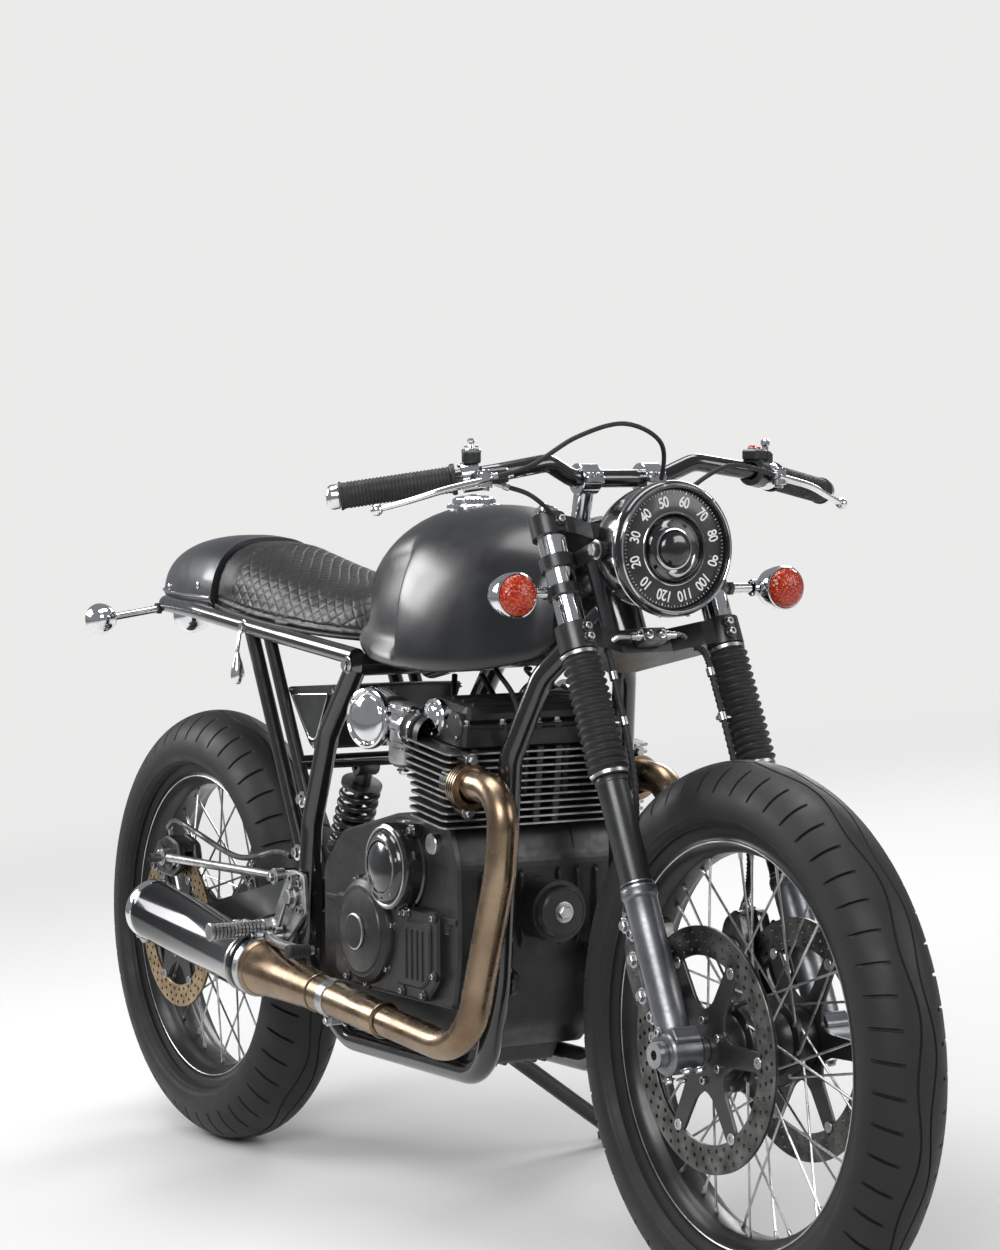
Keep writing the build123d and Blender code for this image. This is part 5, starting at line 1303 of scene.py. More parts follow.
def build_hoses():
    """Brake hoses in a spiral wrap, from the lower clamp to each caliper."""
    hose, ends = Piece(), Piece()
    for side in (1, -1):
        outward = SIDE * side
        line = flowing(
            [
                fork_at(40, side * 60, LOWER_CLAMP + 8), fork_at(56, side * 68, LOWER_CLAMP - 12),
                fork_at(56, side * 70, 440), fork_at(54, side * 71, 370), fork_at(44, side * 76, 300),
                fork_at(18, side * 84, 240), fork_at(-6, side * 86, 205), fork_at(-24, side * 84, 184),
            ],
            26,
        )
        wrap = [3.6 + (0.9 if k % 3 == 1 else 0.0) for k in range(len(line))]
        hose.tube(line, wrap, 12)
        for at, toward in ((line[0], line[1] - line[0]), (line[-1], line[-2] - line[-1])):
            ends.turned([(0, -7), (5.2, -7), (5.2, 2), (4.6, 3), (4.6, 10), (4.2, 11)], at, toward, 16)
            ends.bolt(at - toward.normalized() * 6, -toward, 6.0, 6.0, washer=False)
        clip = fork_at(52, side * 73, 404)
        ends.tube([clip - outward * 9, clip - outward * 2, clip + outward * 10], 3.0, 10)
        ends.turned([(5.6, -5), (5.6, 5)], fork_at(55, side * 70.4, 404), STEER_UP, 16)
        ends.turned([(5.4, -5), (5.4, 5)], fork_at(56, side * 69.6, 462), STEER_UP, 16)
    hose.make("brake_hoses", "steering", RUBBER, (), "rubber", sharp=60)
    ends.make("hose_unions", "steering", STEEL, (), "steel", sharp=30)
    # The little junction block under the lamp
    block = Piece()
    middle = fork_at(56, 0, LOWER_CLAMP + 14)
    block.plate(oblong(17, 9, 3), middle - STEER_FORWARD * 16, STEER_FORWARD, 22, SIDE, 1)
    for side in (1, -1):
        outward = SIDE * side
        block.turned(
            [(0, 0), (5.4, 0), (5.4, 8), (4.4, 9), (4.4, 17)], middle + outward * 15, outward, 16, 1,
        )
        block.bolt(middle + outward * 9 + STEER_FORWARD * 6, STEER_FORWARD, 4.2, 3.6, 1, socket=True)
        block.tube(
            flowing(
                [
                    middle + outward * 30, fork_at(50, side * 46, LOWER_CLAMP + 16),
                    fork_at(40, side * 60, LOWER_CLAMP + 10),
                ],
                8,
            ),
            3.2, 10, 1,
        )
    block.make("hose_junction", "steering", [DARK, STEEL], (), "steel", sharp=30)


def build_calipers():
    """Two-piston calipers: two halves over the disc, a bridge, pins, a bleed nipple and bolts."""
    bodies, bits = Piece(), Piece()
    shape = [
        (-34, 44), (-60, 52), (-78, 66), (-91, 92), (-92, 128), (-84, 156), (-66, 174), (-40, 176),
        (-30, 166), (-33, 140), (-40, 118), (-42, 92), (-36, 66),
    ]
    for side in (1, -1):
        outward = SIDE * side
        y = side * FRONT_DISC_Y
        for half, wall in ((1, 15.5), (-1, 15.0)):
            start = fork_at(FORK_OFFSET, y + half * side * 5.4, 0)
            outline = rounded(shape, 8, 3)
            axis = SIDE * (side * half)
            v = frame_of(axis, STEER_FORWARD)[1]
            mirrored = [(f, h * (1 if v.dot(STEER_UP) > 0 else -1)) for f, h in outline]
            bodies.plate(mirrored, start, axis, wall, STEER_FORWARD, 2.2)
            for at in (88.0, 132.0):
                spot = fork_at(FORK_OFFSET - 66, y, at) + axis * (5.4 + wall)
                bodies.turned(
                    [(18.5, -1), (18.5, 1.2), (17, 2.6), (12, 2.8), (11, 2.0), (0, 2.0)], spot, axis, 32,
                )
                if half > 0:
                    bits.turned(
                        [(9.4, 1.6), (9.4, 3.2), (8.4, 3.8), (5.5, 3.8), (5.5, 2.4), (0, 2.4)], spot, axis,
                        6,
                    )
        bridge = [fork_at(FORK_OFFSET - 88, y - 8, 110), fork_at(FORK_OFFSET - 88, y + 8, 110)]
        bodies.tube(bridge, 9, 18)
        for at in (60.0, 162.0):
            bits.bolt(fork_at(FORK_OFFSET - 58, y + side * 21, at), outward, 6.2, 5.0, socket=True)
        for at in (84.0, 118.0):
            bits.tube(
                [fork_at(FORK_OFFSET - 44, y - 19, at + 18), fork_at(FORK_OFFSET - 44, y + 19, at + 18)],
                2.6, 10,
            )
        nipple = fork_at(FORK_OFFSET - 50, y + side * 12, 176)
        bits.turned(
            [(5, -2), (5, 3), (3, 4), (3, 10), (3.8, 11), (3.8, 14), (2, 16), (0, 16)], nipple, STEER_UP,
            14,
        )
        banjo = fork_at(-20, side * 84, 176)
        bits.turned([(8, -4.5), (8, 4.5)], banjo, outward, 24)
        bits.bolt(banjo + outward * 4.5, outward, 6.4, 5)
        # A ring on the disc's guard, bright as in the photograph
        ring = fork_at(FORK_OFFSET - 30, side * 90.4, 148)
        bits.turned([(4.2, 0), (4.2, 2.4), (7.4, 2.4), (8.0, 1.6), (8.0, 0)], ring, outward, 24)
    bodies.make("front_caliper_bodies", "steering", [DARK], ("front_calipers",), "black_alloy", sharp=30)
    bits.make("front_caliper_hardware", "steering", STEEL, (), "steel", sharp=30)


# Headlamp with its dial
LAMP_FACE = Vector((1244, 0, 902))
NUMERALS, NUMERAL_RADIUS, NUMERAL_HEIGHT = 12, 56.4, 18.5
TICKS, TICK_RADIUS = 96, 69.8


def dial_text(label, height):
    """A plain numeral that faces forwards."""
    curve = bpy.data.curves.new("numeral", "FONT")
    curve.body = label
    curve.size = height
    curve.align_x = "CENTER"
    curve.align_y = "CENTER"
    curve.extrude = 0.35
    curve.offset = 0.010 * height
    curve.space_character = 0.92
    holder = bpy.data.objects.new("numeral", curve)
    mesh = bpy.data.meshes.new_from_object(holder)
    verts = [Vector((v.co.z, v.co.x * 0.82, v.co.y)) for v in mesh.vertices]
    faces = [tuple(p.vertices) for p in mesh.polygons]
    bpy.data.objects.remove(holder)
    bpy.data.curves.remove(curve)
    bpy.data.meshes.remove(mesh)
    return verts, faces


def build_headlamp():
    x, _, z = face = LAMP_FACE
    bowl = (
        (
            [
                (0, -112), (14, -111.5), (30, -109), (46, -101), (60, -88), (69, -74), (74.5, -58),
                (77, -40), (78, -24), (78, -19), (79.5, -18.5), (79.5, -18.5),
            ],
            0,
        ),
        ([(79.5, -18.5), (81.4, -16), (82, -11), (81.4, -5), (79.4, -1.6), (78.2, -0.8)], 0),
        ([(81.3, -16.6), (82.2, -16.0), (82.3, -14.6), (81.6, -14.0)], 1),
        ([(78.2, -0.8), (77.4, 0.2), (76.4, 0.2), (75.8, -0.4)], 1),
        ([(75.8, -0.4), (74.4, -0.6), (73.4, -1.4), (73.4, -1.4)], 0),
        ([(73.4, -1.4), (72.6, -3.5), (72.4, -9.0)], 0),
    )
    shell = Piece()
    for rows, slot in bowl:
        shell.turned(rows, face, FORWARD, 96, slot)
    shell.make("headlamp_bowl", "steering", [GLOSS, CHROME], ("headlamp_shell",), "gloss_black", sharp=40)
    disc = (
        (
            [
                (72.3, -9.4), (72.3, -8.2), (70.6, -7.0), (44.0, -7.0), (44.0, -7.0), (43.4, -6.0),
                (41.6, -6.0), (41.0, -7.5),
            ],
            96, 0,
        ),
        ([(41.0, -7.5), (40.2, -12), (36, -17), (29, -20), (25.4, -20.5)], 96, 1),
        ([(25.4, -20.5), (25.4, -8), (24.6, -6.4), (23.2, -6.2), (22.6, -7.4), (22.6, -7.4)], 72, 2),
        ([(22.6, -7.4), (18, -16), (9, -21), (0, -22)], 72, 1),
        ([(44.6, -6.9), (44.2, -6.2), (43.2, -5.8)], 96, 2),
    )
    dial = Piece()
    for rows, segments, slot in disc:
        dial.turned(rows, face, FORWARD, segments, slot)
    dial.make(
        "headlamp_dial_face", "steering", [DIAL, REFLECTOR, CHROME], ("headlamp_dial",), "dial", sharp=40,
    )
    dome = Piece()
    for rows in (
        [(22.4, -6.8), (22.0, -4.4), (19.5, -1.2), (15, 1.0), (8, 2.0), (0, 2.0)],
        [(22.4, -6.8), (20, -7.4), (12, -5), (0, -3.6)],
    ):
        dome.turned(rows, face, FORWARD, 64)
    dome.make("headlamp_lens", "steering", GLOSS, (), "dial", sharp=60)
    marks = Piece()
    for k in range(NUMERALS):
        turn = 2 * pi * (k + 0.5) / NUMERALS
        centre = face + Vector((-6.9, NUMERAL_RADIUS * sin(turn), NUMERAL_RADIUS * cos(turn)))
        verts, faces = dial_text(str(10 + 10 * ((k + 5) % NUMERALS)), NUMERAL_HEIGHT)
        spin = Matrix.Rotation(-turn, 4, "X")
        marks.add([spin @ v + centre for v in verts], faces, 0, False)
    for k in range(TICKS):
        turn = 2 * pi * k / TICKS
        long = 3.4 if k % 8 == 4 else (2.4 if k % 2 == 0 else 1.3)
        out = Vector((0, sin(turn), cos(turn)))
        across = Vector((0, cos(turn), -sin(turn)))
        width = 0.5 if k % 8 == 4 else 0.3
        verts = [
            face + out * r + across * w + FORWARD * h
            for r in (TICK_RADIUS, TICK_RADIUS - long)
            for w in (-width, width)
            for h in (-6.95, -6.6)
        ]
        marks.add(
            verts, [(0, 1, 3, 2), (4, 6, 7, 5), (0, 4, 5, 1), (2, 3, 7, 6), (1, 5, 7, 3), (0, 2, 6, 4)], 0,
            False,
        )
    marks.make("headlamp_numerals", "steering", WHITE, (), "dial", sharp=30)
    fix = Piece()
    for side in (1, -1):
        at = Vector((x - 44, side * 86, z))
        fix.bolt(at, SIDE * side, 8, 7)
        fix.screw((x - 9, side * 20, z - 79), Vector((0, side * 0.24, -1)), 2.6, 2.4)
    fix.make("headlamp_bolts", "steering", STEEL, (), "steel", sharp=30)


# Indicators and rear lamps
def lamp_shell(piece, lens, at, axis, radius, depth):
    """A bullet shell with a domed, faceted lens. The shell's back is at `at`."""
    u = radius
    piece.turned(
        [
            (0, 0), (u * 0.30, 0.6), (u * 0.60, depth * 0.10), (u * 0.84, depth * 0.28),
            (u * 0.95, depth * 0.48), (u, depth * 0.66), (u, depth * 0.74), (u, depth * 0.74),
            (u * 0.99, depth * 0.77), (u * 0.93, depth * 0.78), (u * 0.90, depth * 0.74),
        ],
        at, axis, 48,
    )
    rows = [(u * 0.91, depth * 0.75)]
    for k in range(1, 7):
        turn = radians(15 * k)
        rows.append((u * 0.91 * cos(turn), depth * 0.78 + depth * 0.22 * sin(turn)))
    for profile in (rows, [(0, depth * 0.72), (u * 0.88, depth * 0.72)]):
        lens.turned(profile, at, axis, 48)


def build_indicators():
    shell, lens = Piece(), Piece()
    for side in (1, -1):
        outward = SIDE * side
        x, z = LAMP_FACE.x - 98, LAMP_FACE.z - 52
        lamp_shell(shell, lens, Vector((x, side * 192, z)), FORWARD, 27.5, 62)
        stalk = [Vector((x + 14, side * 127, z)), Vector((x + 20, side * 168, z))]
        shell.tube(stalk, 6, 20)
        shell.turned([(9, 0), (9, 5), (7.5, 7), (6, 7)], stalk[0] + outward, outward, 6, 1)
        shell.turned([(10.5, -1), (10.5, 4), (8, 7), (6, 8)], stalk[1] - outward * 7, outward, 24)
        rows = [(17.7, -7), (20.6, -7), (21.5, -6), (21.5, 6), (20.6, 7), (17.7, 7)]
        shell.turned(rows, leg_at(0, side, 573.8), STEER_UP, 40, 1)
        shell.tube([(x + 11, side * 122, z), (x + 13, side * 130, z)], 8, 20, 1)
    shell.make(
        "front_indicator_shells", "steering", [CHROME, SATIN], ("front_indicators",), "lamp_chrome",
        sharp=35,
    )
    lens.make("front_indicator_lenses", "steering", AMBER, (), "lens_orange", sharp=80)
    shell, lens, red = Piece(), Piece(), Piece()
    for side in (1, -1):
        lamp_shell(shell, lens, Vector((-12, side * 180, 785)), -FORWARD, 22.5, 46)
        shell.tube([(-34, side * 70, 800), (-34, side * 120, 793), (-34, side * 162, 787)], 5.6, 18)
        shell.turned([(9, 0), (9, 6), (7, 8), (5, 8)], (-34, side * 86, 798), SIDE * side, 6, 1)
    lamp_shell(shell, red, Vector((-80, 0, 786)), -FORWARD, 30, 38)
    shell.tube([(-88, 0, 786), (-80, 0, 812)], 6, 16, 1)
    shell.make("rear_lamp_shells", "chassis", [CHROME, SATIN], ("rear_lamps",), "lamp_chrome", sharp=35)
    lens.make("rear_indicator_lenses", "chassis", AMBER, (), "lens_orange", sharp=80)
    red.make("rear_lamp_lens", "chassis", RED, (), "lens_orange", sharp=80)


# Handlebar and controls
BAR_CENTRE = Vector((1110, 0, 986))
BAR_HALF = [(0, 0, 0), (0, 62, 0), (12, 105, 20), (20, 190, 7), (-62, 350, -18)]


def bar_at(index, side):
    x, y, z = BAR_HALF[index]
    return BAR_CENTRE + Vector((x, y * side, z))


def build_bar():
    points = [bar_at(k, -1) for k in (4, 3, 2, 1)] + [bar_at(k, 1) for k in (1, 2, 3, 4)]
    line = path(points, [40, 30, 40, 40, 30, 40], 5)
    bar = Piece().tube(line, 11, 28)
    bar.make("handlebar_tube", "steering", GLOSS, ("handlebar",), "chrome", sharp=60)
    clamps = Piece()
    for side in (1, -1):
        y = side * 45
        middle = BAR_CENTRE + SIDE * y
        foot = fork_at(26, y, TOP_CLAMP + 22)
        post = (middle - foot).normalized()
        clamps.turned(
            [(15.5, 0), (15.5, 3), (13, 5), (12, 12), (12, (middle - foot).length - 8)], foot, post, 32,
        )
        clamps.turned(
            [(11.2, -13), (18.6, -13), (19.2, -12), (19.2, 12), (18.6, 13), (11.2, 13)], middle, SIDE, 40,
        )
        clamps.plate(oblong(27, 13, 4), middle - UP * 5, UP, 8, FORWARD, 1.2)
        for at in (-22, 22):
            for row in (-7, 7):
                clamps.screw(middle + FORWARD * at + UP * 3 + SIDE * row, UP, 4.8, 5)
    clamps.make("bar_clamp_pair", "steering", CHROME, ("bar_clamps",), "chrome", sharp=30)


def build_grips():
    grips, ends = Piece(), Piece()
    for side in (1, -1):
        start, end = bar_at(3, side), bar_at(4, side)
        along = (end - start).normalized()
        length = (end - start).length
        first = 42.0
        rows = [(11.2, first), (18.6, first), (19.0, first + 1.5), (19.0, first + 4.5), (17.5, first + 6)]
        count = int((length - first - 12) / 4.4)
        for k in range(count):
            base = first + 7 + k * 4.4
            rows += [(15.1, base), (16.0, base + 0.5), (16.0, base + 2.9), (15.1, base + 3.4)]
        rows += [
            (16.0, length - 4), (17.2, length - 3), (17.2, length - 0.6), (16.4, length - 0.2),
            (11.2, length),
        ]
        grips.turned(rows, start, along, 40)
        ends.turned(
            [
                (0, 0.3), (13, 0.3), (15, 1.4), (15, 9), (13.5, 12), (8, 15), (6.5, 16), (5, 16), (5, 14),
                (0, 14),
            ],
            end, along, 36,
        )
    grips.make("grip_rubbers", "steering", RUBBER, ("grips",), "rubber", sharp=40)
    ends.make("bar_ends", "steering", CHROME, (), "chrome", sharp=35)


def lever_blade(piece, root, tip):
    """A polished lever: flat at the pivot, slim along the blade, with a ball at its end."""
    run = tip - root
    middle = root + run * 0.42 + Vector((11, 0, 3))
    line = flowing(
        [
            root - run * 0.04, root + run * 0.10 + Vector((5, 0, 1)), middle,
            root + run * 0.72 + Vector((6, 0, 1)), tip - run * 0.02,
        ],
        9,
    )
    count = len(line)
    rings = []
    for k, p in enumerate(line):
        tangent = (line[min(k + 1, count - 1)] - line[max(k - 1, 0)]).normalized()
        u = (FORWARD - tangent * FORWARD.dot(tangent)).normalized()
        v = tangent.cross(u)
        t = k / (count - 1)
        wide = 9.5 - 5.0 * min(1, t * 3) + 0.6 * sin(t * pi)
        thin = 5.0 - 1.4 * t
        rings.append([p + u * wide * cos(a) + v * thin * sin(a) for a in turns(14)])
    piece.loft(rings)
    along = (tip - line[-3]).normalized()
    piece.turned([(0, -7.5)] + arc_rows(0, 0, 7.5, -80, 80, 12) + [(0, 7.5)], tip, along, 24)


def build_controls():
    bright, dark, red = Piece(), Piece(), Piece()
    for side in (1, -1):
        start, end = bar_at(3, side), bar_at(4, side)
        along = (end - start).normalized()
        clamp = start + along * 24
        root = clamp + Vector((34, 0, -4))
        tip = BAR_CENTRE + Vector((3, side * 335, -34))
        lever_blade(bright, root, tip)
        # Perch: a ring in two halves, an arm and the lever's pivot
        bright.turned([(11.1, -11), (17, -11), (18, -10), (18, 10), (17, 11), (11.1, 11)], clamp, along, 36)
        dark.tube([clamp + Vector((8, 0, -1)), clamp + Vector((20, 0, -2)), root], [10, 9, 8.5], 18)
        bright.turned([(0, -9), (8.4, -9), (9, -8.2), (9, 8.2), (8.4, 9), (0, 9)], root, UP, 28)
        bright.screw(root + UP * 9, UP, 5.2, 3.6)
        bright.bolt(root - UP * 9, -UP, 5.2, 4.0, washer=False)
        for row in (-6.5, 6.5):
            bright.screw(clamp + along * row + UP * 12 + Vector((-12, 0, 0)), UP, 3.6, 4)
        stem = clamp + Vector((2, 0, 16))
        if side < 0:
            # Master cylinder and its reservoir on the right
            dark.tube([clamp + Vector((20, 4, -1)), clamp + Vector((23, 34, 2))], [9.5, 9.5], 24)
            bright.turned(
                [(6, -1), (9, 0), (9, 2), (5, 3), (5, 9), (3, 10)], clamp + Vector((23, 34, 2)),
                Vector((3, 30, 3)), 20,
            )
            dark.turned([(0, 0), (10.5, 0), (11.5, 2), (11.5, 13), (10.6, 14)], stem, UP, 28)
            bright.turned(
                [
                    (12.0, 13), (12.0, 16), (11.0, 17.2), (6, 17.6), (5, 18.4), (3.4, 19), (3.0, 23),
                    (4.4, 25), (5.0, 27), (3.6, 29.4), (0, 30),
                ],
                stem, UP, 28,
            )
            for y in (-7.5, 7.5):
                bright.bolt(stem + Vector((0, y, 19)), UP, 2.2, 1.8, washer=False)
        else:
            # Switch box with two red buttons on the left
            dark.turned(
                [(11.2, 14), (17, 14), (18.4, 16), (18.4, 34), (17, 36), (11.2, 36)], start - along * 24,
                along, 32,
            )
            box = start + along + Vector((0, 0, 15))
            outline = oblong(15, 11, 4)
            dark.plate(outline, box, UP, 13, along, 2.0)
            for x in (-7, 7):
                at = box + along * x + UP * 12.6
                bright.turned([(5.6, 0), (5.6, 1.6), (4.6, 2.2)], at, UP, 20)
                red.turned([(4.4, 0), (4.4, 3.6), (3.6, 4.6), (0, 5.0)], at, UP, 20)
            bright.turned(
                [(4, 0), (4, 19), (5.6, 21), (5.6, 26), (3, 28), (0, 28)], stem + Vector((2, 0, 0)), UP, 18,
            )
            dark.turned([(0, 0), (9, 0), (9.6, 2), (9.6, 12), (7, 15)], stem + Vector((2, 0, -2)), UP, 22)
    bright.make("lever_blades", "steering", CHROME, ("levers",), "chrome", sharp=32)
    dark.make("control_bodies", "steering", SATIN, (), "black_alloy", sharp=32)
    red.make("switch_buttons", "steering", RED, (), "lens_orange", sharp=40)


def build_cables():
    """The throttle and clutch cables, which loop ahead of the bar and go down behind the lamp."""
    cables, ends = Piece(), Piece()
    lines = [
        [
            (1156, -208, 988), (1172, -160, 1002), (1180, -100, 1036), (1176, -30, 1052), (1162, 30, 1030),
            (1136, 48, 985), (1108, 44, 930), (1096, 38, 880),
        ],
        [
            (1154, 210, 986), (1170, 168, 996), (1172, 120, 1000), (1156, 76, 972), (1128, 54, 930),
            (1104, 46, 872),
        ],
        [(1128, -176, 980), (1142, -140, 966), (1134, -100, 934), (1112, -76, 892), (1100, -66, 846)],
    ]
    for line in lines:
        dense = flowing(line, 12)
        cables.tube(dense, 2.9, 10)
        for at, toward in ((dense[0], dense[1] - dense[0]), (dense[-1], dense[-2] - dense[-1])):
            ends.turned([(0, -6), (3.4, -6), (3.4, 4), (4.4, 5), (4.4, 11), (3.2, 12)], at, toward, 14)
    cables.make("control_cables", "steering", RUBBER, (), "rubber", sharp=60)
    ends.make("cable_ferrules", "steering", STEEL, (), "steel", sharp=30)


# Bodywork
def eased(value):
    value = max(0.0, min(1.0, value))
    return value * value * (3 - 2 * value)


def through(rows, x):
    """Smooth values between rows, whose first entry is X."""
    if x <= rows[0][0]:
        return rows[0][1:]
    for k in range(len(rows) - 1):
        if x <= rows[k + 1][0]:
            a, b = rows[k], rows[k + 1]
            before, after = rows[max(k - 1, 0)], rows[min(k + 2, len(rows) - 1)]
            t = (x - a[0]) / (b[0] - a[0])
            made = []
            for j in range(1, len(a)):
                m0 = (b[j] - before[j]) / (b[0] - before[0]) * (b[0] - a[0])
                m1 = (after[j] - a[j]) / (after[0] - a[0]) * (b[0] - a[0])
                h = (2 * t ** 3 - 3 * t ** 2 + 1) * a[j] + (t ** 3 - 2 * t ** 2 + t) * m0
                made.append(h + (-2 * t ** 3 + 3 * t ** 2) * b[j] + (t ** 3 - t ** 2) * m1)
            return tuple(made)
    return rows[-1][1:]


def mirrored(x, row, shared=0):
    """A half section and its mirror image. The last point, and the first ones shared, aren't doubled."""
    return [(x, -y, z) for y, z in row] + [(x, y, z) for y, z in reversed(row[shared:-1])]


# The knee recess: its depth, its front end and how far it blends there
RECESS_DEPTH, RECESS_FRONT, RECESS_BLEND = 14.0, 788, 26
# X, half width, and the lowest and highest Z
TANK_ROWS = [
    (602, 86, 776, 872), (640, 108, 762, 906), (690, 124, 752, 934), (750, 132, 747, 950),
    (812, 135, 744, 954), (880, 127, 745, 951), (940, 111, 749, 941), (990, 88, 758, 926),
    (1020, 70, 766, 911), (1037, 56, 774, 899),
]


def build_tank():
    piece = Piece()
    xs = [602.5, 603, 605, 609, 615] + [622 + 6 * k for k in range(24)] + [764 + 1.8 * k for k in range(13)]
    xs += [790 + 6 * k for k in range(39)] + [1024, 1029, 1033, 1035.6, 1036.8, 1037]
    around = 30
    grid = []
    for x in xs:
        half, low, high = through(TANK_ROWS, x)
        tail = eased((x - 602) / 16)
        nose = eased((1037.4 - x) / 16)
        shrink = 0.86 + 0.14 * sqrt(max(0.0, min(tail, nose)))
        middle = (low + high) / 2
        low, high = middle + (low - middle) * shrink, middle + (high - middle) * shrink
        half *= shrink
        row = []
        tall = high - low
        waist = low + tall * 0.30
        for k in range(around + 1):
            t = k / around
            if t < 0.12:
                s = t / 0.12
                y, z = half * (0.70 + 0.235 * s), low
            elif t < 0.26:
                s = (t - 0.12) / 0.14 * pi / 2
                y, z = half * (0.935 + 0.065 * sin(s)), low + (waist - low) * 0.42 * (1 - cos(s))
            else:
                s = (t - 0.26) / 0.74
                angle = s * pi / 2
                base = low + (waist - low) * 0.42
                y = half * max(0.0, cos(angle)) ** 0.82
                z = base + (high - base) * sin(angle) ** 0.98
            crease = eased((RECESS_FRONT - x) / RECESS_BLEND)
            level = eased((z - low - 10) / 24) * eased((high - 26 - z) / 46)
            y -= RECESS_DEPTH * crease * level * eased(y / half * 2.2 - 1.0)
            row.append((y, z))
        row.insert(0, (30, low + 1))
        row.insert(0, (30, low + 34 * shrink))
        grid.append((x, row))
    piece.loft([mirrored(x, row) for x, row in grid])
    # The welded seam along the lower edge
    for side in (1, -1):
        seam = []
        for x, row in grid[3:-3]:
            y, z = row[5]
            seam.append((x, side * (y + 1.0), z + 0.6))
        piece.tube(seam, 2.4, 8)
    piece.make("tank_shell", "chassis", TANK, ("fuel_tank",), "satin_black", sharp=30)
    cap = Piece()
    origin = Vector((760, 0, 949))
    cap.turned([(36, 0), (36, 3.0), (34, 5), (31, 5.4), (31, 5.4), (30.5, 4.6), (28, 4.6)], origin, UP, 56)
    outline = []
    for k in range(64):
        a = 2 * pi * k / 64
        r = 28.4 if k % 2 else 27.2
        outline.append((r * cos(a), r * sin(a)))
    cap.plate(outline, origin + UP * 3, UP, 10, FORWARD, 1.2)
    cap.turned([(26, 12.8), (24, 14.8), (16, 16.4), (0, 17)], origin, UP, 48)
    cap.turned([(7, 16.2), (7, 17.6), (5.6, 18.2), (5.6, 16.9), (0, 16.9)], origin, UP, 24)
    cap.plate(oblong(8, 11, 2), origin + Vector((-32, 0, 3)), UP, 8, SIDE, 1)
    for a in turns(5, 0.4):
        cap.screw(origin + Vector((33.4 * cos(a), 33.4 * sin(a), 5)), UP, 2.0, 1.4)
    cap.make("filler_cap_flip", "chassis", CHROME, ("filler_cap",), "chrome", sharp=30)


SEAT_ROWS = [
    (164, 96, 806, 902), (230, 103, 798, 892), (350, 111, 786, 867), (480, 109, 777, 846),
    (560, 101, 773, 842), (612, 90, 771, 840),
]
COWL_ROWS = [
    (-131, 20, 822, 838), (-112, 38, 816, 856), (-70, 62, 812, 880), (-10, 80, 808, 897),
    (60, 92, 806, 906), (120, 97, 805, 908), (163.5, 98, 804, 905),
]
# The seat's cross seam, its diamonds, the remeshing grid and the most that the cloth may swell, in metres
SEAM_X, DIAMOND_LENGTH, DIAMOND_WIDTH, SEAT_VOXEL, SEAT_SWELL = 228, 27, 21, 0.005, 0.006


def build_cowl():
    piece, trim = Piece(), Piece()
    xs = [-131, -129, -125, -119, -112, -104] + [-95 + 6 * k for k in range(43)] + [163.4]
    around = 26
    rows = []
    for x in xs:
        half, low, high = through(COWL_ROWS, x)
        tail = sqrt(max(0.0, min(1.0, (x + 133) / 16)))
        row = []
        for k in range(around + 1):
            t = k / around
            if t < 0.16:
                y, z = half * (0.3 + 0.66 * t / 0.16), low
            else:
                angle = (t - 0.16) / 0.84 * pi / 2
                y = half * max(0.0, cos(angle)) ** 0.74 * (0.5 + 0.5 * tail)
                z = low + 3 + (high - low - 3) * sin(angle) ** 0.9
            row.append((y, z))
        rows.append((x, row))
    piece.loft([mirrored(x, row) for x, row in rows])
    piece.make("tail_cowl_shell", "chassis", COWL, ("tail_cowl",), "cowl_grey", sharp=40)
    edge = []
    for x, row in rows[1:]:
        y, z = row[5]
        edge.append(Vector((x, -y - 0.8, z + 4.5)))
    edge = list(reversed(edge)) + [Vector((p.x, -p.y, p.z)) for p in edge]
    trim.tube(edge, 2.2, 10)
    for side in (1, -1):
        for x, y, z in ((118, 95.5, 836), (-20, 77, 830)):
            trim.turned([(5.2, 0), (5.2, 1.2), (4.2, 2.0), (0, 2.2)], (x, side * y, z), SIDE * side, 20)
    trim.make("tail_trim", "chassis", CHROME, (), "chrome", sharp=40)


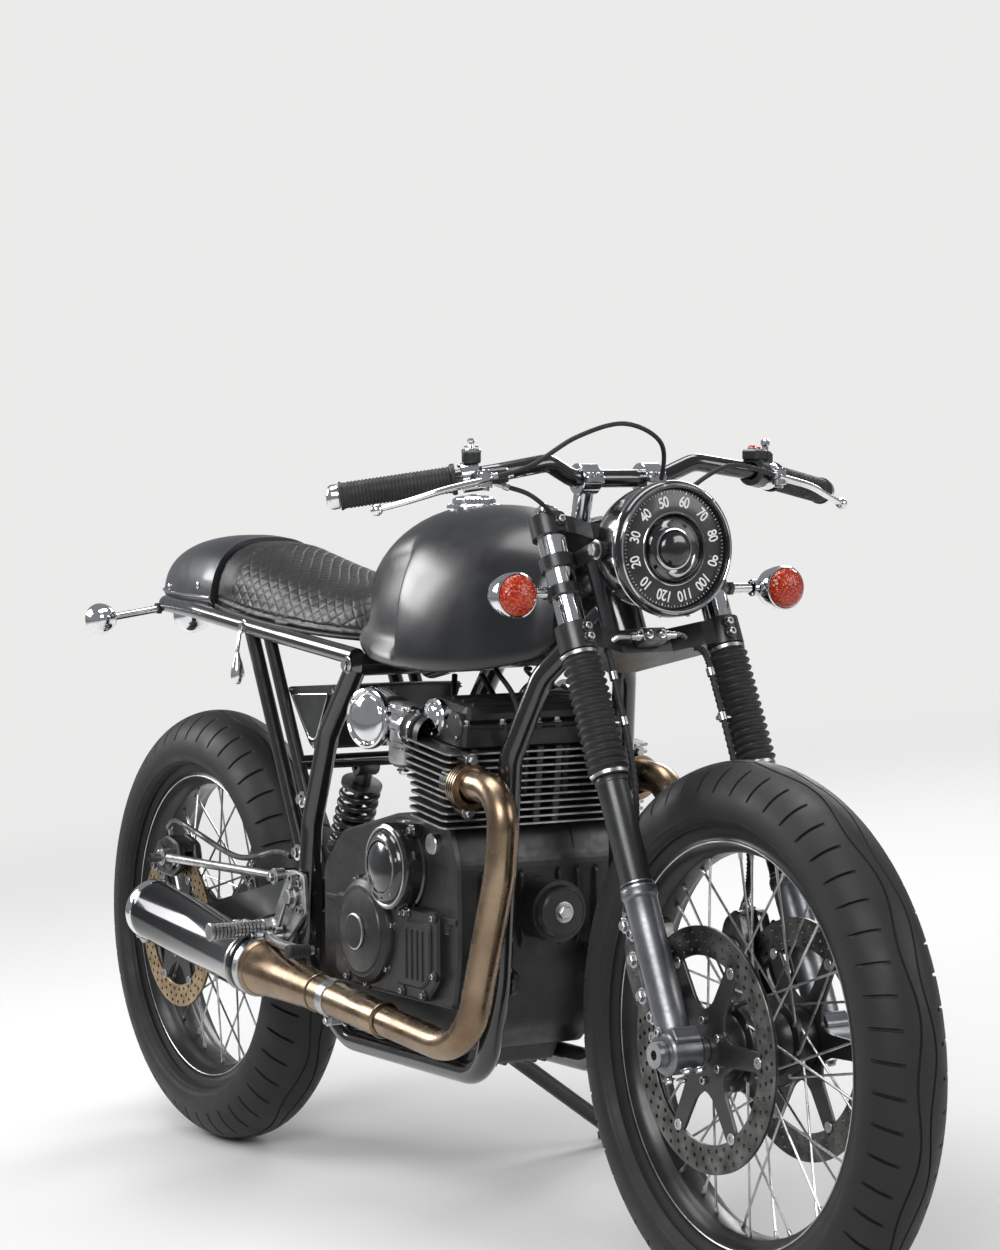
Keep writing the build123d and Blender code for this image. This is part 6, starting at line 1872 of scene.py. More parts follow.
def build_seat():
    xs = [165.5, 168, 173, 180] + [190 + 10 * k for k in range(41)] + [598, 605, 609]
    around = 20
    rows = []
    for x in xs:
        half, low, high = through(SEAT_ROWS, x)
        end = min(1.0, sqrt(max(0.02, (611 - x) / 26)))
        row = []
        for k in range(around + 1):
            t = k / around
            if t < 0.2:
                y, z = half * (0.86 * t / 0.2), low + 2
            else:
                angle = (t - 0.2) / 0.8 * pi / 2
                y = (half - 5) * max(0.0, cos(angle)) ** 0.66
                z = low + 4 + (high - low - 8) * (0.55 + 0.45 * end) * sin(angle) ** 0.92
            row.append((y, z))
        rows.append((x, row))
    piece = Piece().loft([mirrored(x, row, 1) for x, row in rows])
    mesh = bpy.data.meshes.new("seat_cushion")
    mesh.from_pydata([LEANED @ Vector(v) for v in piece.verts], [], piece.faces)
    seat = bpy.data.objects.new("seat_cushion", mesh)
    bpy.context.scene.collection.objects.link(seat)
    bm = bmesh.new()
    bm.from_mesh(mesh)
    bmesh.ops.recalc_face_normals(bm, faces=bm.faces)
    bm.to_mesh(mesh)
    bm.free()
    bpy.context.view_layer.objects.active = seat
    remesh = seat.modifiers.new("remesh", "REMESH")
    remesh.mode = "VOXEL"
    remesh.voxel_size = SEAT_VOXEL
    bpy.ops.object.modifier_apply(modifier="remesh")
    swell(seat, SEAT_SWELL)
    relax = seat.modifiers.new("relax", "SMOOTH")
    relax.factor = 0.5
    relax.iterations = 10
    bpy.ops.object.modifier_apply(modifier="relax")
    divide = seat.modifiers.new("divide", "SUBSURF")
    divide.levels = 1
    bpy.ops.object.modifier_apply(modifier="divide")
    mesh = seat.data
    normals = [v.normal.copy() for v in mesh.vertices]
    quilt = []
    for vertex, normal in zip(mesh.vertices, normals):
        p = UPRIGHT @ vertex.co
        half, low, high = through(SEAT_ROWS, p.x)
        turn = atan2(p.y, p.z - low - (high - low) * 0.1)
        rim = 1 if p.z < high - 12 else 0
        on_top = p.z > low + 17 and 232 < p.x < 606
        quilt.append(
            ((600 - p.x) / DIAMOND_LENGTH, turn * half * 0.92 / DIAMOND_WIDTH)
            if on_top else (0.5, 0.0)
        )
        seam = max(0.0, 1 - abs(p.x - SEAM_X) / 2.6) * eased((p.z - low - 10) / 6)
        welt = max(0.0, 1 - abs(p.z - low - 15) / 2.6) * rim
        vertex.co -= normal * max(seam * 3.0, welt * 2.2) / 1000
    layer = mesh.uv_layers.new(name="quilt")
    for loop in mesh.loops:
        layer.data[loop.index].uv = quilt[loop.vertex_index]
    mesh.materials.clear()
    mesh.materials.append(LEATHER)
    mesh.polygons.foreach_set("use_smooth", [True] * len(mesh.polygons))
    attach(seat, "chassis")
    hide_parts("seat_pad")
    # Stitches beside the cross seam, and piping round the base
    sewing = Piece()
    for offset in (-6.5, 6.5):
        x = SEAM_X + offset
        half, low, high = through(SEAT_ROWS, x)
        for k in range(-26, 27):
            turn = k * 0.052
            spot = surface_point(seat, x, turn, low + (high - low) * 0.1)
            if spot is None:
                continue
            at, normal = spot
            across = Vector((0, cos(turn), -sin(turn)))
            sewing.tube(
                [at - across * 1.9 - normal * 0.4, at + normal * 0.35, at + across * 1.9 - normal * 0.4],
                0.55, 6,
            )
    sewing.make("seat_stitching", "chassis", THREAD, (), "leather", sharp=60)
    base = Piece()
    edge = []
    for x in [609 - 12 * k for k in range(37)]:
        half, low, _ = through(SEAT_ROWS, x)
        edge.append(Vector((x, -half + 3, low + 4)))
    whole = list(reversed(edge)) + [
        Vector((611, -60, edge[0].z)), Vector((611, 60, edge[0].z)),
    ] + [Vector((p.x, -p.y, p.z)) for p in edge]
    base.tube(whole, 3.2, 10)
    base.make("seat_piping", "chassis", LEATHER, (), "leather", sharp=60)


def swell(seat, cap):
    """Inflates a closed pad with cloth under pressure and keeps each point within the cap."""
    before = [v.co.copy() for v in seat.data.vertices]
    cloth = seat.modifiers.new("cloth", "CLOTH")
    settings = cloth.settings
    settings.quality = 5
    settings.mass = 0.3
    settings.use_pressure = True
    settings.uniform_pressure_force = 4.0
    settings.effector_weights.gravity = 0.0
    settings.tension_stiffness = 20
    settings.compression_stiffness = 20
    cloth.collision_settings.use_collision = False
    cloth.point_cache.frame_start = 1
    cloth.point_cache.frame_end = 20
    scene = bpy.context.scene
    for number in range(1, 21):
        scene.frame_set(number)
    bpy.context.view_layer.objects.active = seat
    bpy.ops.object.modifier_apply(modifier="cloth")
    scene.frame_set(1)
    for vertex, old in zip(seat.data.vertices, before):
        move = vertex.co - old
        p = UPRIGHT @ old
        low = through(SEAT_ROWS, p.x)[1]
        limit = cap * (eased((p.z - low - 4) / 16) * eased((p.x - 170) / 14))
        if move.length > limit:
            vertex.co = old + move.normalized() * limit if limit > 0 else old


def surface_point(obj, x, turn, centre):
    """Where a ray from inside the seat meets its surface."""
    start = LEANED @ Vector((x, 0, centre + 14))
    aim = LEANED.to_3x3() @ Vector((0, sin(turn), cos(turn)))
    hit, at, normal, _ = obj.ray_cast(obj.matrix_world.inverted() @ start, aim.normalized())
    if not hit:
        return None
    return UPRIGHT @ (obj.matrix_world @ at), (UPRIGHT.to_3x3() @ normal).normalized()


# Engine
CASE_OUTLINE = [
    (548, 330), (575, 272), (620, 252), (860, 252), (898, 290), (918, 380), (918, 500), (900, 548),
    (884, 552), (760, 556), (690, 540), (600, 520), (548, 470),
]


def clipped(outline, index, limit):
    """The part of an outline above a limit of one coordinate."""
    kept = []
    for k, a in enumerate(outline):
        b = outline[(k + 1) % len(outline)]
        da, db = a[index] - limit, b[index] - limit
        if da >= 0:
            kept.append(a)
        if da * db < 0:
            t = da / (da - db)
            kept.append((a[0] + (b[0] - a[0]) * t, a[1] + (b[1] - a[1]) * t))
    return kept


def side_slab(piece, outline, low, high, bevel, corner):
    """A plate between two Y values with its outline in X and Z."""
    low, high = sorted((low, high))
    flat = [(x, -z) for x, z in outline]
    area = sum(a[0] * b[1] - b[0] * a[1] for a, b in zip(flat, flat[1:] + flat[:1]))
    if area < 0:
        flat.reverse()
    piece.plate(rounded(flat, corner), (0, low, 0), SIDE, high - low, FORWARD, bevel)


# The small bevel round a fin's rim
FIN_LIP = 0.5


def fin(piece, outline, origin, axis, thickness, across):
    """A fin with a cast face in the first slot and a machined edge in the second."""
    u, v, w = frame_of(axis, across)
    small = inset(outline, FIN_LIP)
    rings = []
    for shape, height in (
        (small, 0), (outline, FIN_LIP), (outline, thickness - FIN_LIP), (small, thickness),
    ):
        rings.append([origin + u * a + v * b + w * height for a, b in shape])
    count = len(outline)
    for k, slot in ((0, 0), (1, 1), (2, 0)):
        verts = rings[k] + rings[k + 1]
        faces = [(j, (j + 1) % count, count + (j + 1) % count, count + j) for j in range(count)]
        piece.add(verts, faces, slot, False)
    piece.add(rings[0], [tuple(reversed(range(count)))], 0, False)
    piece.add(rings[3], [tuple(range(count))], 0, False)


def box_outline(back, front, half, corner):
    return rounded([(front, -half), (front, half), (back, half), (back, -half)], corner)


def engine_plate(piece, outline, base, height, bevel):
    """A plate that stands square to the canted engine. The base is a point for engine_at."""
    piece.plate(outline, engine_at(*base), ENGINE_UP, height, ENGINE_FORWARD, bevel)


# The fins: how many in all, how many on the block, their pitch and thickness
FIN_COUNT, BLOCK_FINS, FIN_PITCH, FIN_WALL = 11, 4, 9.4, 3.2


def build_cylinders():
    block, head, bright = Piece(), Piece(), Piece()
    engine_plate(block, box_outline(-38, 36, 132, 20), (0, 0, 0), 38, 0.5)
    engine_plate(head, box_outline(-38, 36, 132, 20), (0, 0, 37.6), 66, 0.5)
    for k in range(FIN_COUNT):
        back = -40 - 32 * k / (FIN_COUNT - 1)
        half = 146 if k in (BLOCK_FINS - 1, BLOCK_FINS) else 150
        base = engine_at(0, 0, k * FIN_PITCH + 3)
        piece = block if k < BLOCK_FINS else head
        fin(piece, box_outline(back, 52, half, 10), base, ENGINE_UP, FIN_WALL, ENGINE_FORWARD)
    for y in (-14, 14):
        for low, high, piece in ((2, 38, block), (38, 104, head)):
            engine_plate(piece, box_outline(44, 51, 5, 2), (0, y, low), high - low, 1)
    for side in (1, -1):
        for y, x in ((104, 42), (104, -52), (30, 42), (30, -52)):
            head.turned(
                [(7.5, 0), (7.5, 62), (6, 64), (0, 64)], engine_at(x * 0.9, side * y, 38), ENGINE_UP, 20,
            )
        # Exhaust port and its ribbed collar
        port = engine_at(30, side * 123, 60.5)
        head.turned([(25, 0), (25, 22), (22, 26), (22, 30)], port, ENGINE_FORWARD, 40)
        rows = [(20.5, 24)]
        for k in range(4):
            rows += [(25.5, 24.6 + 5 * k), (29.5, 25.0 + 5 * k), (29.5, 27.4 + 5 * k), (25.5, 27.8 + 5 * k)]
        rows += [(20.5, 44)]
        bright.turned(rows, port, ENGINE_FORWARD, 48, 2)
        for turn in (-1, 1):
            stud = port + ENGINE_UP * turn * 33 + ENGINE_FORWARD * 20
            head.turned([(8.5, -6), (8.5, 14), (7.5, 15), (0, 15)], stud, ENGINE_FORWARD, 24)
            bright.bolt(stud + ENGINE_FORWARD * 15, ENGINE_FORWARD, 6.0, 6.0)
        inlet = engine_at(-34, side * 123, 106)
        head.turned([(26, -4), (26, 8), (21.5, 12), (21.5, 24)], inlet, -ENGINE_FORWARD, 40)
    # Rocker box and cover
    engine_plate(head, box_outline(-56, 46, 128, 14), (0, 0, 103), 26, 3)
    engine_plate(head, box_outline(-54, 44, 126, 14), (0, 0, 128), 5, 1.5)
    engine_plate(head, box_outline(-50, 40, 122, 18), (0, 0, 132), 22, 7)
    for x in (-30, -5, 20):
        engine_plate(head, box_outline(-2.5, 2.5, 100, 2), (x, 0, 153), 4, 1)
    for side in (1, -1):
        outward = SIDE * side
        for x, y in ((-48, 118), (38, 118), (-48, 66), (38, 66), (-48, 14), (38, 14)):
            head.turned([(8, 0), (8, 8), (7, 9), (0, 9)], engine_at(x, side * y, 124), ENGINE_UP, 20)
            bright.bolt(engine_at(x, side * y, 133), ENGINE_UP, 4.6, 5)
        cap = engine_at(-26, side * 121, 131)
        rows = [
            (25, 0), (25, 7), (23.6, 9), (19, 9.8), (19, 9.8), (17.6, 8.8), (15, 8.8), (13.6, 10.4),
            (8, 12), (0, 12.4),
        ]
        bright.turned(rows, cap, outward, 48, 1)
        for a in turns(3, 0.5):
            bright.screw(
                cap + ENGINE_UP * 21.4 * sin(a) + ENGINE_FORWARD * 21.4 * cos(a) + outward * 8, outward,
                2.6, 2.6,
            )
        other = engine_at(24, side * 121, 128)
        head.turned([(19, 0), (19, 5.5), (17.5, 7.5), (0, 8.5)], other, outward, 40)
        for a in turns(3, 1.2):
            bright.screw(
                other + ENGINE_UP * 15 * sin(a) + ENGINE_FORWARD * 15 * cos(a) + outward * 6, outward, 2.4,
                3,
            )
    block.make(
        "cylinder_block_finned", "chassis", [ENGINE, ALLOY], ("cylinder_block",), "satin_black", sharp=25,
    )
    head.make(
        "cylinder_head_finned", "chassis", [ENGINE, ALLOY], ("cylinder_head",), "satin_black", sharp=25,
    )
    bright.make("head_fittings", "chassis", [STEEL, CHROME, BRONZE], (), "steel", sharp=30)
    leads, plugs = Piece(), Piece()
    for side in (1, -1):
        seat = engine_at(44, side * 62, 96)
        aim = (ENGINE_FORWARD * 0.86 + ENGINE_UP * 0.5).normalized()
        plugs.turned([(5, -6), (6.4, 0), (6.4, 6), (5, 7)], seat, aim, 6, 1)
        plugs.turned([(7.5, 5), (8, 7), (8, 14), (7, 15), (7, 32), (6, 35), (0, 36)], seat, aim, 24)
        top = seat + aim * 28
        line = flowing(
            [
                top, top + UP * 26 + FORWARD * 12, top + UP * 64 - FORWARD * 6,
                top + UP * 96 - FORWARD * 50, (880, side * 40, 764),
            ],
            10,
        )
        leads.tube(line, 3.4, 12)
    plugs.make("plug_caps", "chassis", [RUBBER, STEEL], (), "rubber", sharp=35)
    leads.make("plug_leads", "chassis", RUBBER, (), "rubber", sharp=60)


def screws_round(piece, centre, axis, radius, count, size, start, lift, slot=0):
    """Screws spaced evenly round an axis."""
    u, v, w = frame_of(axis)
    for a in turns(count, start):
        piece.screw(
            centre + u * radius * cos(a) + v * radius * sin(a) + w * lift, axis, size, size * 0.8, slot,
        )


# The case's outer face, where the covers stand
COVER_Y = 117


def build_case():
    case, bright = Piece(), Piece()
    side_slab(case, CASE_OUTLINE, -98, 60, 4, 14)
    side_slab(case, clipped(CASE_OUTLINE, 0, 621), 50, 98, 4, 12)
    upper = clipped(CASE_OUTLINE, 1, 315)
    side_slab(case, upper, -118, -90, 4, 12)
    side_slab(case, clipped(upper, 0, 623), 90, 118, 4, 12)
    side_slab(case, [(664, 228), (646, 256), (854, 256), (836, 228)], -70, 70, 4, 6)
    for y in range(-60, 61, 15):
        side_slab(case, [(672, 224), (660, 240), (842, 240), (830, 224)], y - 1.6, y + 1.6, 0.8, 3)
    for y in (-84, -56, -28, 28, 56, 84):
        side_slab(
            case, [(912, 386), (912, 496), (924, 486), (926, 440), (924, 396)], y - 2.5, y + 2.5, 1, 4,
        )
    # The joint between the case halves and its bolts
    for side in (1, -1):
        first = 560 if side < 0 else 630
        side_slab(
            case, [(first, 424), (first, 432), (914, 432), (914, 424)], side * 116, side * 121.5, 1.2, 2,
        )
        for k in range(5):
            x = first + 26 + k * (300 if side < 0 else 250) / 4
            case.turned([(7.5, 0), (7.5, 16), (6.5, 17), (0, 17)], (x, side * 114, 412), UP, 20)
            bright.bolt((x, side * 114, 412), -UP, 4.4, 4.4)
        side_slab(case, [(905, 352), (974, 338), (982, 366), (916, 392)], side * 66, side * 74, 1.2, 8)
        bright.bolt((966, side * 74, 354), SIDE * side, 7, 6)
        bright.bolt((922, side * 74, 374), SIDE * side, 7, 6)
    bright.bolt((750, 0, 224), -UP, 11, 8)
    case.make("crankcase_shell", "chassis", ENGINE, ("crankcase",), "satin_black", sharp=28)
    bright.make("case_bolts", "chassis", STEEL, (), "steel", sharp=30)
    # Round crank cover in gloss black
    cover, trim = Piece(), Piece()
    hub = Vector((779, -COVER_Y, 489))
    rows = [
        (59, 0), (59, 5), (56.5, 7), (56.5, 27), (55, 30.5), (51, 32.5), (51, 32.5), (49, 31.4),
        (46.5, 31.4), (45.5, 34), (42, 37.4), (37, 39), (37, 39), (35.6, 37.6), (33, 37.6), (31.6, 39.4),
        (22, 43.4), (10, 45), (0, 45.4),
    ]
    cover.turned(rows, hub, -SIDE, 72)
    trim.turned([(51.6, 31.0), (52.4, 32.4), (50.6, 33.4), (49.6, 32.6)], hub, -SIDE, 72)
    trim.turned([(36.9, 38.4), (36.6, 39.8), (34.9, 39.8), (34.6, 38.6)], hub, -SIDE, 72)
    for a in turns(3, 0.9):
        ear = hub + Vector((62 * cos(a), 0, 62 * sin(a)))
        cover.turned([(9, 0), (9, 13), (8, 14.5), (0, 14.5)], ear, -SIDE, 28)
        trim.screw(ear - SIDE * 14.5, -SIDE, 4.6, 4.4)
    screws_round(trim, hub, -SIDE, 41.5, 5, 2.6, 0.3, 36.4)
    cover.make("crank_cover_ringed", "chassis", GLOSS, ("crank_cover",), "gloss_black", sharp=28)
    # Clutch, lower, generator and sprocket covers
    sides = Piece()
    clutch = Vector((694, -COVER_Y, 396))
    rows = [
        (73, 0), (73, 6), (70, 8), (70, 14), (67.5, 19), (60, 24), (60, 24), (58, 23), (55.5, 23), (54, 25),
        (40, 28.6), (20, 30.2), (0, 30.6),
    ]
    sides.turned(rows, clutch, -SIDE, 72)
    sides.turned([(24, 28), (24, 32), (22, 34), (6, 34.6), (0, 34.6)], clutch, -SIDE, 40)
    trim.turned([(24.2, 31.2), (24.0, 33.0), (22.4, 33.8), (21.6, 33.2)], clutch, -SIDE, 48)
    for a in turns(7, 0.2):
        ear = clutch + Vector((70 * cos(a), 0, 70 * sin(a)))
        sides.turned([(8, 0), (8, 12), (7, 13.4), (0, 13.4)], ear, -SIDE, 24)
        trim.screw(ear - SIDE * 13.4, -SIDE, 3.8, 3.6)
    low_cover = [(600, 332), (640, 320), (850, 320), (882, 350), (882, 438), (600, 438)]
    side_slab(sides, low_cover, -129, -110, 3.5, 12)
    side_slab(
        sides, [(772, 336), (846, 336), (866, 356), (866, 422), (800, 422), (784, 392)], -132.5, -122, 2.5,
        9,
    )
    for k in range(4):
        side_slab(
            sides, [(802 + 14 * k, 346), (802 + 14 * k, 412), (807 + 14 * k, 412), (807 + 14 * k, 346)],
            -134.5, -128, 1.2, 2,
        )
    for x, z in ((640, 330), (790, 328), (846, 328), (874, 356), (874, 430), (790, 430)):
        sides.turned([(7, 0), (7, 14), (6, 15), (0, 15)], (x, -COVER_Y, z), -SIDE, 20)
        trim.screw((x, -132, z), -SIDE, 3.8, 3.6)
    filler = Vector((862, -COVER_Y, 524))
    trim.turned([(14, 0), (14, 9), (13, 10.4), (0, 10.8)], filler, -SIDE, 12)
    generator = Vector((790, COVER_Y, 440))
    rows = [
        (73, 0), (73, 6), (70, 8), (70, 24), (67, 30), (60, 34), (60, 34), (58, 33), (55, 33), (54, 35.5),
        (40, 39), (0, 41),
    ]
    sides.turned(rows, generator, SIDE, 72)
    screws_round(trim, generator, SIDE, 64.5, 6, 3.8, 0.4, 31.6)
    side_slab(
        sides, [(522, 372), (640, 354), (670, 400), (658, 484), (600, 492), (526, 474)], 96.4, 111.6, 3.5,
        14,
    )
    for x, z in ((536, 384), (634, 368), (656, 402), (646, 474), (540, 462)):
        trim.screw((x, 111.6, z), SIDE, 4.0, 3.8)
    for k in range(3):
        side_slab(
            sides, [(556 + 22 * k, 396), (562 + 22 * k, 452), (568 + 22 * k, 452), (562 + 22 * k, 396)],
            110, 114, 1.2, 2,
        )
    sides.make("engine_side_covers", "chassis", ENGINE, ("engine_covers",), "satin_black", sharp=28)
    trim.make("cover_screws", "chassis", STEEL, (), "steel", sharp=30)
    rows = [(0, 60), (28, 60), (31, 58), (33, 54)]
    for k in reversed(range(7)):
        rows += [(34, 4 + 7 * k + 3.6), (39.5, 4 + 7 * k + 3.0), (39.5, 4 + 7 * k + 0.6), (34, 4 + 7 * k)]
    rows += [(34, 0)]
    canister = Piece().turned(list(reversed(rows)), (918.2, 0, 440), FORWARD, 48)
    canister.bolt((978, 0, 440), FORWARD, 9, 6, 1)
    canister.make("oil_filter_finned", "chassis", [ENGINE, STEEL], ("oil_filter",), "satin_black", sharp=28)


def build_intakes():
    body, chrome_bits, rubber_bits, mesh_cone = Piece(), Piece(), Piece(), Piece()
    away = -ENGINE_FORWARD
    for side in (1, -1):
        outward = SIDE * side
        mouth = engine_at(-34, side * 123, 106)
        rubber_bits.turned(
            [(22, 20), (24.5, 21), (24.5, 27), (22.6, 30), (22.6, 40), (24.5, 43), (24.5, 49), (22, 50)],
            mouth, away, 40,
        )
        for at in (22.0, 44.0):
            chrome_bits.turned(
                [(24.4, at), (26.0, at + 0.4), (26.0, at + 4.6), (24.4, at + 5)], mouth, away, 40,
            )
            chrome_bits.bolt(
                mouth + away * (at + 2.5) + outward * 4 + ENGINE_UP * 26, outward, 3.2, 8, washer=False,
            )
        body.turned(
            [
                (19, 48), (22, 49), (22, 55), (19.5, 57), (19.5, 92), (22, 94), (26, 96), (26, 102),
                (20, 103),
            ],
            mouth, away, 40,
        )
        centre = mouth + away * 72
        # Float bowl below and the dome above
        rows = [
            (0, -60), (6, -60), (7, -56), (13, -55), (19, -50), (20.6, -44), (20.6, -28), (24, -27),
            (24, -22), (20.6, -21), (20, -6),
        ]
        body.turned(rows, centre, ENGINE_UP, 40)
        body.turned(
            [(20, 6), (20, 16), (24, 17), (24, 21.6), (20.6, 22.6), (19.6, 26), (14, 28), (0, 28)], centre,
            ENGINE_UP, 40,
        )
        for k in range(4):
            a = pi / 4 + k * pi / 2
            spot = centre + ENGINE_FORWARD * 20 * cos(a) + SIDE * 20 * sin(a)
            body.turned([(5, -1), (5, 6), (4, 7), (0, 7)], spot + ENGINE_UP * 15.6, ENGINE_UP, 14)
            chrome_bits.screw(spot + ENGINE_UP * 22, ENGINE_UP, 3.0, 2.6)
            chrome_bits.screw(spot - ENGINE_UP * 28, -ENGINE_UP, 3.0, 2.6)
        chrome_bits.bolt(centre - ENGINE_UP * 60, -ENGINE_UP, 6.0, 4)
        # Chrome drum on the outside, as big as the filter
        drum = mouth + away * 128 + outward * 10 - ENGINE_UP * 2
        out = (outward + FORWARD * 0.22).normalized()
        rows = [
            (24, -6), (37, 2), (39.5, 6), (40, 9), (40, 14), (38.6, 16.5), (36, 17.4), (36, 17.4),
            (34.4, 15.6), (31, 14.8), (31, 14.8), (29.6, 16.6), (24, 19.4), (12, 21.4), (0, 21.8),
        ]
        chrome_bits.turned(rows, drum + out * 6, out, 64)
        for a in turns(3, 0.4):
            u, v, _ = frame_of(out)
            chrome_bits.screw(drum + out * 21.6 + u * 33 * cos(a) + v * 33 * sin(a), out, 3.0, 3.0)
        # Pleated filter with bright ends
        start = mouth + away * 102
        pleats = 40
        verts, faces = [], []
        for low, rad in ((6, 28.5), (46, 34.5)):
            for j in range(2 * pleats):
                a = pi * j / pleats
                r = rad + (1.6 if j % 2 else -1.2)
                verts.append(start + away * low + ENGINE_UP * r * cos(a) + SIDE * r * sin(a))
        for j in range(2 * pleats):
            n = (j + 1) % (2 * pleats)
            faces.append((j, n, 2 * pleats + n, 2 * pleats + j))
        mesh_cone.add(verts, faces, 0, False)
        mesh_cone.turned([(20, 0), (28, 0), (30.5, 1), (30.5, 6), (29, 7)], start, away, 48, 1)
        mesh_cone.turned(
            [(34, 45), (36.6, 46), (36.8, 50), (35, 52), (31, 52), (30, 50), (14, 49.4), (0, 49.4)], start,
            away, 48, 2,
        )
        rubber_bits.tube(
            flowing(
                [
                    centre - ENGINE_UP * 40 - outward * 18,
                    centre - ENGINE_UP * 50 - outward * 60 + FORWARD * 10, (740, side * 20, 730),
                ],
                10,
            ),
            4.0, 12,
        )
    rod_ends = [engine_at(-106, -108, 122), engine_at(-106, 108, 122)]
    chrome_bits.tube(rod_ends, 4.0, 14)
    rubber_bits.tube(
        flowing(
            [engine_at(-106, 96, 124), engine_at(-92, 70, 150), engine_at(-70, 30, 178), (860, 24, 742)],
            10,
        ),
        3.0, 10,
    )
    body.make("carburettor_bodies", "chassis", ALLOY, ("carburettors",), "carb_alloy", sharp=30)
    chrome_bits.make("carburettor_drums", "chassis", CHROME, (), "chrome", sharp=30)
    rubber_bits.make("intake_rubbers", "chassis", RUBBER, (), "rubber", sharp=40)
    mesh_cone.make("pod_filters", "chassis", [DARK, RUBBER, CHROME], (), "dark_steel", sharp=30)


# Exhaust: the pipes run into the silencers, the cans
PIPE_RADIUS, CAN_RADIUS = 20, 42


def build_exhausts():
    pipes, cans, trim = Piece(), Piece(), Piece()
    for side in (1, -1):
        outward = SIDE * side
        corners = [(946, 123, 608), (1048, 125, 604), (1036, 127, 500), (954, 130, 266), (692, 145, 293.5)]
        line = path([both_sides(c, side) for c in corners], [52, 120, 90], 6)
        pipes.tube(line, PIPE_RADIUS, 40)
        start, low = both_sides((430, 160, 321), side), both_sides((954, 130, 266), side)
        away = (low - start).normalized()
        rows = [
            (38.4, -6), (39.4, -3), (39.4, 14), (38, 16), (38, 16), (36.4, 19), (31, 90), (25.4, 170),
            (23.6, 250), (22.6, 332), (20, 333),
        ]
        pipes.turned(rows, start, away, 56)
        # Weld beads, the joint band and the clamp at the silencer
        for at, radius in ((332, 22.9), (170, 25.8), (19, 36.8)):
            pipes.tube(circle(start + away * at, away, radius, 60), 1.3, 8, closed=True)
        trim.turned([(24.6, 196), (26.2, 197), (26.2, 211), (24.6, 212)], start, away, 48)
        band = start + away * 204
        trim.plate(oblong(8, 7, 2), band - UP * 27 - SIDE * 9, SIDE, 18, away, 1.0)
        trim.bolt(band - UP * 29 + outward * 9, outward, 5, 4.4)
        trim.turned([(39.6, 0), (41.4, 1), (41.4, 12), (39.6, 13)], start, away, 56)
        trim.bolt(start + away * 6 + UP * 43 + outward * 8, outward, 4.6, 4.4)
        trim.plate(oblong(6, 6, 2), start + away * 6 + UP * 43 - SIDE * 8, SIDE, 16, FORWARD, 1.0)
        front, end = both_sides((430, 160, 321), side), both_sides((106, 170, 368), side)
        along = (end - front).normalized()
        length = (end - front).length
        rows = [
            (30, 1), (39, 1.5), (41, 3.5), (CAN_RADIUS, 8), (CAN_RADIUS, 14), (41.6, 15),
            (41.6, length - 26), (CAN_RADIUS, length - 25), (CAN_RADIUS, length - 16),
        ]
        cans.turned(rows, front, along, 64)
        rows = [
            (42.2, length - 16), (43.6, length - 14.6), (44, length - 12), (44, length - 3),
            (43, length - 0.8), (41, length), (39.4, length - 1), (39.4, length - 1), (38.4, length - 7),
            (30, length - 9), (26.4, length - 9), (26.4, length - 9), (25.8, length - 2),
            (25, length - 0.4), (23.4, length - 0.4), (22.4, length - 2), (22.4, length - 58),
        ]
        trim.turned(rows, front, along, 64, 1)
        trim.turned([(42.0, 16), (43.0, 17), (43.0, 20), (42.0, 21)], front, along, 64)
        cans.turned([(22.4, length - 58), (0, length - 56)], front, along, 40)
        screws_round(trim, front + along * (length - 8.6), along, 33.5, 6, 2.4, 0.3, 0.0, 1)
        # Hanger from the silencer to the foot plate
        hanger = front + along * 60 + UP * 41
        target = both_sides((452, 127, 362), side)
        trim.tube([hanger, hanger + UP * 4 - outward * 12, target], 4.5, 14)
        trim.bolt(hanger + UP * 1, UP, 6, 5)
    pipes.make("header_pipes", "chassis", BRONZE, ("headers",), "bronze", sharp=35)
    cans.make("muffler_cans", "chassis", MUFFLER, ("mufflers",), "gloss_black", sharp=35)
    trim.make("exhaust_trim", "chassis", [STEEL, CHROME], (), "chrome", sharp=30)


# Rear suspension, rear brake, foot controls and small chassis parts
def helix(start, end, radius, coils):
    """Points along a coil spring."""
    axis = end - start
    u, v, _ = frame_of(axis)
    steps = 20
    count = int(coils * steps)
    line = []
    for k in range(count + 1):
        a = 2 * pi * k / steps
        line.append(start + axis * (k / count) + (u * cos(a) + v * sin(a)) * radius)
    return line


def build_shock():
    steel, coil = Piece(), Piece()
    low, high = Vector((378, 0, 436)), Vector((452, 0, 590))
    axis = (high - low).normalized()
    first, last = (Vector((392, 0, 466)) - low).length, (Vector((440, 0, 566)) - low).length
    steel.turned(
        [
            (0, 2), (10, 2), (10, first), (30, first), (30, first + 5), (18, first + 6), (17, first + 60),
            (8, first + 62), (8, last - 6), (29, last - 5), (29, last), (12, last + 1),
            (12, (high - low).length - 4), (0, (high - low).length - 4),
        ],
        low, axis, 48,
    )
    for at in (low, high):
        steel.turned([(5, -16), (12, -16), (13, -14), (13, 14), (12, 16), (5, 16)], at, SIDE, 32)
    coil.tube(helix(low + axis * (first + 9), low + axis * (last - 9), 24.5, 6.5), 4.6, 12)
    steel.make("shock_body", "chassis", DARK, ("rear_shock",), "dark_steel", sharp=30)
    coil.make("shock_spring", "chassis", SATIN, (), "satin_black", sharp=60)


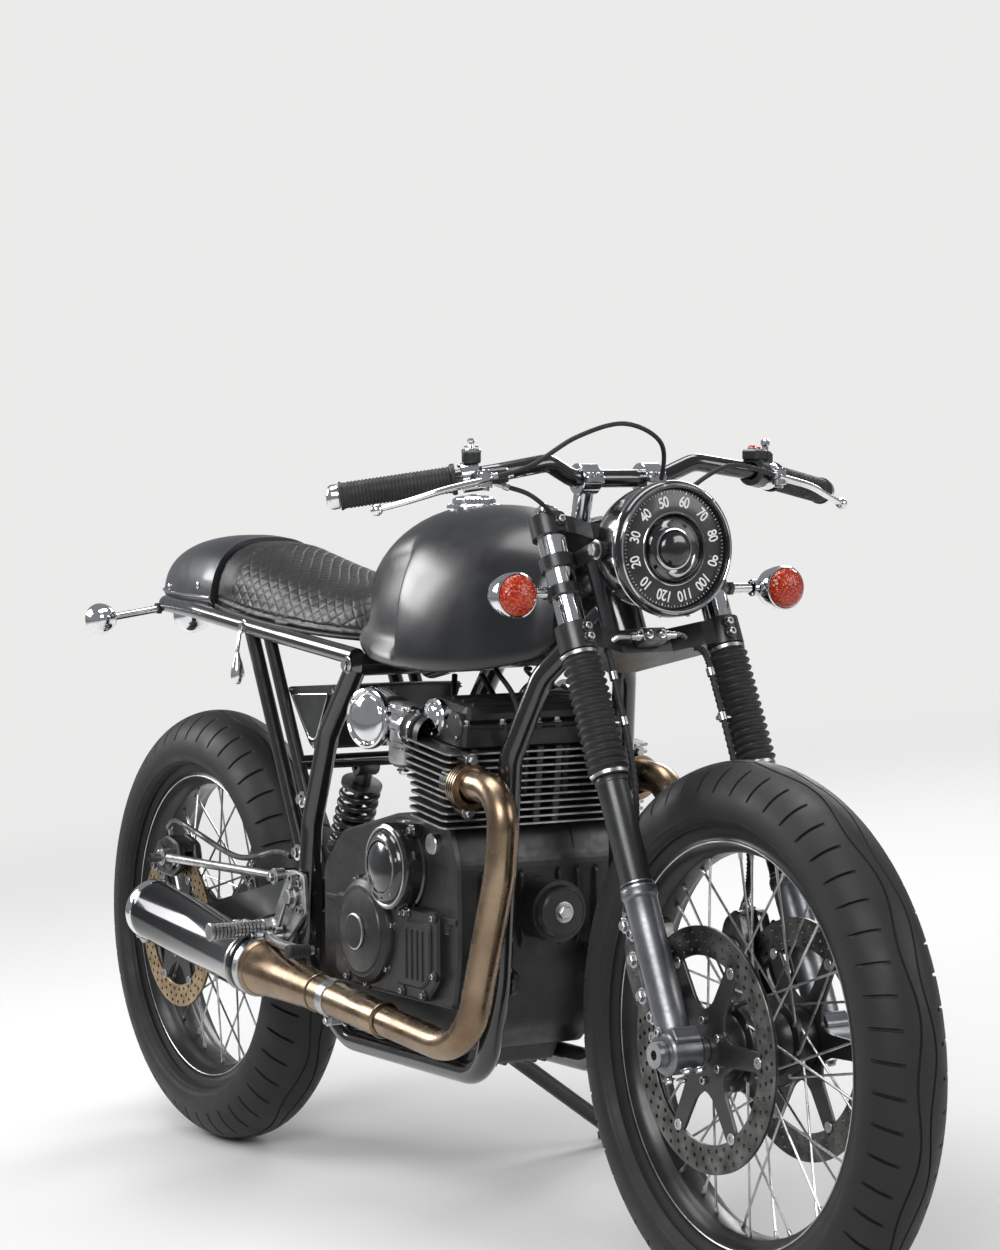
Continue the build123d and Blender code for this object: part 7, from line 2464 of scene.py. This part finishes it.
def build_rear_brake():
    body, bright = Piece(), Piece()
    outline = [(-38, 405), (-30, 448), (6, 462), (44, 452), (52, 418), (20, 400)]
    side_slab(body, outline, -100, -86.5, 3, 9)
    side_slab(body, outline, -73.5, -60, 3, 9)
    side_slab(body, [(-32, 441), (-29, 449), (6, 461), (42, 452), (45, 438), (6, 446)], -99, -61, 2, 4)
    for x, z in ((-8, 430), (26, 428)):
        body.turned([(16, -2), (16, 5), (14.6, 7), (10, 7.6), (10, 6), (0, 6)], (x, -99, z), -SIDE, 40)
        bright.turned([(9, 0), (9, 1.6), (7.6, 2.4), (0, 2.6)], (x, -104.6, z), -SIDE, 28)
    for x, z in ((-30, 414), (44, 426)):
        bright.bolt((x, -100, z), -SIDE, 5.6, 5.6, socket=True)
    bright.tube([(6, -92, 461), (6, -94, 474)], 3.0, 12)
    bright.turned([(5, 0), (5, 5), (4, 6), (0, 6)], (6, -94, 470), UP, 6)
    bright.turned([(7, -26), (7, 26)], (30, -112, 432), SIDE, 20)
    arm = [Vector((30, -112, 432)), Vector((400, -112, 438))]
    bright.tube([arm[0] + FORWARD * 9, arm[1] - FORWARD * 9], 6.4, 20)
    for at in arm:
        bright.turned([(5, -8), (11, -8), (12, -7), (12, 7), (11, 8), (5, 8)], at, SIDE, 32)
        bright.bolt(at - SIDE * 8, -SIDE, 6.4, 6)
    bright.turned([(9, -14), (10, -12), (10, 12), (9, 14)], (400, -106, 436), SIDE, 24)
    hose = flowing(
        [
            (6, -96, 474), (40, -98, 486), (120, -102, 474), (260, -104, 452), (380, -104, 470),
            (440, -112, 470),
        ],
        12,
    )
    body.tube(hose, 4.2, 12)
    body.make("rear_caliper_body", "chassis", DARK, ("rear_caliper",), "dark_steel", sharp=30)
    bright.make("torque_arm", "chassis", STEEL, (), "steel", sharp=30)
    # Axle nuts, chain adjusters and the bolts of the swingarm
    bits = Piece()
    for side in (1, -1):
        end = Vector((0, side * 135, REAR_RADIUS))
        bits.bolt(end, SIDE * side, 13, 9)
        side_slab(bits, [(-37, 306), (-37, 338), (-32, 338), (-32, 306)], side * 92, side * 120, 1, 2)
        bits.tube([(-48, side * 106, 322), (-34, side * 106, 322)], 4, 14)
        bits.bolt((-37, side * 106, 322), -FORWARD, 6.5, 6)
        side_slab(bits, [(-22, 308), (-22, 336), (24, 336), (24, 308)], side * 118.6, side * 121.4, 0.8, 4)
        bits.bolt((485, side * 135, 420), SIDE * side, 11, 7)
    bits.make("axle_and_pivot_nuts", "chassis", STEEL, (), "steel", sharp=30)


def build_rearsets():
    plates, bright, rubbers = Piece(), Piece(), Piece()
    outline = [(408, 350), (450, 342), (520, 402), (514, 452), (470, 456), (430, 400)]
    for side in (1, -1):
        outward = SIDE * side
        side_slab(plates, outline, side * 123.5, side * 131.3, 1.6, 8)
        for x, z in ((424, 362), (506, 440), (474, 446), (506, 404)):
            bright.bolt((x, side * 131.3, z), outward, 5.4, 5, socket=True)
        peg = Vector((428, side * 131, 372))
        plates.turned([(14, 0), (14, 6), (12, 9), (12, 20), (9, 22)], peg, outward, 32)
        rows = [(9, 20), (11.4, 22)]
        for k in range(13):
            base = 24 + k * 5.6
            rows += [(11.4, base), (11.4, base + 3.4), (9.8, base + 4.0), (9.8, base + 5.2)]
        rows += [(11.4, 97), (12.6, 98), (12.6, 101), (11, 102), (0, 102)]
        bright.turned(rows, peg, outward, 36)
        pivot = Vector((446, side * 127, 360))
        bright.turned([(10.5, 0), (10.5, 26), (9.5, 27.4), (0, 27.4)], pivot, outward, 28)
        a, b = Vector((446, side * 149, 360)), Vector((628, side * 186, 366))
        middle = [a, a.lerp(b, 0.3) - UP * 3, a.lerp(b, 0.7) - UP * 2, b]
        line = flowing(middle, 8)
        sizes = [7.5 - 2.5 * k / (len(line) - 1) for k in range(len(line))]
        bright.tube(line, sizes, 20)
        bright.turned([(6, -2), (6, 30)], (628, side * 178, 366), outward, 20)
        rows = [(6, 2)]
        for k in range(5):
            base = 3 + k * 5.4
            rows += [(9.2, base), (9.2, base + 3.8), (8, base + 4.2), (8, base + 5.2)]
        rows += [(9.2, 30), (9.2, 33), (8, 35), (0, 35.6)]
        rubbers.turned(rows, (628, side * 180, 366), outward, 28)
        link = [Vector((452, side * 140, 372)), Vector((496, side * 138, 446))]
        bright.tube(link, 3.4, 12)
        for at in link:
            bright.turned([(3, -5), (6.6, -5), (6.6, 5), (3, 5)], at, SIDE, 24)
    plates.make("foot_control_plates", "chassis", ALLOY, ("rearsets",), "steel", sharp=30)
    bright.make("foot_pegs_and_levers", "chassis", STEEL, (), "steel", sharp=30)
    rubbers.make("toe_rubbers", "chassis", RUBBER, (), "rubber", sharp=35)


def build_small_parts():
    box, line = Piece(), Piece()
    outline = [(404, 702), (556, 710), (500, 620), (474, 620)]
    side_slab(box, outline, -98, 98, 3, 10)
    inner = [(426, 692), (534, 698), (496, 634), (478, 634)]
    for side in (1, -1):
        side_slab(box, inner, side * 95, side * 100.5, 1.6, 7)
        frame_line = rounded([(x, -z) for x, z in inner], 7)
        line.tube([(x, side * 100.6, -z) for x, z in frame_line], 1.1, 8, closed=True)
        for x, z in ((414, 698), (546, 703), (486, 626)):
            line.screw((x, side * 98, z), SIDE * side, 3.4, 3)
    box.make("battery_cover", "chassis", SATIN, ("battery_box",), "satin_black", sharp=30)
    drop = Vector((300, -118, 772))
    line.tube([(300, -110, 782), drop, (300, -122, 744)], 3.0, 14)
    rows = [
        (0, 0), (3.2, 0.4), (4.2, 6), (7.4, 16), (9.6, 28), (9.8, 34), (7.6, 41), (3.6, 44.6), (0, 45.2),
    ]
    line.turned(rows, (300, -122, 746), -UP, 32)
    for side in (1, -1):
        for x, z in ((632, 742), (470, 478), (486, 552)):
            line.bolt((x, side * (122 if x > 600 else 117), z), SIDE * side, 7.5, 6)
        line.bolt((306, side * 114, 783), SIDE * side, 6, 5)
    line.make("chassis_brightwork", "chassis", CHROME, (), "chrome", sharp=32)
    beads = Piece()
    for height in (532, 645):
        beads.tube(circle(fork_at(0, 0, height), STEER_UP, 28.0, 48), 2.0, 8, closed=True)
    beads.make("head_tube_rings", "chassis", SATIN, (), "gloss_black", sharp=60)


build_studio()
build_camera()
dress_nodes()
build_wheels()
build_chain()
build_fork()
build_hoses()
build_calipers()
build_headlamp()
build_indicators()
build_bar()
build_grips()
build_controls()
build_cables()
build_tank()
build_cowl()
build_seat()
build_cylinders()
build_case()
build_intakes()
build_exhausts()
build_shock()
build_rear_brake()
build_rearsets()
build_small_parts()
